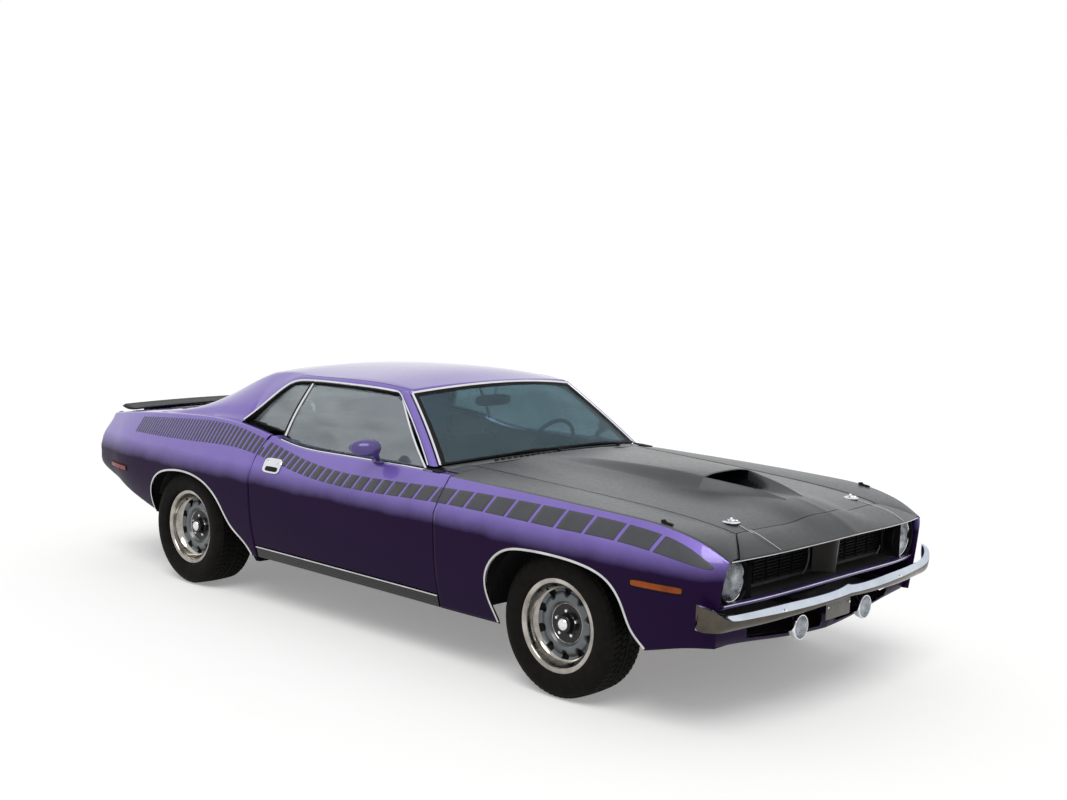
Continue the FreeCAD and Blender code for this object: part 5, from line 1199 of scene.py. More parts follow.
@dataclass
class Door(Sided):
    """One door's outer skin, belt, inner trim panel and underside."""

    step: float = 14.0

    def section(self, x: Array) -> Array:
        """Closed loop of rows round the door: outer skin, belt, trim panel and underside.

        Args:
            x: places along the car.

        Returns:
            (n, rows, 3) points.
        """
        x = np.asarray(x, float)
        belt = xyz(x, -np.full_like(x, DOOR_INNER + 8.0), PEAK_Z(x) + 1.0)
        shift = 39.0 * smooth((-300.0 - x) / 380.0)
        z = DOOR_LOW + 8.0 + (PEAK_Z(x)[:, None] - (DOOR_LOW + 16.0)) * np.linspace(1.0, 0.0, TRIM_ROWS)
        panel = xyz((x + shift)[:, None], -(DOOR_INNER + 1.0), z)
        corner = peak_rows(x, belt, 10.0)
        under = side_point(x, np.zeros_like(x), DOOR_LOW)
        rows = [side_grid(x, DOOR_LOW), corner, belt[:, None], panel, under[:, None]]
        return np.concatenate(rows, axis=1)

    def build(self) -> None:
        """Make the door's pieces."""
        grid = self.section(span(DOOR_REAR, DOOR_FRONT, self.step))
        grid = warp_x(grid, lambda z: DOOR_REAR + SHUT_X(z), None, self.section)
        inward = 1.0 - np.clip((-grid[..., 1] - DOOR_INNER) / 150.0, 0, 1)
        grid[..., 0] += 40.0 * inward * smooth((-560.0 - grid[..., 0]) / 110.0)
        grid = capped(grid)
        trim_cells = np.zeros((grid.shape[0] - 1, grid.shape[1] - 1), bool)
        trim_cells[:, -TRIM_ROWS - 1:-1] = True
        shell = Shell("door_panel_" + self.side, self.left)
        shell.grid(grid, PURPLE, inside=(0, -840, 600), second=(TRIM, trim_cells))
        shell.build("door_" + self.side, "door_" + self.side, sharp=40.0)


@dataclass
class Hood:
    """Hood with its raised centre."""

    rows: int = 120
    columns: int = 97
    thick: float = 8.0

    def point(self, v: Array, u: Array) -> Array:
        """Point of the hood.

        Args:
            v: shares of the half width, -1 to 1.
            u: shares of the length from the rear.

        Returns:
            Points.
        """
        a = np.abs(v)
        x = mix(mix(*HOOD_REAR, a**2), mix(*HOOD_FRONT, a), u)
        return xyz(x, v * hood_half(x), hood_z(x, a))

    @staticmethod
    def ramp(x: Array, y: Array) -> Array:
        """Depth of the air ramp between the scoop's cheeks.

        It falls in a straight line from 32 at the mouth to 0 at the tip, and fades over 16 at its sides.

        Args:
            x, y: places on the hood.

        Returns:
            Depths.
        """
        half = mix(174.0, 62.0, np.clip((x - SCOOP_X) / 350.0, 0.0, 1.0))
        slope = np.clip((RAMP_END - x) / (RAMP_END - SCOOP_X), 0.0, 1.0)
        return 32.0 * (x > RAMP_REAR) * slope * smooth((half - np.abs(y)) / 16.0)

    def build(self) -> None:
        """Make the hood skin with turned-down edges."""
        v = np.linspace(-1.0, 1.0, self.columns)[None]
        grid = self.point(v, np.linspace(0.0, 1.0, self.rows)[:, None])
        grid[..., 2] -= self.ramp(grid[..., 0], grid[..., 1])
        low = grid.copy()
        low[..., 2] -= 10.0
        grid = np.concatenate([low[:1] + (2, 0, 0), grid, low[-1:] - (2, 0, 0)])
        left, right = grid[:, :1] - (0, 0, 10.0), grid[:, -1:] - (0, 0, 10.0)
        grid = np.concatenate([left + (0, 1.5, 0), grid, right - (0, 1.5, 0)], axis=1)
        # Cells on the rear of the air ramp take the black plastic: a painted shadow just ahead of the scoop's
        # mouth.
        x, y = grid[:-1, :-1, 0], grid[:-1, :-1, 1]
        half = mix(172.0, 110.0, np.clip((x - SCOOP_X) / 350.0, 0.0, 1.0))
        dark = (x > RAMP_REAR) & (x < 1815.0) & (np.abs(y) < half)
        shell = Shell("hood_panel")
        shell.grid(grid, BLACK, inside=(1400, 0, 0), second=(PLASTIC, dark))
        shell.build("hood", "hood", thick=self.thick)


@dataclass
class GlassHouse:
    """Windscreen, rear window and quarter windows with their seals and bright mouldings."""

    pane: float = 5.0

    def screen(self, s: Array, t: Array, out: float = 0.0) -> Array:
        """Point of the windscreen, a parabola across between the centre line and the pillars.

        Args:
            s: across, -1 to 1.
            t: up, 0 to 1.
            out: lift off the pane.

        Returns:
            Points.
        """
        centre = (mix(SCREEN_BASE[0], SCREEN_TOP[0], t), 0.0 * t,
                  mix(SCREEN_BASE[1], SCREEN_TOP[1], t) + 20.0 * t * (1 - t))
        side = [mix(a, b, t) for a, b in zip(BASE_CORNER, TOP_CORNER)]
        side[0] = side[0] + 48.0 * t * (1 - t)
        return xyz(mix(centre[0], side[0], s**2) + 0.6 * out, s * side[1],
                   mix(centre[2], side[2], s**2) + 0.8 * out)

    def build(self) -> None:
        """Make the fixed glass and its trims."""
        s, t = np.linspace(-1, 1, 41)[None], np.linspace(0.02, 0.98, 22)[:, None]
        shell = Shell("windscreen_glass")
        shell.grid(self.screen(s, t), SCREEN_GLASS, inside=(0, 0, 600))
        shell.build("body", "windscreen", thick=self.pane)
        upper = UpperShell()
        x, v = span(BACKLIGHT[1] + 4, BACKLIGHT[0] - 4, 20.0)[:, None], np.linspace(-1, 1, 33)[None]
        half = SHOULDER_Y(x) - 30.0
        glass = upper.over(x, np.abs(v) * half / SHOULDER_Y(x)) * (1, -1, 1)
        glass[..., 1] *= np.sign(v)
        shell = Shell("backlight_glass")
        shell.grid(glass - (0, 0, 2.0), SIDE_GLASS, inside=(-1300, 0, 700))
        shell.build("body", "backlight", thick=self.pane)
        self.quarter()
        self.mouldings()

    def quarter(self) -> None:
        """Make the quarter windows, their rear seals and the bright front posts."""
        outline = table((-576, 924), (-560, 1172), (-640, 1172), (-706, 1160), (-778, 1092), (-862, 996),
                            (-894, 962), (-760, 948), (-660, 936))
        grid, keep = side_pane(outline)
        shell = Shell("quarter_window_panes")
        shell.grid(grid, SIDE_GLASS, keep, inside=(-700, 0, 900), both=True)
        shell.build("body", "quarter_windows", thick=self.pane)
        trims = Shell("window_posts_and_seals")
        z = span(912.0, 1182.0, 20.0)
        post = xyz(mix(-574.0, -557.0, (z - 911.0) / 268.0), -(GLASS_Y(z) + 4.0), z)
        trims.sweep(post, oval_section(7.0, 5.0, 12), CHROME, up=(0, -1, 0.4), both=True)
        trims.sweep(post - (15.0, 0, 0), oval_section(8.0, 4.0, 12), RUBBER_SEAL, up=(0, -1, 0.4),
                    both=True)
        x = span(-604.0, -912.0, 12.0)
        rim = xyz(x, -(RAIL_Y(x) - 5.0), RAIL_Z(x) - 9.0)
        trims.sweep(rim, oval_section(7.0, 11.0, 12), RUBBER_SEAL, up=(0, -0.5, 1), both=True)
        foot = xyz(span(-600.0, -918.0, 20.0), 0, 0)
        foot[:, 2] = mix(928.0, 956.0, (foot[:, 0] + 600.0) / -318.0)
        foot[:, 1] = -(GLASS_Y(foot[:, 2]) + 2.0)
        trims.sweep(foot, oval_section(6.0, 8.0, 12), RUBBER_SEAL, up=(0, -0.6, 1), both=True)
        trims.build("body", slot="chrome")

    def mouldings(self) -> None:
        """Make the drip rails, the windscreen moulding and the rear window moulding."""
        trims = Shell("roof_and_screen_mouldings")
        x = span(WINDOW_REAR + 8.0, 96.0, 14.0)
        rail = xyz(x, -(RAIL_Y(x) + 3.0), RAIL_Z(x) - 1.0)
        t = np.linspace(0.93, 0.0, 24)
        pillar = xyz(mix(BASE_CORNER[0], TOP_CORNER[0], t) + 12.0 * (1 - (2 * t - 1) ** 2) - 46.0,
                     -(mix(BASE_CORNER[1], TOP_CORNER[1], t) + 34.0), mix(BASE_CORNER[2], TOP_CORNER[2], t))
        path = soft_path(np.vstack([rail, pillar])[::2], 12.0)
        trims.sweep(path, oval_section(4.5, 6.5, 10), CHROME, up=(0, -0.6, 1), both=True)
        trims.sweep(path + (0, 5.0, -9.0), oval_section(5.0, 5.0, 8), RUBBER_SEAL, up=(0, -0.6, 1),
                    both=True)
        trims.sweep(path + (0, 20.0, -15.0), oval_section(10.0, 8.0, 10), RUBBER_SEAL, up=(0, -0.6, 1),
                    both=True)
        t = np.linspace(0.0, 0.98, 26)
        trims.sweep(self.screen(-1.0, t, 4.0), oval_section(6.5, 4.0, 12), CHROME, up=(0.8, -0.3, 0.5),
                    both=True)
        t = np.linspace(0.02, 0.965, 26)
        trims.sweep(self.screen(-0.972, t, 1.0), oval_section(13.0, 1.8, 12), RUBBER_SEAL,
                    up=(0.8, -0.3, 0.5), both=True)
        s = np.linspace(-1.0, 1.0, 41)
        trims.sweep(self.screen(s * 0.97, 0.962, 1.0), oval_section(12.0, 1.8, 12), RUBBER_SEAL,
                    up=(0.8, 0, 0.6))
        trims.sweep(self.screen(s, 0.985, 4.0), oval_section(7.0, 4.0, 12), CHROME, up=(0.8, 0, 0.6))
        trims.sweep(self.screen(s, 0.012, 3.0), oval_section(6.0, 4.0, 12), RUBBER_SEAL,
                    up=(0.8, 0, 0.6))
        upper = UpperShell()
        x = span(BACKLIGHT[1], BACKLIGHT[0], 18.0)
        side = upper.over(x, 1.0 - 27.0 / SHOULDER_Y(x)) + (0, 0, 2.0)
        frame_bar = oval_section(6.0, 3.5, 10)
        trims.sweep(side, frame_bar, CHROME, up=(-0.3, 0, 1), both=True)
        for edge in BACKLIGHT:
            y = np.linspace(-1, 1, 25) * (SHOULDER_Y(edge) - 27.0)
            bar = xyz(edge, y, mix(ROOF_Z(edge), SHOULDER_Z(edge), (y / SHOULDER_Y(edge)) ** 2) + 2.0)
            trims.sweep(bar, frame_bar, CHROME, up=(-0.3, 0, 1))
        trims.build("body", slot="chrome")


def side_pane(outline: Array, step: float = 14.0) -> tuple[Array, Array]:
    """Grid of the curved side glass on the right.

    Args:
        outline: (n, 2) points of its edge, as x and z.
        step: spacing of the grid.

    Returns:
        The points and the mask of the cells to keep.
    """
    (x0, z0), (x1, z1) = outline.min(axis=0) - 4.0, outline.max(axis=0) + 4.0
    x, z = span(x0, x1, step)[:, None], span(z0, z1, step)[None]
    return trim(xyz(x, -GLASS_Y(z), z), outline, lambda a, b: -GLASS_Y(b), hole=False)


@dataclass
class DoorDress(Sided):
    """What a door carries: glass, belt seals, handle, lock and mirror."""

    def build(self) -> None:
        """Make the door's glass and fittings."""
        body = "door_" + self.side
        outline = table((-566, 916), (-520, 898), (-380, 882), (-130, 880), (500, 886), (452, 928),
                        (300, 1052), (160, 1160), (120, 1176), (40, 1182), (-250, 1186), (-500, 1180),
                        (-550, 1172))
        grid, keep = side_pane(outline)
        shell = Shell("door_pane_" + self.side, self.left)
        shell.grid(grid, SIDE_GLASS, keep, inside=(-100, 0, 900))
        shell.build(body, "door_glass_" + self.side, thick=5.0)
        seals = Shell("door_seals_" + self.side, self.left)
        x = span(-556.0, 590.0, 16.0)
        belt = xyz(x, -np.minimum(PEAK_Y(x) - 18.0, 812.0), PEAK_Z(x) + 4.0)
        seals.sweep(belt, oval_section(7.0, 5.0, 12), RUBBER_SEAL)
        seals.sweep(belt - (0, 9.0, 1.0), oval_section(3.0, 3.5, 10), CHROME)
        lead = np.array([(520.0, 880.0), (452.0, 934.0), (300.0, 1058.0), (166.0, 1164.0)])
        edge = soft_path(lead, 14.0)
        seals.sweep(xyz(edge[:, 0], -(GLASS_Y(edge[:, 1]) + 2.0), edge[:, 1]), oval_section(5.5, 4.0, 12),
                    CHROME, up=(0.5, -1, 0.3))
        vent = soft_path([(640.0, 882.0), (600.0, 884.0), (560.0, 884.0), (528.0, 882.0)], 10.0)
        seals.sweep(xyz(vent[:, 0], -796.0, vent[:, 1] - 2.0), oval_section(24.0, 2.5, 12), RUBBER_SEAL)
        seals.build(body, slot="black_plastic")
        self.handle()
        self.mirror()

    def handle(self) -> None:
        """Make the chrome handle plate with its black pull opening and the round lock."""
        shell = Shell("door_handle_" + self.side, self.left)
        loop = unit_loop(28, 5.0)

        def pad(cx: float, cz: float, w: float, h: float, layers: Sequence[tuple[float, float]]) -> Array:
            """Rings of a rounded plate on the door skin.

            Args:
                cx, cz: its middle.
                w, h: its half sizes.
                layers: (shrink, height) of each ring.

            Returns:
                (rings, points, 3).
            """
            rings = []
            for shrink, height in layers:
                px, pz = cx + loop[:, 0] * (w - shrink), cz + loop[:, 1] * (h - shrink)
                rings.append(tail_sweep(xyz(px, -(side_y(px, pz) + height), pz)))
            return np.stack(rings)

        shell.rings(pad(-519.0, 771.0, 67.0, 37.0, ((0, 1.0), (0, 6.5), (2.5, 9.0), (6.0, 10.0))), CHROME)
        shell.rings(pad(-512.0, 755.0, 48.0, 12.0, ((0, 8.0), (0, 10.6), (1.0, 11.0))), PLASTIC)
        shell.rings(pad(-508.0, 787.0, 34.0, 8.0, ((0, 9.0), (1.0, 13.0), (3.0, 14.0))), CHROME)
        x, z = -561.0, 787.0
        lock = table((11, 8.5), (11, 11.5), (8, 13.5), (4, 13.0), (3.5, 10.0), (0, 10.0))
        shell.turned(lock * (1, -1), "y", (x, -float(side_y(np.array(x), np.array(z))), z), CHROME, 24)
        shell.build("door_" + self.side, slot="chrome")

    def mirror(self) -> None:
        """Make the mirror: a teardrop head that points out and back, on a slim foot."""
        shell = Shell("door_mirror_" + self.side, self.left)
        out = np.array((-0.62, -0.785, 0.0))
        face = np.array((-0.785, 0.62, 0.0))
        root = np.array((254.0, -842.0, 950.0))
        along = 76.0 - 76.0 * np.cos(np.linspace(0.0, math.pi, 33))
        radius = np.interp(along, [0, 1.5, 5, 14, 34, 62, 84, 104, 122, 136, 145, 150, 152],
                           [0, 14, 24, 35, 44, 47, 46, 43, 37, 28, 19, 9, 0])
        cos, sin = ring(1.0, 36)
        flat = np.where(cos > 0.0, cos * 0.55, cos)
        section = flat[:, None] * face + sin[:, None] * (0, 0, 0.94)
        head = root + along[:, None, None] * out + radius[:, None, None] * section
        shell.grid(head, MIRROR_SHADED_PAINT, around=True)
        rim = root + along[3:-2, None] * out + face * (radius[3:-2, None] * 0.40)
        rise = radius[3:-2, None] * (0, 0, 0.66)
        loop = np.vstack([rim + rise, (rim - rise)[::-1]])
        shell.sweep(soft_path(loop, 6.0, closed=True), oval_section(3.0, 3.0, 8), PLASTIC, up=tuple(face),
                    closed=True)
        foot = soft_path([(222.0, -834.0, 884.0), (224.0, -840.0, 900.0), (228.0, -862.0, 922.0),
                          (224.0, -874.0, 936.0)], 4.0)
        shell.sweep(foot, oval_section(15.0, 9.0, 16), MIRROR_SHADED_PAINT, up=(1, 0, 0))
        cos, sin = ring(1.0, 28)
        plate = [xyz(222.0 + cos * wx, -833.0 + sin * wy, z)
                 for z, wx, wy in ((878.5, 42.0, 17.0), (884.0, 42.0, 17.0), (887.0, 37.0, 13.0))]
        shell.rings(np.stack(plate), MIRROR_SHADED_PAINT)
        shell.build("door_" + self.side, "door_fittings_" + self.side, slot="body_paint")


@dataclass
class HoodDress:
    """Snorkel scoop, hood pins and their lanyards on the hood."""

    mouth: float = SCOOP_X
    half: float = 187.0

    def deck(self, x: Array, y: Array) -> Array:
        """Height of the hood skin at x and y."""
        return hood_z(x, np.abs(y) / hood_half(x))

    @staticmethod
    def flank(share: Array) -> Array:
        """Rise of a flank, the mean of the smooth step and share^1.6, held between 0 and 1."""
        share = np.clip(share, 0.0, 1.0)
        return 0.5 * smooth(share) + 0.5 * share**1.6

    def build(self) -> None:
        """Make the scoop, the pins and their plates."""
        shell = Shell("hood_scoop_duct")
        x, u = span(760.0, self.mouth, 12.0)[:, None], np.linspace(-1, 1, 65)[None]
        reach = mix(90.0, 52.0, np.clip((x - 760.0) / 900.0, 0.0, 1.0))
        foot = SCOOP_WIDTH(x) + reach - 8.0
        y = u * foot
        top = self.deck(x, y) + SCOOP_HEIGHT(x) * self.flank((foot - np.abs(y)) / reach) - 0.6
        duct = xyz(x, y, top)
        lip = duct[-1:] + (4.0, 0, -3.0)
        back = duct[-1:] + (-3.0, 0, -9.0)
        shell.grid(np.concatenate([duct, lip, back]), BLACK, inside=(1400, 0, 0))
        wide = np.linspace(-1, 1, 25)
        height = self.deck(np.array(self.mouth), wide * self.half) + 43.0
        roof = xyz(self.mouth - 2.0, wide * (self.half - 4.0), height)
        floor = roof - (0, 0, 74.0)
        loop = np.vstack([roof, floor[::-1]])
        deep = loop - (200.0, 0, 0)
        tunnel = np.stack([loop, deep, np.repeat(deep.mean(axis=0)[None], len(loop), axis=0)])
        shell.grid(tunnel, PLASTIC, around=True, inside=(1400, 0, 2000))
        for sign in (-1.0, 1.0):
            shell.grid(self.cheek(sign), BLACK, inside=(1850.0, sign * 150.0, 500.0))
        shell.build("hood", "hood_scoop", slot="black_paint", sharp=45.0)
        self.pins()

    def cheek(self, sign: float) -> Array:
        """Rows of one cheek from the mouth to the tip: foot, rounded top and steep inner wall.

        Args:
            sign: 1 for the left cheek and -1 for the right one.

        Returns:
            (n, rows, 3) points.
        """
        s = np.linspace(0.0, 1.0, 34)[:, None]
        x = mix(self.mouth, 2056.0, s)
        crest, wide = mix(181.0, 66.0, s), mix(52.0, 30.0, s)
        foot = crest + mix(50.0, 29.0, s)
        k = np.linspace(0.0, 1.0, 14)[None]
        y = mix(foot, crest, k)
        height = mix(float(SCOOP_HEIGHT(self.mouth)), 3.0, s**1.15)
        z = self.deck(x, y) + height * self.flank((foot - y) / wide) - 0.6
        slope = mix(4.0, 34.0, np.minimum(2.0 * s, 1.0))
        inner = [crest - 1.5, crest - 3.0, crest - 3.0 - slope * 0.4, crest - 3.0 - slope]
        bed = self.deck(x, crest) - 3.0 - 32.0 * (1.0 - s)
        drop = [z[:, -1:] - 0.6, z[:, -1:] - 2.5, mix(bed, z[:, -1:] - 2.5, 0.5), bed]
        y, z = np.concatenate([y, *inner], axis=1), np.concatenate([z, *drop], axis=1)
        return xyz(x, sign * y, z)

    def pins(self) -> None:
        """Make two hood pins with plates, clips and lanyards that lie on the nose."""
        shell = Shell("hood_pins")
        lanyards = Shell("hood_pin_lanyards")
        for sign in (-1.0, 1.0):
            x, y = PIN_X, sign * PIN_Y
            z = float(self.deck(np.array(x), np.array(y)))
            plate = table((39, 0.3), (39, 2.0), (36, 4.2), (24, 5.6), (15, 5.0), (13, 2.0), (0, 2.0))
            shell.turned(plate, "z", (x, y, z), CHROME, 36)
            stud = table((7.5, 1.0), (7.5, 15.0), (6.0, 18.5), (3.0, 20.5), (0, 21.0))
            shell.turned(stud, "z", (x, y, z), CHROME, 20)
            cos, sin = ring(14.0, 25)
            clip = xyz(x + 4.0 + cos, y + sin * 0.7, z + 11.0)
            shell.sweep(clip, round_section(1.6, 8), CHROME, closed=True)
            pin = table((-12, -14, 10.5), (0, 0, 10.5), (24, 13, 10.5)) + (x, y, z)
            shell.sweep(pin, round_section(1.6, 8), CHROME)
            path = soft_path([(x + 14.0, y, z + 5.0), (x + 36.0, y + sign * 4.0, z - 4.0),
                              (2112.0, y + sign * 6.0, 0.0)], 6.0)
            path[:, 2] = self.deck(path[:, 0], path[:, 1]) + 2.6
            lanyards.sweep(path, round_section(1.5, 8), STAINLESS)
        shell.build("hood", slot="chrome")
        lanyards.build("hood", slot="chrome")


@dataclass
class CowlPanel:
    """Cowl with its air slots and the two wipers."""

    def build(self) -> None:
        """Make the cowl panel, its corners, slots and wipers."""
        shell = Shell("cowl_panel")
        y, t = np.linspace(-735, 735, 61)[None], np.linspace(0, 1, 9)[:, None]
        share = (y / BASE_CORNER[1]) ** 2
        back = mix(SCREEN_BASE[0], BASE_CORNER[0], share) + 4.0
        top = mix(SCREEN_BASE[1], BASE_CORNER[2], share) - 3.0
        front = mix(*HOOD_REAR, (y / COWL_HALF) ** 2) - GAP
        grid = xyz(mix(back, front, t), y, top - 8.0 * t)
        lip = grid[-1:] - (0, 0, 24.0)
        shell.grid(np.concatenate([grid, lip]), BLACK, inside=(600, 0, 500))
        x, t = span(592.0, 714.0, 12.0)[:, None], np.linspace(0, 1, 9)[None]
        corner = xyz(x, -mix(hood_half(x) + GAP, 743.0, t), mix(HOOD_EDGE_Z(x), PEAK_Z(x) + 3.0, t))
        shell.grid(corner, BLACK, inside=(600, -600, 500), both=True)
        shell.build("body", "cowl", thick=4.0)
        slots = Shell("cowl_slots_and_wipers")
        for k in range(-13, 14):
            yk = 36.0 * k
            share = (yk / BASE_CORNER[1]) ** 2
            a = mix(SCREEN_BASE[0], BASE_CORNER[0], share) + 22.0
            z = float(mix(SCREEN_BASE[1], BASE_CORNER[2], share)) - 3.5
            slots.box((float(a), yk - 13.0, z - 4.0), (float(a) + 12.0, yk + 13.0, z + 0.6), PLASTIC,
                      soft=1.5)
        screen = GlassHouse()
        for s0, s1 in ((-0.10, -0.78), (0.62, -0.04)):
            base = screen.screen(np.array(s0), np.array(0.0))
            pivot = base + (26.0, 0, 2.0)
            slots.turned(table((10, -8), (10, 2), (7, 6), (0, 7)), "z", pivot, PLASTIC, 20)
            tip = screen.screen(np.array(mix(s0, s1, 0.55)), np.array(0.012), 9.0)
            arm = soft_path([pivot + (0, 0, 7.0), mix(pivot, tip, 0.5) + (4, 0, 12.0), tip], 14.0)
            slots.sweep(arm, oval_section(2.6, 1.6, 8), PLASTIC)
            s = np.linspace(mix(s0, s1, 0.12), s1, 24)
            blade = screen.screen(s, 0.002 + 0.012 * np.linspace(0, 1, 24), 5.0)
            slots.sweep(blade, oval_section(1.6, 3.0, 8), RUBBER_SEAL, up=(0.6, 0, 0.8))
        slots.build("body", slot="black_plastic")


@dataclass
class Nose:
    """Header, lower band, bright opening line, grille recess, lamps, valance and plate bracket."""

    back: float = GRILLE_BACK

    def build(self) -> None:
        """Make everything between the two fenders ahead of the hood."""
        self.header()
        self.lanyards()
        self.recess()
        self.lamps()
        self.valance()

    def header(self) -> None:
        """Make the header panel and the purple band under the opening."""
        v, t = np.linspace(-1, 1, 65)[None], np.linspace(0, 1, 12)[:, None, None]
        a = np.abs(v[0])
        x = mix(*HOOD_FRONT, a)
        rear = xyz(x + GAP, v[0] * HEADER_HALF, hood_z(x, a))
        y = a * NOSE_HALF
        ridge = 3.0 * np.exp(-a / 0.05)
        front = xyz(LIP_TOP_X(y) - 1.0, v[0] * NOSE_HALF, LIP_TOP_Z(y) + ridge)
        grid = rear + (front - rear) * t + np.array([2.0, 0, 7.0]) * 4 * t * (1 - t)
        steps = table((0.6, 0, -3), (-0.5, 0, -7), (-4.0, 0, -11), (-12, 0, -13), (-70, 0, -15))
        roll = grid[-1] + steps[:, None]
        first = grid[0] - (2.0, 0, 12.0)
        shell = Shell("nose_header_and_band")
        shell.grid(np.concatenate([first[None], grid, roll]), BLACK, inside=(2000, 0, 500))
        y, t = np.linspace(-778, 778, 61)[None], np.linspace(0, 1, 9)[:, None]
        a = np.abs(y)
        band = xyz(LIP_LOW_X(a) - 40.0 * t**1.5 + 4.0 * 4 * t * (1 - t), y, LIP_LOW_Z(a) - 25.0 * t)
        inward = band[:1] + np.array([(-3.0, 0, 3.0), (-40.0, 0, 2.0)])[:, None][::-1]
        shell.grid(np.concatenate([inward, band]), BAND, inside=(2000, 0, 560))
        shell.build("body", "nose_panels", thick=5.0, slot="body_paint")
        line = Shell("opening_bright_line")
        y = span(-778.0, 778.0, 20.0)
        a = np.abs(y)
        line.sweep(xyz(LIP_TOP_X(a) - 3.5, y, LIP_TOP_Z(a) - 9.5), oval_section(2.6, 2.6, 8), STAINLESS)
        line.sweep(xyz(LIP_LOW_X(a) - 1.5, y, LIP_LOW_Z(a) + 1.5), oval_section(2.6, 2.4, 8), STAINLESS)
        line.build("body", slot="chrome")

    def lanyards(self) -> None:
        """Lay the rest of the hood pins' thin lanyards over the header to its lip."""
        shell = Shell("header_lanyards")
        for sign, spread in ((-1.0, 26.0), (1.0, 14.0)):
            t = np.linspace(0.0, 1.0, 24)
            y = 498.0 + spread * np.sin(t * 2.2)
            v = y / mix(HEADER_HALF, NOSE_HALF, t)
            edge = mix(*HOOD_FRONT, v)
            x = mix(edge + GAP, LIP_TOP_X(y) - 1.0, t) + 8.0 * t * (1 - t)
            z = mix(hood_z(edge, v), LIP_TOP_Z(y), t) + 28.0 * t * (1 - t) + 3.2
            shell.sweep(xyz(x, sign * y, z), round_section(1.5, 8), STAINLESS)
        shell.build("body", slot="chrome")

    def recess(self) -> None:
        """Make the black recess with shelves, bar panels in frames, divider and lamp buckets."""
        shell = Shell("grille_recess")
        b = self.back
        y = np.linspace(-600, 600, 49)
        a = np.abs(y)
        shelf = [xyz(b - 2, y, 585.0), xyz(b + 2, y, 574.0)]
        for share in np.linspace(0.15, 1.0, 6):
            shelf.append(xyz(mix(b, LIP_LOW_X(a) - 42.0, share), y, mix(574.0, LIP_LOW_Z(a) - 1.0, share)))
        shell.grid(np.stack(shelf), SHELF, inside=(2250, 0, 300))
        roof = [xyz(mix(b - 4, LIP_TOP_X(a) - 70.0, share), y, mix(734.0, LIP_TOP_Z(a) - 16.0, share))
                for share in np.linspace(0, 1, 4)]
        shell.grid(np.stack(roof), PLASTIC, inside=(2250, 0, 1200))
        shell.box((b - 12, -600, 566), (b - 8, 600, 736), PLASTIC)
        for side in (-1.0, 1.0):
            y0, y1 = sorted((side * 74.0, side * 574.0))
            loop = soft_path([(y0, 596), (y0 + 8, 588), (y1 - 8, 588), (y1, 596), (y1, 716), (y1 - 8, 724),
                              (y0 + 8, 724), (y0, 716)], 12.0, closed=True)
            shell.sweep(xyz(b + 3.0, loop[:, 0], loop[:, 1]), oval_section(4.5, 4.0, 8), DIVIDER,
                        up=(1, 0, 0), closed=True)
            for z in np.linspace(600.0, 712.0, 9):
                bar = np.array([(b - 6, 3.2), (b + 3, 1.6), (b + 4.5, 0), (b + 3, -1.6), (b - 6, -3.2)])
                ends = np.stack([xyz(bar[:, 0], yy, z + bar[:, 1]) for yy in (y0, y1)])
                shell.rings(ends, GLOSS_BLACK)
            for yy in np.linspace(y0, y1, 6)[1:-1]:
                shell.box((b - 8, yy - 2.5, 588), (b - 2, yy + 2.5, 724), PLASTIC)
            shell.box((b - 6, min(side * 580.0, side * 612.0), 572),
                      (b + 12, max(side * 580.0, side * 612.0), 734), PLASTIC, soft=3.0)
            wall = np.array([(605.0, b), (612.0, b + 20), (618.0, b + 50), (622.0, b + 84)])
            grid = np.stack([xyz(x, side * yw, np.linspace(562.0, 740.0, 6)) for yw, x in wall])
            shell.grid(grid, PLASTIC, inside=(2250, side * 900.0, 640))
            bucket = table((94, b - 2), (94, 2232), (97, 2236), (100, 2232), (100, b - 6), (40, b - 6),
                           (40, b - 2), (94, b - 2))
            shell.turned(bucket, "x", (0, side * LAMP_Y, LAMP_Z), PLASTIC, 48)
            x = np.linspace(b, 2228.0, 5)[:, None]
            zz = np.linspace(548.0, 742.0, 13)[None]
            cheek = xyz(x, side * (786.0 - 14.0 * (2228.0 - x) / 50.0), zz)
            shell.grid(cheek, PLASTIC, inside=(2200, side * 900, 640))
        z = np.linspace(572.0, 736.0, 12)[:, None]
        nose = mix(2283.0, 2296.0, (z - 586.0) / 148.0)
        half = np.array([4.0, 6.5, 9.0, 12.0, 15.0, 20.0])
        ends = [np.full_like(nose, b + ahead) for ahead in (60.0, 20.0, 0.0)]
        xs = np.hstack([nose, nose - 5.0, nose - 20.0, *ends])
        for side in (-1.0, 1.0):
            shell.grid(xyz(xs, side * half, z), DIVIDER, inside=(2230, 0, 650))
        shell.grid(xyz(np.repeat(nose, 2, 1), np.array([[-4.0, 4.0]]), z), DIVIDER, inside=(2230, 0, 650))
        shell.build("body", "grille", slot="black_plastic")

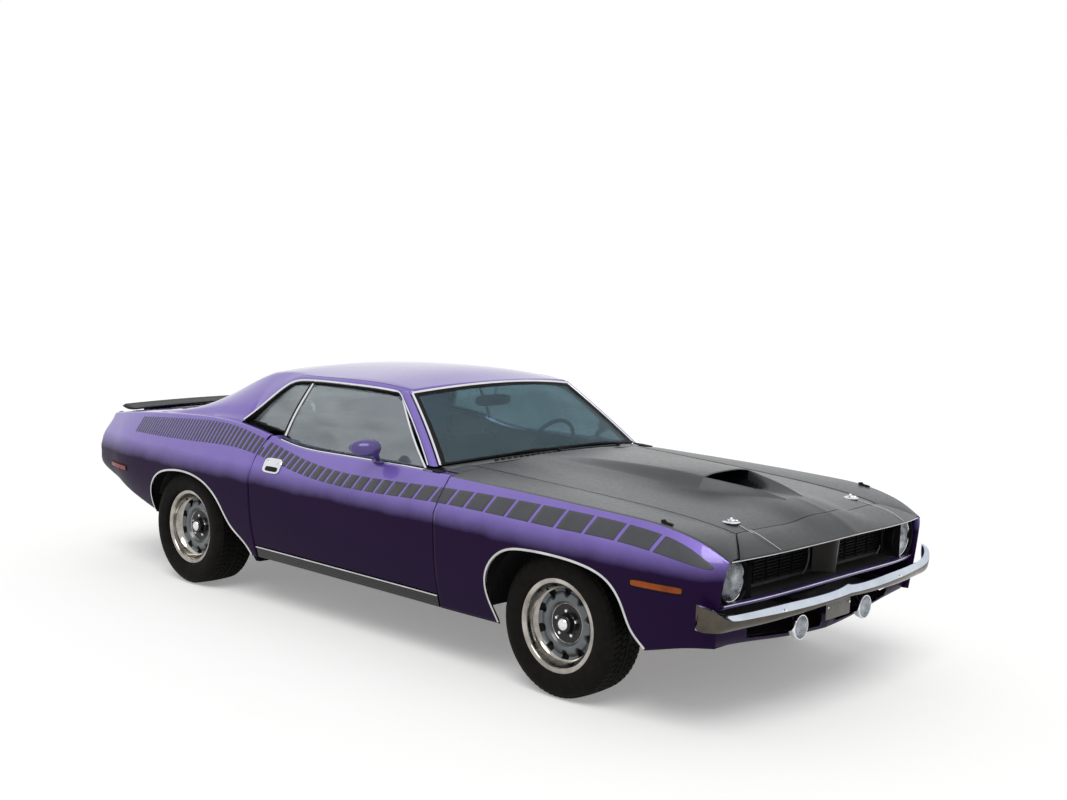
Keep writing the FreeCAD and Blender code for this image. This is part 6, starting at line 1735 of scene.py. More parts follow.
    def lamps(self) -> None:
        """Make headlamps and parking lamps: chrome ring, reflector bowl and ribbed lens."""
        metal, lens = Shell("front_lamp_bodies"), Shell("front_lamp_lenses")
        head = ((metal, table((90, -16), (90, 10), (88, 13), (85.5, 12), (84, 8), (84, -10)), CHROME, 56),
                (metal, table((0, -20), (24, -19), (48, -14), (70, -4), (84, 8)), REFLECTOR, 48),
                (lens, table((84.5, 8), (76, 13), (60, 17), (35, 20), (0, 21)), LENS_GLASS, 56))
        can = table((0, -40), (34, -38), (50, -28), (54, -10), (55, 0), (53, 4), (49, 4), (48, 0))
        parking = ((metal, can, CHROME, 44),
                   (metal, table((0, -18), (20, -16), (40, -8), (48, 0)), REFLECTOR, 36),
                   (lens, table((49, 2), (44, 6), (28, 9), (0, 10)), LENS_GLASS, 40))
        for side in (-1.0, 1.0):
            at = np.array(PARKING_LAMP) * (1, side, 1)
            for lamp, place in ((head, (GRILLE_BACK + 30.0, side * LAMP_Y, LAMP_Z)), (parking, at)):
                for shell, profile, finish, count in lamp:
                    shell.turned(profile, "x", place, finish, count)
            for k in range(-4, 5):
                half = math.sqrt(max(0.0, 42.0**2 - (9.5 * k) ** 2))
                z = np.linspace(-half, half, 8)
                bulge = 9.5 - 6.0 * (z**2 + (9.5 * k) ** 2) / 49.0**2
                lens.sweep(xyz(at[0] + bulge, at[1] + 9.5 * k, at[2] + z), round_section(1.2, 6),
                           LENS_GLASS, up=(0, 1, 0))
            stalk = soft_path([(2264.0, at[1], 430.0), (2258.0, at[1], 456.0), (2252.0, at[1], 482.0)], 6.0)
            metal.sweep(stalk, oval_section(9.0, 7.0, 12), PLASTIC, up=(1, 0, 0))
        metal.build("body", "front_lamps", slot="lamp_lens")
        lens.build("body", slot="lamp_lens")

    def valance(self) -> None:
        """Make the valance with its two openings, inner floor and the blank plate bracket."""
        shell = Shell("front_valance_panel")
        y = np.linspace(-790, 790, 159)[:, None]
        a = np.abs(y)
        t = np.linspace(0, 1, 22)[None]
        low = VALANCE_LOW_Z(a)
        z = mix(low, 474.0, t)
        x = VALANCE_X(a) - 14.0 * (1 - np.minimum(t / 0.4, 1.0)) ** 2 + 3.0 * np.sin(math.pi * t)
        grid = xyz(x, y, z)
        keep = None
        for sign in (-1.0, 1.0):
            hole = table((sign * 62, 354), (sign * 200, 354), (sign * 330, 361), (sign * 460, 371),
                         (sign * 565, 381), (sign * 580, 392), (sign * 582, 452), (sign * 572, 462),
                         (sign * 70, 462), (sign * 60, 450))
            grid, mask = trim(grid, hole, lambda p, q: VALANCE_X(np.abs(p)) + 1.0, axes=(1, 2))
            keep = mask if keep is None else keep & mask
        shell.grid(grid, PURPLE, keep, inside=(2000, 0, 420))
        bottom = grid[:, 0]
        under = np.stack([bottom, bottom - (6, 0, 3), bottom - (60.0, 0, 2.0)])
        shell.grid(under, PURPLE, inside=(2200, 0, 900))
        shell.build("body", "front_valance", thick=4.0, slot="body_paint")
        extra = Shell("valance_fittings")
        y = np.linspace(-600, 600, 31)
        floor = np.stack([xyz(VALANCE_X(np.abs(y)) - d, y, VALANCE_LOW_Z(np.abs(y)) + h) for d, h in
                          ((14.0, 26.0), (60.0, 30.0), (110.0, 60.0), (130.0, 130.0))])
        extra.grid(floor, PLASTIC, inside=(2400, 0, 600))
        extra.box((2306, -101, 393), (2311, 101, 466), BRACKET, soft=3.0)
        for side in (-1.0, 1.0):
            extra.turned(table((6.5, 0), (6.5, 3.0), (4.0, 5.0), (0, 5.2)), "x",
                         (2310.5, side * PLATE_PITCH / 2.0, 448.0), STAINLESS, 16)
            extra.box((2262, side * 30 - 8, 402), (2307, side * 30 + 8, 418), PLASTIC, soft=2.0)
        extra.build("body", slot="black_plastic")


# Section of a bumper blade, as (depth, height, fill): the face, a crisp bevel and the returns behind it.
# Where fill is 1, the hollow behind the blade closes at its tips.
BLADE = table((24, -45, 0), (13, -37, 0), (5, -27, 0), (1.5, -14, 0), (0.3, -1, 0), (0.8, 3, 0),
              (3.5, 8, 0), (11, 24, 0), (17, 38, 0), (20, 43, 0), (23, 45, 0), (29, 43, 0), (28, 38, 1),
              (20, 22, 1), (9, 3, 1), (8, -10, 1), (12, -24, 1), (21, -35, 0), (30, -42, 0), (30, -45, 0))
BLADE_FACE, BLADE_BACK = 5, 29.0


@dataclass
class Bumper:
    """A chrome blade: bevelled top with a painted sky reflection, bowed face with a painted reflection of the
    dark ground, and wrapped ends.

    sign is 1 in front and -1 at the rear. line gives the face's x at a distance from the centre line,
    half the blade's half width, middle its height and rise the lift of its bolts towards the ends.
    """

    name: str
    sign: float
    line: Line
    half: float
    middle: float
    rise: float
    bolt_y: float
    arm_y: float
    arm_x: tuple[float, float]

    def edges(self, y: Array) -> tuple[Array, Array, Array]:
        """Heights of the blade's upper edge, crease and lower edge at a distance from the centre line.

        Args:
            y: distances.

        Returns:
            The three heights.
        """
        if self.sign < 0.0:
            return self.middle + 40.0, self.middle + 8.0, self.middle - 45.0
        return FRONT_BUMPER_TOP(y) + 6.0 * np.exp(-y / 26.0), FRONT_BUMPER_CREASE(y), FRONT_BUMPER_LOW(y)

    def build(self) -> None:
        """Make the blade, its bolts and the black arms behind it."""
        s = np.sin(np.linspace(-1, 1, 121) * math.pi / 2)[:, None]
        y = s * self.half
        top, crease, low = self.edges(np.abs(y))
        depth, height, fill = BLADE.T
        tip = np.clip((1.0 - np.abs(s)) / 0.02, 0.0, 1.0) ** 0.5
        share = mix(0.9, 1.0, tip) * height / 45.0
        z = crease + np.where(share > 0, (top - crease) * share, (crease - low) * share)
        back = mix(depth, BLADE_BACK, fill * np.clip((np.abs(s) - 0.985) / 0.012, 0.0, 1.0))
        grid = capped(xyz(self.line(np.abs(y)) - self.sign * back, y, z))
        # The face and the end caps take the near-black chrome, a painted reflection of the dark ground; the
        # rest takes the bluish chrome, a painted sky reflection.
        face = np.zeros((grid.shape[0] - 1, grid.shape[1]), bool)
        face[:, :BLADE_FACE] = True
        face[[0, -1]] = True
        shell = Shell(self.name + "_blade")
        shell.grid(grid, SKY_REFLECTION_CHROME, around=True, second=(GROUND_REFLECTION_CHROME, face))
        bolt = table((8.5, -1), (8.5, 1.5), (6, 3.6), (0, 4.4)) * (1, self.sign)
        for side in (-1.0, 1.0):
            x = float(self.line(self.bolt_y)) - self.sign * 4.0
            z = self.middle + self.rise * (self.bolt_y / self.half) ** 2 - 10.0
            shell.turned(bolt, "x", (x, side * self.bolt_y, z), CHROME, 20)
            arm = side * self.arm_y
            shell.box((self.arm_x[0], arm - 16, 498), (self.arm_x[1], arm + 16, 522), UNDER, soft=4.0)
        shell.build("body", self.name, slot="chrome", sharp=28.0)


@dataclass
class Tail:
    """Trunk lid, spoiler, tail panel and lamps."""

    def build(self) -> None:
        """Make the rear of the car."""
        shell = Shell("trunk_lid_panel")
        x, s = span(-1706.0, -2240.0, 16.0)[:, None], np.linspace(-1, 1, 49)[None]
        grid = xyz(x, s * LID_HALF, mix(DECK_CENTRE_Z(x), DECK_EDGE_Z(x), s**2))
        rear = grid[-1:] + table((-2, 0, -4), (-2, 0, -16))[:, None]
        grid = np.concatenate([grid[:1] + (-1.0, 0, -10.0), grid, rear])
        side = [grid[:, :1] + (0, 1.5, -10.0), grid, grid[:, -1:] + (0, -1.5, -10.0)]
        shell.grid(np.concatenate(side, axis=1), PURPLE, inside=(-1950, 0, 0))
        shell.build("trunk", "trunk_lid", thick=6.0)
        self.spoiler()
        self.panel()

    def spoiler(self) -> None:
        """Make the ducktail blade on its closed foot."""
        shell = Shell("rear_spoiler_blade")
        s = np.sin(np.linspace(-1, 1, 61) * math.pi / 2)
        sweep, lift = 24.0 * (1 - s**2), 12.0 * (1 - s**2)
        section = table((-2098, 903), (-2120, 906.5), (-2160, 908), (-2200, 911), (-2228, 915),
                        (-2236, 915.5), (-2238.5, 912), (-2237, 902), (-2231, 889), (-2200, 885),
                        (-2150, 887), (-2110, 892), (-2098, 898))
        close = np.clip((1 - np.abs(s)) / 0.02, 0.35, 1.0)
        rows = [xyz(a - sweep, s * SPOILER_HALF, 903.0 + (b - 903.0) * close + lift) for a, b in section]
        shell.rings(np.stack(rows, axis=1), SPOILER_BLACK)
        s = np.linspace(-0.84, 0.84, 41)
        sweep = 24.0 * (1 - s**2)
        low = (-2182.0, -2122.0)
        foot = [(-2116, 896), (-2190, 892), *((a, float(DECK_EDGE_Z(a)) - 3.0) for a in low)]
        shell.rings(np.stack([xyz(a - sweep, s * SPOILER_HALF, b) for a, b in foot], axis=1), SPOILER_BLACK)
        shell.build("trunk", "rear_spoiler", slot="black_paint", sharp=50.0)

    def panel(self) -> None:
        """Make the black tail panel, six red lamps with frames and the blank plate recess."""
        shell, lens = Shell("tail_panel_face"), Shell("tail_lamp_lenses")
        z = np.array([440.0, 470, 520, 570, 600, 618, 635, 650, 670, 690, 720, 760, 800, 830, 846])
        half = Line((440, 690), (540, 756), (618, 782), (650, 798), (690, 800), (846, 730))(z)
        s = np.linspace(-1, 1, 33)[None]
        x = np.where(z < 610.0, -2258.0, -2264.0)
        grid = xyz(x[:, None], s * half[:, None], z[:, None])
        rim = grid[-1:] + np.array([(0.5, 0, 6.0), (14.0, 0, 10.0)])[:, None]
        finish = np.zeros((len(z) + 1, 32), bool)
        finish[:5] = True
        shell.grid(np.concatenate([grid, rim]), GLOSS_BLACK, inside=(-1500, 0, 640),
                   second=(PURPLE, finish))
        for side in (-1.0, 1.0):
            for k in range(3):
                y0, y1 = sorted((side * (250.0 + 152.0 * k), side * (390.0 + 152.0 * k)))
                loop = soft_path([(y0 + 12, 694), (y1 - 12, 694), (y1 - 3, 703), (y1 - 3, 777),
                                  (y1 - 12, 786), (y0 + 12, 786), (y0 + 3, 777), (y0 + 3, 703)], 9.0,
                                 closed=True)
                shell.sweep(xyz(-2266.0, loop[:, 0], loop[:, 1]), oval_section(3.0, 3.0, 8), CHROME,
                            up=(-1, 0, 0), closed=True)
                centre = loop.mean(axis=0)
                dome = ((1.0, 0.0), (0.98, 4.0), (0.9, 6.0), (0.5, 7.0))
                layers = [xyz(-2263.0 - h, *(centre + (loop - centre) * g).T) for g, h in dome]
                lens.rings(np.stack(layers), RED_LENS)
        shell.box((-2267, -160, 700), (-2264.5, 160, 826), PLASTIC, soft=2.0)
        for y in (-PLATE_PITCH / 2.0, PLATE_PITCH / 2.0):
            shell.turned(table((6, 0), (6, -2.5), (0, -4)), "x", (-2267.0, y, 780.0), STAINLESS, 16)
        shell.build("body", "tail_panel", slot="black_paint")
        lens.build("body", "tail_lamps", slot="red_lens")


@dataclass
class Gutters:
    """Dark rain channels under the seams of the hood and the trunk lid."""

    depth: float = 24.0
    reach: float = 15.0

    def channel(self, shell: Shell, path: Array, side: Sequence[float], both: bool = False) -> None:
        """Add a channel under a seam.

        Args:
            shell: mesh that takes it.
            path: points along the seam.
            side: direction across the seam.
            both: whether the other side of the car gets one too.
        """
        across = np.asarray(side, float)
        rows = [path + across * k * self.reach - (0, 0, self.depth - h) for k, h in (
            (-1.1, 9.0), (-1.0, 1.0), (-0.8, 0.0), (0.8, 0.0), (1.0, 1.0), (1.1, 9.0))]
        shell.grid(np.stack(rows, axis=1), UNDER, inside=tuple(path.mean(axis=0) - (0, 0, 400.0)),
                   both=both)

    def build(self) -> None:
        """Make the channels."""
        shell = Shell("rain_gutters")
        x = span(676.0, 2132.0, 16.0)
        self.channel(shell, xyz(x, -(hood_half(x) + GAP / 2.0), HOOD_EDGE_Z(x)), (0, 1, 0), both=True)
        v = np.linspace(-1.0, 1.0, 61)
        x = mix(*HOOD_FRONT, np.abs(v)) + GAP / 2.0
        self.channel(shell, xyz(x, v * 574.0, hood_z(x, np.abs(v))), (1, 0, 0))
        x = span(-2228.0, -1708.0, 16.0)
        self.channel(shell, xyz(x, -(LID_HALF + GAP / 2.0), DECK_EDGE_Z(x)), (0, 1, 0), both=True)
        shell.build("body", slot="underbody", thick=1.6)


@dataclass
class SideTrim:
    """Bright arch lips, sills, marker lamps and fender-top indicators."""

    def build(self) -> None:
        """Make the trims of both sides."""
        lips = Shell("arch_lips")
        section = table((-10, -2), (-9, 1.5), (-5, 3.2), (-1, 3.4), (1.5, 2.0), (2.0, -6.0), (0.5, -9.0),
                        (-0.5, -3.0))
        for arch in (FRONT_ARCH, REAR_ARCH):
            x, z = arch[:, 0], arch[:, 1]
            on = z > BOTTOM_Z(x) - 4.0
            lips.sweep(xyz(x, -side_y(x, z), z)[on], section, STAINLESS, up=(0, -1, 0), both=True)
        lips.build("body", slot="chrome")
        house = Shell("rear_wheelhouse_liners")
        x, z = REAR_ARCH[:, 0], REAR_ARCH[:, 1]
        push = 1.0 + 16.0 / np.hypot(x - REAR_AXLE, z - WHEEL_Z)
        x1, z1 = mix(REAR_AXLE, x, push), mix(WHEEL_Z, z, push)
        rows = [xyz(x, -(side_y(x, z) - 9.0), z), xyz(x1, -(side_y(x, z) - 24.0), z1), xyz(x1, -700.0, z1),
                xyz(x1, -610.0, z1), xyz(mix(REAR_AXLE, x1, 0.5), -606.0, mix(WHEEL_Z, z1, 0.5)),
                xyz(np.full_like(x, REAR_AXLE), -606.0, WHEEL_Z)]
        house.grid(np.stack(rows), UNDER, inside=(REAR_AXLE, -2000.0, WHEEL_Z), both=True)
        house.build("body", slot="underbody")
        sills = Shell("sill_strips")
        x = span(-664.0, 714.0, 6.0)[:, None]
        t = np.linspace(0, 1, 26)[None]
        z = mix(SILL_LOW, SILL_TOP, t)
        rib = 1.6 * np.abs(np.sin(t * math.pi * 6.0)) * (t < 0.86)
        sills.grid(xyz(x, -(side_y(x, z) + rib), z), GLOSS_BLACK, inside=(0, 0, 290), both=True)
        flat = xyz(x[:, 0], -(side_y(x[:, 0], 0 * x[:, 0] + SILL_TOP)), SILL_TOP + 1.0)
        inner = flat * (1, 0, 1) + (0, -754.0, 0)
        low = xyz(x[:, 0], -(side_y(x[:, 0], 0 * x[:, 0] + SILL_LOW)), 258.6)
        sills.grid(np.stack([flat, inner, inner - (0, 0, 60.0), low]), UNDER, inside=(0, -820, 290),
                   both=True)
        ledge = SILL_TOP - 2.0
        top = xyz(x[:, 0], -(side_y(x[:, 0], 0 * x[:, 0] + ledge) + 1.5), ledge)
        sills.sweep(top, oval_section(3.2, 3.2, 10), STAINLESS, both=True)
        sills.build("body", "sills", slot="body_paint")
        marks = Shell("side_marker_lamps")
        for x0, x1, z0, z1, finish in ((1882, 2116, 593, 619, AMBER), (-2128, -1908, 562, 590, RED_LENS)):
            self.marker(marks, x0, x1, z0, z1, finish)
        marks.build("body", "side_markers", slot="marker_lens")
        indicators = Shell("fender_top_indicators")
        for side in (-1.0, 1.0):
            base = np.array((1962.0, side * 800.0, float(PEAK_Z(1962.0)) + 2.0))
            a, b = ring(1.0, 24)
            rings = [base + np.stack([a * w - (h > 4) * 8.0, b * d, 0 * a + h - (a > 0) * h * 0.6], -1)
                     for w, d, h in ((32, 11, -8), (31, 11, 3), (26, 8, 11), (12, 4, 14))]
            indicators.rings(np.stack(rings), PLASTIC)
        indicators.build("body", slot="black_plastic")

    def marker(self, shell: Shell, x0: float, x1: float, z0: float, z1: float, finish: Finish) -> None:
        """Add a slim lens in a dark frame on the right side, and its mirror image.

        Args:
            shell: takes the grids.
            x0, x1, z0, z1: the lens's edges.
            finish: of the lens.
        """
        cx, cz, w, h = (x0 + x1) / 2, (z0 + z1) / 2, (x1 - x0) / 2, (z1 - z0) / 2
        loop = unit_loop(40, 8.0)
        for grow, heights, skin in ((5.0, (0.4, 3.0, 4.5), PLASTIC), (0.0, (2.0, 5.5, 6.5), finish)):
            rings = []
            for k, height in enumerate(heights):
                px, pz = cx + loop[:, 0] * (w + grow - k * 1.0), cz + loop[:, 1] * (h + grow - k * 1.0)
                rings.append(xyz(px, -(side_y(px, pz) + height), pz))
            shell.rings(np.stack(rings), skin, both=True)


@dataclass
class Stripe:
    """Rows of slanted blocks along the side that grow longer towards the nose."""

    lean: float = 15.0
    proud: float = 0.7
    SEPARATORS: tuple[float, ...] = (1970, 1793, 1621, 1465, 1319, 1172, 1038, 911, 802, 679, 572, 475, 377,
                                     297, 217, 137, 61, -8, -72, -132, -199, -256, -308, -357, -407)

    def places(self) -> list[float]:
        """Carry the separators on to the tail, each a pitch behind the last.

        Returns:
            All places from the nose to the tail.
        """
        found = list(self.SEPARATORS)
        while found[-1] > -1850.0:
            found.append(found[-1] - float(STRIPE_PITCH(found[-1])))
        return found

    def block(self, front: float, rear: float,
              area: Callable[[Array], tuple[Array, Array]]) -> Optional[Array]:
        """Grid of one block between two separators, kept inside its panel.

        Args:
            front, rear: the separators' places at mid height.
            area: gives the panel's rear and front limits at heights z.

        Returns:
            The points, or None where nothing is left.
        """
        gap = np.interp(0.5 * (front + rear), *table((-1900, -700, 300, 1200, 2000), (10.5, 13, 15, 17, 18)))
        t = np.linspace(0.0, 1.0, 10)[None]
        end = front + self.lean * (2 * t - 1) - gap / 2
        if front > 2000.0:
            end = 2196.0 + 26.0 * np.sqrt(np.clip(1.0 - (2 * t - 1) ** 2, 0.0, 1.0))
        start = rear + self.lean * (2 * t - 1) + gap / 2
        middle = 0.5 * (start + end)
        z = mix(STRIPE_LOW(middle), STRIPE_TOP(middle), t)
        limits = area(z)
        end, start = np.minimum(end, limits[1]), np.maximum(start, limits[0])
        if float((end - start).max()) < 3.0:
            return None
        end = np.maximum(end, start + 0.2)
        u = np.linspace(0.0, 1.0, max(4, int((end - start).max() / 14.0)))[:, None]
        x = mix(start, end, u)
        z = mix(STRIPE_LOW(x), STRIPE_TOP(x), t)
        return xyz(x, -(side_y(x, z) + self.proud), z)

    def build(self) -> None:
        """Make the blocks of the fenders, the doors and the quarter panels."""
        far = 9999.0

        def door_rear(z: Array) -> Array:
            """Rear edge of the door."""
            return DOOR_REAR + SHUT_X(z)

        def door_area(z: Array) -> tuple[Array, Array]:
            """Rear and front limits of the blocks on a door."""
            return door_rear(z) + 1.0, 0 * z + DOOR_FRONT - 1.0

        def fender_area(z: Array) -> tuple[Array, Array]:
            """Rear and front limits of the blocks on a fender."""
            return 0 * z + DOOR_FRONT + GAP + 1.0, 0 * z + far

        def quarter_area(z: Array) -> tuple[Array, Array]:
            """Rear and front limits of the blocks on a quarter panel."""
            return 0 * z - far, door_rear(z) - GAP - 1.0

        parts = (("stripe_fenders", "body", False, fender_area, True),
                 ("stripe_quarters", "body", False, quarter_area, True),
                 ("stripe_door_right", "door_right", False, door_area, False),
                 ("stripe_door_left", "door_left", True, door_area, False))
        places = [2222.0] + self.places()
        for name, body, left, area, both in parts:
            shell = Shell(name, left)
            for front, rear in zip(places, places[1:]):
                grid = self.block(front, rear, area)
                if grid is not None:
                    shell.grid(grid, STRIPE, inside=(float(grid[..., 0].mean()), 0, 700), both=both)
            shell.build(body, slot="black_paint", thick=0.5)


@dataclass
class Wheel:
    """Tyre with tread and a slotted steel wheel in a chrome trim ring."""

    name: str
    body: str
    x: float
    track: float
    width: float
    left: bool
    pitches: int = 66
    samples: int = 6
    windows: int = 10

    def build(self) -> None:
        """Make the tyre and the wheel."""
        self.tyre()
        self.rim()

    def node(self, kind: str) -> str:
        """Name of the CAD node that this wheel's tyre or rim stands for."""
        return f"{kind}_{self.name}"

    def polar(self, radius: Array | float, off: Array | float, angle: Array) -> Array:
        """Points at a radius and angle round the axle, off inwards from the wheel's middle."""
        return xyz(self.x + radius * np.cos(angle), off - self.track / 2.0,
                   WHEEL_Z + radius * np.sin(angle))

    def tyre(self) -> None:
        """Make the tyre: bead, rounded sidewall, shoulder and grooved tread.

        The crown is radius - 3.6 s^2 at a share s of the tread's half width. Two pairs of grooves go round
        it, and slanted cuts whose phase grows with the share cross its blocks and shoulders.
        """
        half = self.width / 2.0
        side = soft_path([(192.0, 92.0), (204.0, 97.0), (212.0, half - 12.0), (232.0, half - 4.0),
                          (262.0, half - 0.5), (288.0, half - 6.0), (304.0, half - 16.0),
                          (313.0, half - 27.0)], 5.0)
        edge = half - 29.0
        tread = np.linspace(edge, -edge, 47)
        crown = WHEEL_Z - 3.6 * (tread / edge) ** 2
        radius = np.concatenate([side[:, 0], crown, side[::-1, 0]])
        across = np.concatenate([side[:, 1], tread, -side[::-1, 1]])
        turn = np.arange(self.pitches * self.samples) / self.samples
        share = np.abs(across / edge)[:, None]
        on = np.abs(across)[:, None] < edge + 0.5
        groove = np.abs(share - (0.16, 0.52)).min(axis=1, keepdims=True) < 0.03
        cut = ((turn + 0.9 * share + 0.35 * (share > 0.52)) % 1.0) < 0.18
        shoulder = (radius > 306.0)[:, None] & ~on
        slots = np.maximum(5.0 * (on & cut & (share > 0.2)), 3.0 * (shoulder & cut))
        depth = np.maximum(6.5 * (on & groove), slots)
        shell = Shell("tyre_" + self.name, self.left)
        shell.grid(self.polar(radius[:, None] - depth, -across[:, None], turn * 2 * math.pi / self.pitches),
                   TYRE, around=True)
        shell.build(self.body, self.node("tyre"), slot="tyre_rubber", sharp=38.0)

    def rim(self) -> None:
        """Make the wheel: trim ring, barrel, dish with its windows, black centre, nuts, cap and drum."""
        shell = Shell("wheel_" + self.name, self.left)
        at = (self.x, -self.track / 2.0, WHEEL_Z)
        inside = (self.x, 200.0 - self.track / 2.0, WHEEL_Z)
        trim_ring = soft_path([(207.5, -97.0), (208.5, -101.0), (206.0, -103.5), (199.0, -104.0),
                               (191.0, -102.5), (186.0, -98.0), (181.0, -84.0), (174.0, -66.0),
                               (165.0, -52.0), (158.0, -46.0)], 3.0)
        barrel = table((190, -96), (183, -90), (183, 90), (190, 96), (206, 97), (206, 101), (188, 101),
                       (180, 92), (180, -60), (160, -46))
        turned = ((trim_ring, RING, 96), (barrel, WHEEL_GREY, 72),
                  (table((118, -24), (150, -22), (160, -30), (166, -40)), PLASTIC, 72),
                  (table((87.5, -27.5), (86, -33.5), (81, -34), (66, -31), (46, -31), (42, -36), (40, -60),
                         (36.5, -64), (30, -64)), GLOSS_BLACK, 60),
                  (table((88.5, -30), (89.5, -35), (87.5, -36), (85.5, -34)), RING, 60),
                  (table((27.5, -60), (27.5, -66), (24, -71), (17, -75), (8, -77.5), (0, -78)), CHROME, 40),
                  (table((0, 30), (132, 30), (136, 34), (136, 50), (132, 54), (0, 54)), CAST, 48),
                  (table((0, -20), (118, -22), (118, -16), (0, -14)), PLASTIC, 40))
        for profile, finish, count in turned:
            shell.turned(profile, "y", at, finish, count)
        self.dish(shell, inside)
        for k in range(5):
            nut = self.polar(LUG_CIRCLE, 0.0, math.radians(90.0 + 72.0 * k))
            shell.turned(table((9.5, -29), (9.5, -42), (7, -46), (0, -47.5)), "y", nut, CHROME, 6)
        valve = self.polar(168.0, -4.0, 2.2)
        shell.turned(table((4, -38), (4, -58), (2.5, -60), (0, -60)), "y", valve, RUBBER_SEAL, 12)
        shell.build(self.body, self.node("rim"), slot="wheel_steel", sharp=32.0)

    def dish(self, shell: Shell, inside: Sequence[float]) -> None:
        """Add the pressed centre disc, whose edge waves in at each window, and the bridges between windows.

        The edge's radius is r - 17 w exp(-((phase - 0.5) / 0.17)^4), where w grows to 1 at the rim.

        Args:
            shell: takes the grids.
            inside: the point that their faces turn away from.
        """
        angle = np.arange(240) * 2 * math.pi / 240
        wave = (angle * self.windows / (2 * math.pi)) % 1.0
        scallop = 17.0 * np.exp(-(((wave - 0.5) / 0.17) ** 4))
        disc = table((44, -24, 0), (78, -26, 0), (88, -30, 0), (94, -40, 0), (100, -47, 0), (112, -50, 0),
                     (122, -49, 0.35), (132, -46, 0.8), (138, -42, 1), (141, -36, 1), (141.5, -26, 1))
        rows = self.polar(disc[:, :1] - scallop * disc[:, 2:], disc[:, 1:2], angle)
        shell.grid(rows, WHEEL_GREY, around=True, inside=inside)
        bridge = table((140, -36), (146, -33), (154, -36), (161, -45))
        for k in range(self.windows):
            arc = 2 * math.pi * k / self.windows + np.linspace(-0.19, 0.19, 12)
            shell.grid(self.polar(bridge[:, :1], bridge[:, 1:], arc), WHEEL_GREY, inside=inside)


def cushion(shell: Shell, centre: Sequence[float], size: Sequence[float], finish: Finish, lean: float = 0.0,
            channels: int = 0, power: float = 4.0) -> None:
    """Add a crowned, closed cushion with sewn channels.

    Its skin is |a|^p + |b|^p + |c|^p = 1 over a sphere's grid, and at a distance d from each seam its
    thin axis is 1 - 0.16 exp(-(d / 8)^2) of its size.

    Args:
        shell: takes the grid.
        centre: of the cushion.
        size: half sizes along x, y and z before it leans.
        finish: of the cushion.
        lean: turn about Y in degrees, top towards the rear.
        channels: seams that run along x (or z on a back).
        power: squareness.
    """
    u = np.linspace(-math.pi / 2, math.pi / 2, 33)[:, None]
    v = (np.arange(64) * 2 * math.pi / 64)[None]
    raw = np.stack(np.broadcast_arrays(np.cos(u) * np.cos(v), np.cos(u) * np.sin(v), np.sin(u)), axis=-1)
    grow = (np.abs(raw) ** power).sum(-1, keepdims=True) ** (-1.0 / power)
    unit = raw * grow
    p = unit * np.array(size, float)
    if channels:
        seams = np.linspace(-0.72, 0.72, channels) * size[1]
        d = np.abs(p[..., 1:2] - seams).min(axis=-1)
        thin = int(np.argmin(size))
        p[..., thin] *= 1.0 - 0.16 * np.exp(-((d / 8.0) ** 2)) * (np.abs(unit[..., thin]) > 0.4)
    a = math.radians(lean)
    x = p[..., 0] * math.cos(a) - p[..., 2] * math.sin(a)
    z = p[..., 0] * math.sin(a) + p[..., 2] * math.cos(a)
    shell.grid(xyz(x, p[..., 1], z) + np.array(centre, float), finish, around=True)


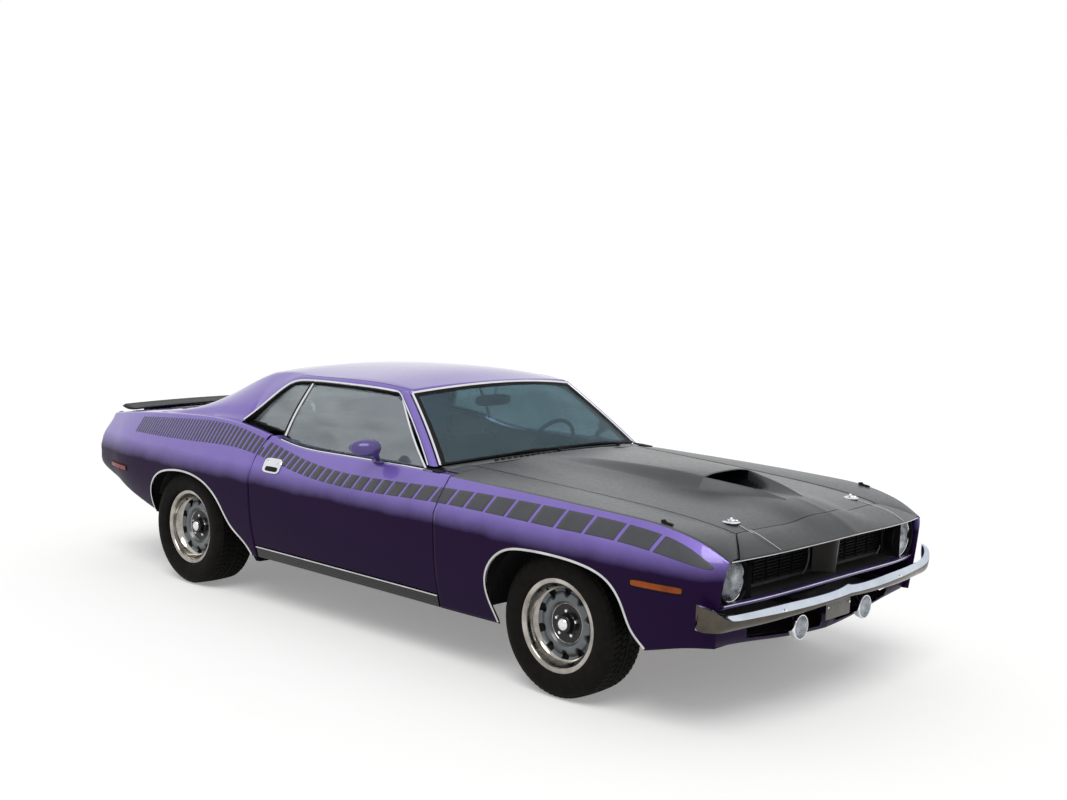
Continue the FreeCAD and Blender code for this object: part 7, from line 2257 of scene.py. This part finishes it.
@dataclass
class Cabin:
    """Seats, steering wheel, dashboard dress and interior mirror."""

    def build(self) -> None:
        """Make the cabin's pieces."""
        front = Shell("front_seat_pads")
        for y in (-SEAT_Y, SEAT_Y):
            cushion(front, (-80.0, y, 400.0), (248.0, 232.0, 62.0), VINYL, 3.0, 6)
            cushion(front, (-338.0, y, 640.0), (52.0, 228.0, 240.0), VINYL, 14.0, 6)
            cushion(front, (-418.0, y, 920.0), (34.0, 128.0, 66.0), VINYL, 14.0, 2)
            for k in (-1.0, 1.0):
                cushion(front, (-80.0, y + k * 205.0, 412.0), (240.0, 30.0, 62.0), VINYL, 3.0, 0, 3.0)
                cushion(front, (-334.0, y + k * 200.0, 640.0), (60.0, 30.0, 226.0), VINYL, 14.0, 0, 3.0)
            front.box((-280, y - 190, 245), (120, y + 190, 345), PLASTIC, soft=12.0)
        made = front.build("body", "front_seats", slot="seat_vinyl", sharp=60.0)
        rear = Shell("rear_seat_pads")
        cushion(rear, (-745.0, 0.0, 426.0), (152.0, 545.0, 42.0), VINYL, 4.0, 9)
        cushion(rear, (-920.0, 0.0, 645.0), (42.0, 545.0, 190.0), VINYL, 18.0, 9)
        rear.box((-880, -530, 304), (-650, -180, 392), PLASTIC, soft=10.0)
        rear.box((-880, 180, 304), (-650, 530, 392), PLASTIC, soft=10.0)
        made = rear.build("body", "rear_seat", slot="seat_vinyl", sharp=60.0)
        self.wheel()
        self.dash()

    def wheel(self) -> None:
        """Make the three-spoke steering wheel with its column."""
        shell = Shell("steering_wheel_rim")
        centre, across = np.array((262.0, 372.0, 842.0)), np.array((0, 1.0, 0))
        axis, up = table((-0.93, 0, 0.37), (0.37, 0, 0.93)) / math.hypot(0.93, 0.37)

        def around(radius: float, angle: Array, along: float = 0.0) -> Array:
            """Points at a radius and angle round the column, along it from the wheel's centre."""
            return centre + axis * along + radius * (np.cos(angle) * across + np.sin(angle) * up)

        turn = np.linspace(0, 2 * math.pi, 73)[:-1, None]
        shell.sweep(around(190.0, turn), round_section(11.5, 14), TRIM, up=tuple(axis), closed=True)
        for angle in (0.0, math.pi, 1.5 * math.pi):
            spoke = [around(188.0 * share, angle, -12.0) for share in (0.1, 0.4, 0.7, 1.0)]
            shell.sweep(np.stack(spoke), oval_section(15.0, 3.5, 12), STAINLESS, up=tuple(axis))
        turn = np.linspace(0, 2 * math.pi, 33)[:-1, None]
        hub = np.stack([around(radius, turn, along) for along, radius in (
            (-150.0, 26.0), (-40.0, 26.0), (-38.0, 44.0), (2.0, 44.0), (8.0, 34.0))])
        shell.rings(hub, TRIM)
        shell.build("body", "steering_wheel", slot="cabin_trim")
        mirror = Shell("interior_mirror_head")
        loop = unit_loop(40, 4.0) * (124.0, 29.0)
        case = ((179.0, 0.94), (180.0, 1.0), (196.0, 1.0), (206.0, 0.86), (208.0, 0.5))
        for layers, finish in ((case, PLASTIC), (((179.5, 0.93), (178.6, 0.9)), CHROME)):
            rings = [xyz(x, loop[:, 0] * grow, 1136.0 + loop[:, 1] * grow) for x, grow in layers]
            mirror.rings(np.stack(rings), finish)
        stem = table((200, 0, 1150), (204, 0, 1180), (212, 0, 1216))
        mirror.sweep(stem, round_section(6.0, 10), CHROME, up=(1, 0, 0))
        mirror.build("body", "interior_mirror", slot="black_plastic")

    def dash(self) -> None:
        """Make the padded dashboard, instrument hood, console and shifter."""
        shell = Shell("dashboard_padding")
        section = soft_path([(560, 700), (566, 800), (548, 846), (506, 868), (462, 862), (438, 838),
                             (430, 806), (448, 770), (458, 720), (476, 680), (510, 664), (545, 672)], 14.0,
                            closed=True)
        y = np.linspace(-704.0, 704.0, 57)
        hump = 16.0 * np.exp(-(((y - 372.0) / 150.0) ** 4))
        grid = np.stack([xyz(section[:, 0] - h * 0.6 * (section[:, 1] > 780), yy,
                             section[:, 1] + h * 0.6 * (section[:, 1] > 820)) for yy, h in zip(y, hump)])
        shell.rings(grid, TRIM)
        for yy, r in ((250.0, 34.0), (322.0, 46.0), (424.0, 46.0), (494.0, 30.0)):
            dial = table((0, 2), (r * 0.9, 2), (r, 6), (r * 1.05, 0), (r, -6), (0, -4)) * (1, -1)
            shell.turned(dial, "x", (444.0, yy, 772.0), STAINLESS, 36)
        shell.box((-160, -84, 390), (480, 84, 498), TRIM, soft=10.0)
        shell.box((392, -84, 490), (470, 84, 690), TRIM, soft=8.0)
        stick = np.array([(60.0, 0, 490.0), (40.0, 0, 560.0), (6.0, 0, 640.0)])
        shell.sweep(stick, round_section(7.0, 12), CHROME, up=(1, 0, 0))
        shell.turned(table((0, -26), (16, -22), (26, -8), (26, 8), (16, 22), (0, 26)), "z", (2.0, 0, 652.0),
                     PLASTIC, 28)
        shell.build("body", "dashboard", slot="cabin_trim")


# The photograph's camera, solved from the wheels and the body's known sizes: place in metres, turns in
# degrees, and focal length and picture width in pixels.
CAMERA_AT, CAMERA_TURN = (5.299, -5.316, 1.908), (132.21, -5.92, 2.1)
FOCAL, PHOTO_WIDTH, SENSOR = 1395.1, 1067.0, 36.0


def build_camera() -> None:
    """Set the camera to the photograph's viewpoint."""
    yaw, pitch, roll = (math.radians(a) for a in CAMERA_TURN)
    ahead = Vector((math.cos(pitch) * math.cos(yaw), math.cos(pitch) * math.sin(yaw), math.sin(pitch)))
    right = Vector((math.sin(yaw), -math.cos(yaw), 0.0))
    up = right.cross(ahead)
    across = math.cos(roll) * right + math.sin(roll) * up
    lift = -math.sin(roll) * right + math.cos(roll) * up
    data = bpy.data.cameras.new("camera")
    data.sensor_width, data.lens = SENSOR, FOCAL * SENSOR / PHOTO_WIDTH
    data.clip_start, data.clip_end = 0.05, 200.0
    camera = bpy.data.objects.new("camera", data)
    camera.matrix_world = Matrix([*zip(across, lift, -ahead, CAMERA_AT), (0, 0, 0, 1)])
    bpy.context.scene.collection.objects.link(camera)
    bpy.context.scene.camera = camera


def build_stage() -> None:
    """Make the pale floor, the white surroundings and the soft lights."""
    work = bmesh.new()
    bmesh.ops.create_grid(work, x_segments=8, y_segments=8, size=60.0)
    mesh = bpy.data.meshes.new("stage_floor")
    work.to_mesh(mesh)
    work.free()
    floor = bpy.data.objects.new("stage_floor", mesh)
    floor.location.z = -0.002
    bpy.context.scene.collection.objects.link(floor)
    mesh.materials.append(floor_material())
    world = bpy.data.worlds.new("surroundings")
    bpy.context.scene.world = world
    graph = Graph(world)
    strength = graph.add("MapRange", {0: graph.seen(), 3: 0.62, 4: 1.0})
    graph.put(world.node_tree.nodes["Background"], {"Strength": strength, "Color": (1.0, 1.0, 1.0, 1.0)})
    data = bpy.data.lights.new("soft_sun", "SUN")
    data.energy, data.angle, data.color = 1.35, math.radians(35.0), (1.0, 0.99, 0.97)
    light = bpy.data.objects.new("soft_sun", data)
    light.rotation_mode = "QUATERNION"
    light.rotation_quaternion = Vector((-0.35, 0.55, -1.0)).to_track_quat("-Z", "Y")
    bpy.context.scene.collection.objects.link(light)


def floor_material() -> bpy.types.Material:
    """White floor that keeps shadows: diffuse 0.8, with a glow of 0.25 for the rays that see it.

    Returns:
        The material.
    """
    made = bpy.data.materials.new("stage_floor_white")
    graph = Graph(made)
    noise = graph.add("TexNoise", {"Vector": graph.add("TexCoord", out="Object")}, "Fac")
    matt = graph.add("BsdfDiffuse", {"Color": graph.add("MapRange", {0: noise, 3: 0.80, 4: 0.82})})
    strength = graph.add("Math", {0: graph.seen(), 1: 0.25}, operation="MULTIPLY")
    graph.surface(graph.add("AddShader", {0: matt, 1: graph.add("Emission", {"Strength": strength})}))
    return made


def dress_cad_nodes() -> None:
    """Give every CAD node that stays its finish."""
    finishes = {"floor_tub": CARPET, "inner_fenders": UNDER, "radiator_support": UNDER,
                "engine_block": ENGINE, "exhaust": PIPE_STEEL, "fuel_tank": UNDER, "rear_suspension": CAST,
                "front_suspension": CAST, "knuckle": CAST, "rim": WHEEL_GREY, "tyre": TYRE,
                "dashboard": TRIM, "steering_wheel": VINYL, "interior_mirror": PLASTIC,
                "front_seats": VINYL, "rear_seat": VINYL}
    paint = {"black_paint": BLACK, "body_paint": PURPLE, "chrome": CHROME, "clear_glass": SCREEN_GLASS,
             "tinted_glass": SIDE_GLASS, "lamp_lens": REFLECTOR, "red_lens": RED_LENS, "marker_lens": AMBER,
             "black_plastic": PLASTIC}
    for name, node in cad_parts.items():
        stem = next((k for k in finishes if name.startswith(k)), None)
        slot = node.data.materials[0].name if node.data.materials else ""
        chosen = finishes[stem] if stem else next((v for k, v in paint.items() if k in slot), PLASTIC)
        node.data.materials.clear()
        node.data.materials.append(chosen.material())


def main() -> None:
    """Build every piece, then the camera and the stage."""
    bpy.context.scene.view_settings.view_transform = "Standard"
    logging.basicConfig(level=logging.INFO, format="%(message)s")
    dress_cad_nodes()
    FenderPair().build()
    UpperShell().build()
    Door(left=False).build()
    Door(left=True).build()
    Hood().build()
    front = Bumper("front_bumper", 1.0, FRONT_BUMPER_X, 932.0, 512.0, 25.0, 486.0, 340.0, (2063.0, 2336.0))
    rear = Bumper("rear_bumper", -1.0, REAR_BUMPER_X, 739.0, 520.0, 0.0, 420.0, 420.0, (-2345.0, -2285.0))
    for piece in (GlassHouse(), DoorDress(False), DoorDress(True), HoodDress(), CowlPanel(), Nose(), front,
                  rear, Tail(), Gutters(), SideTrim(), Stripe(), Cabin()):
        piece.build()
    for name, x, track, width in (("front", FRONT_AXLE, FRONT_TRACK, FRONT_TYRE),
                                  ("rear", REAR_AXLE, REAR_TRACK, REAR_TYRE)):
        for left in (False, True):
            side = "left" if left else "right"
            Wheel(f"{name}_{side}", f"wheel_{name}_{side}", x, track, width, left).build()
    build_stage()
    build_camera()


if __name__ == "__main__":
    main()
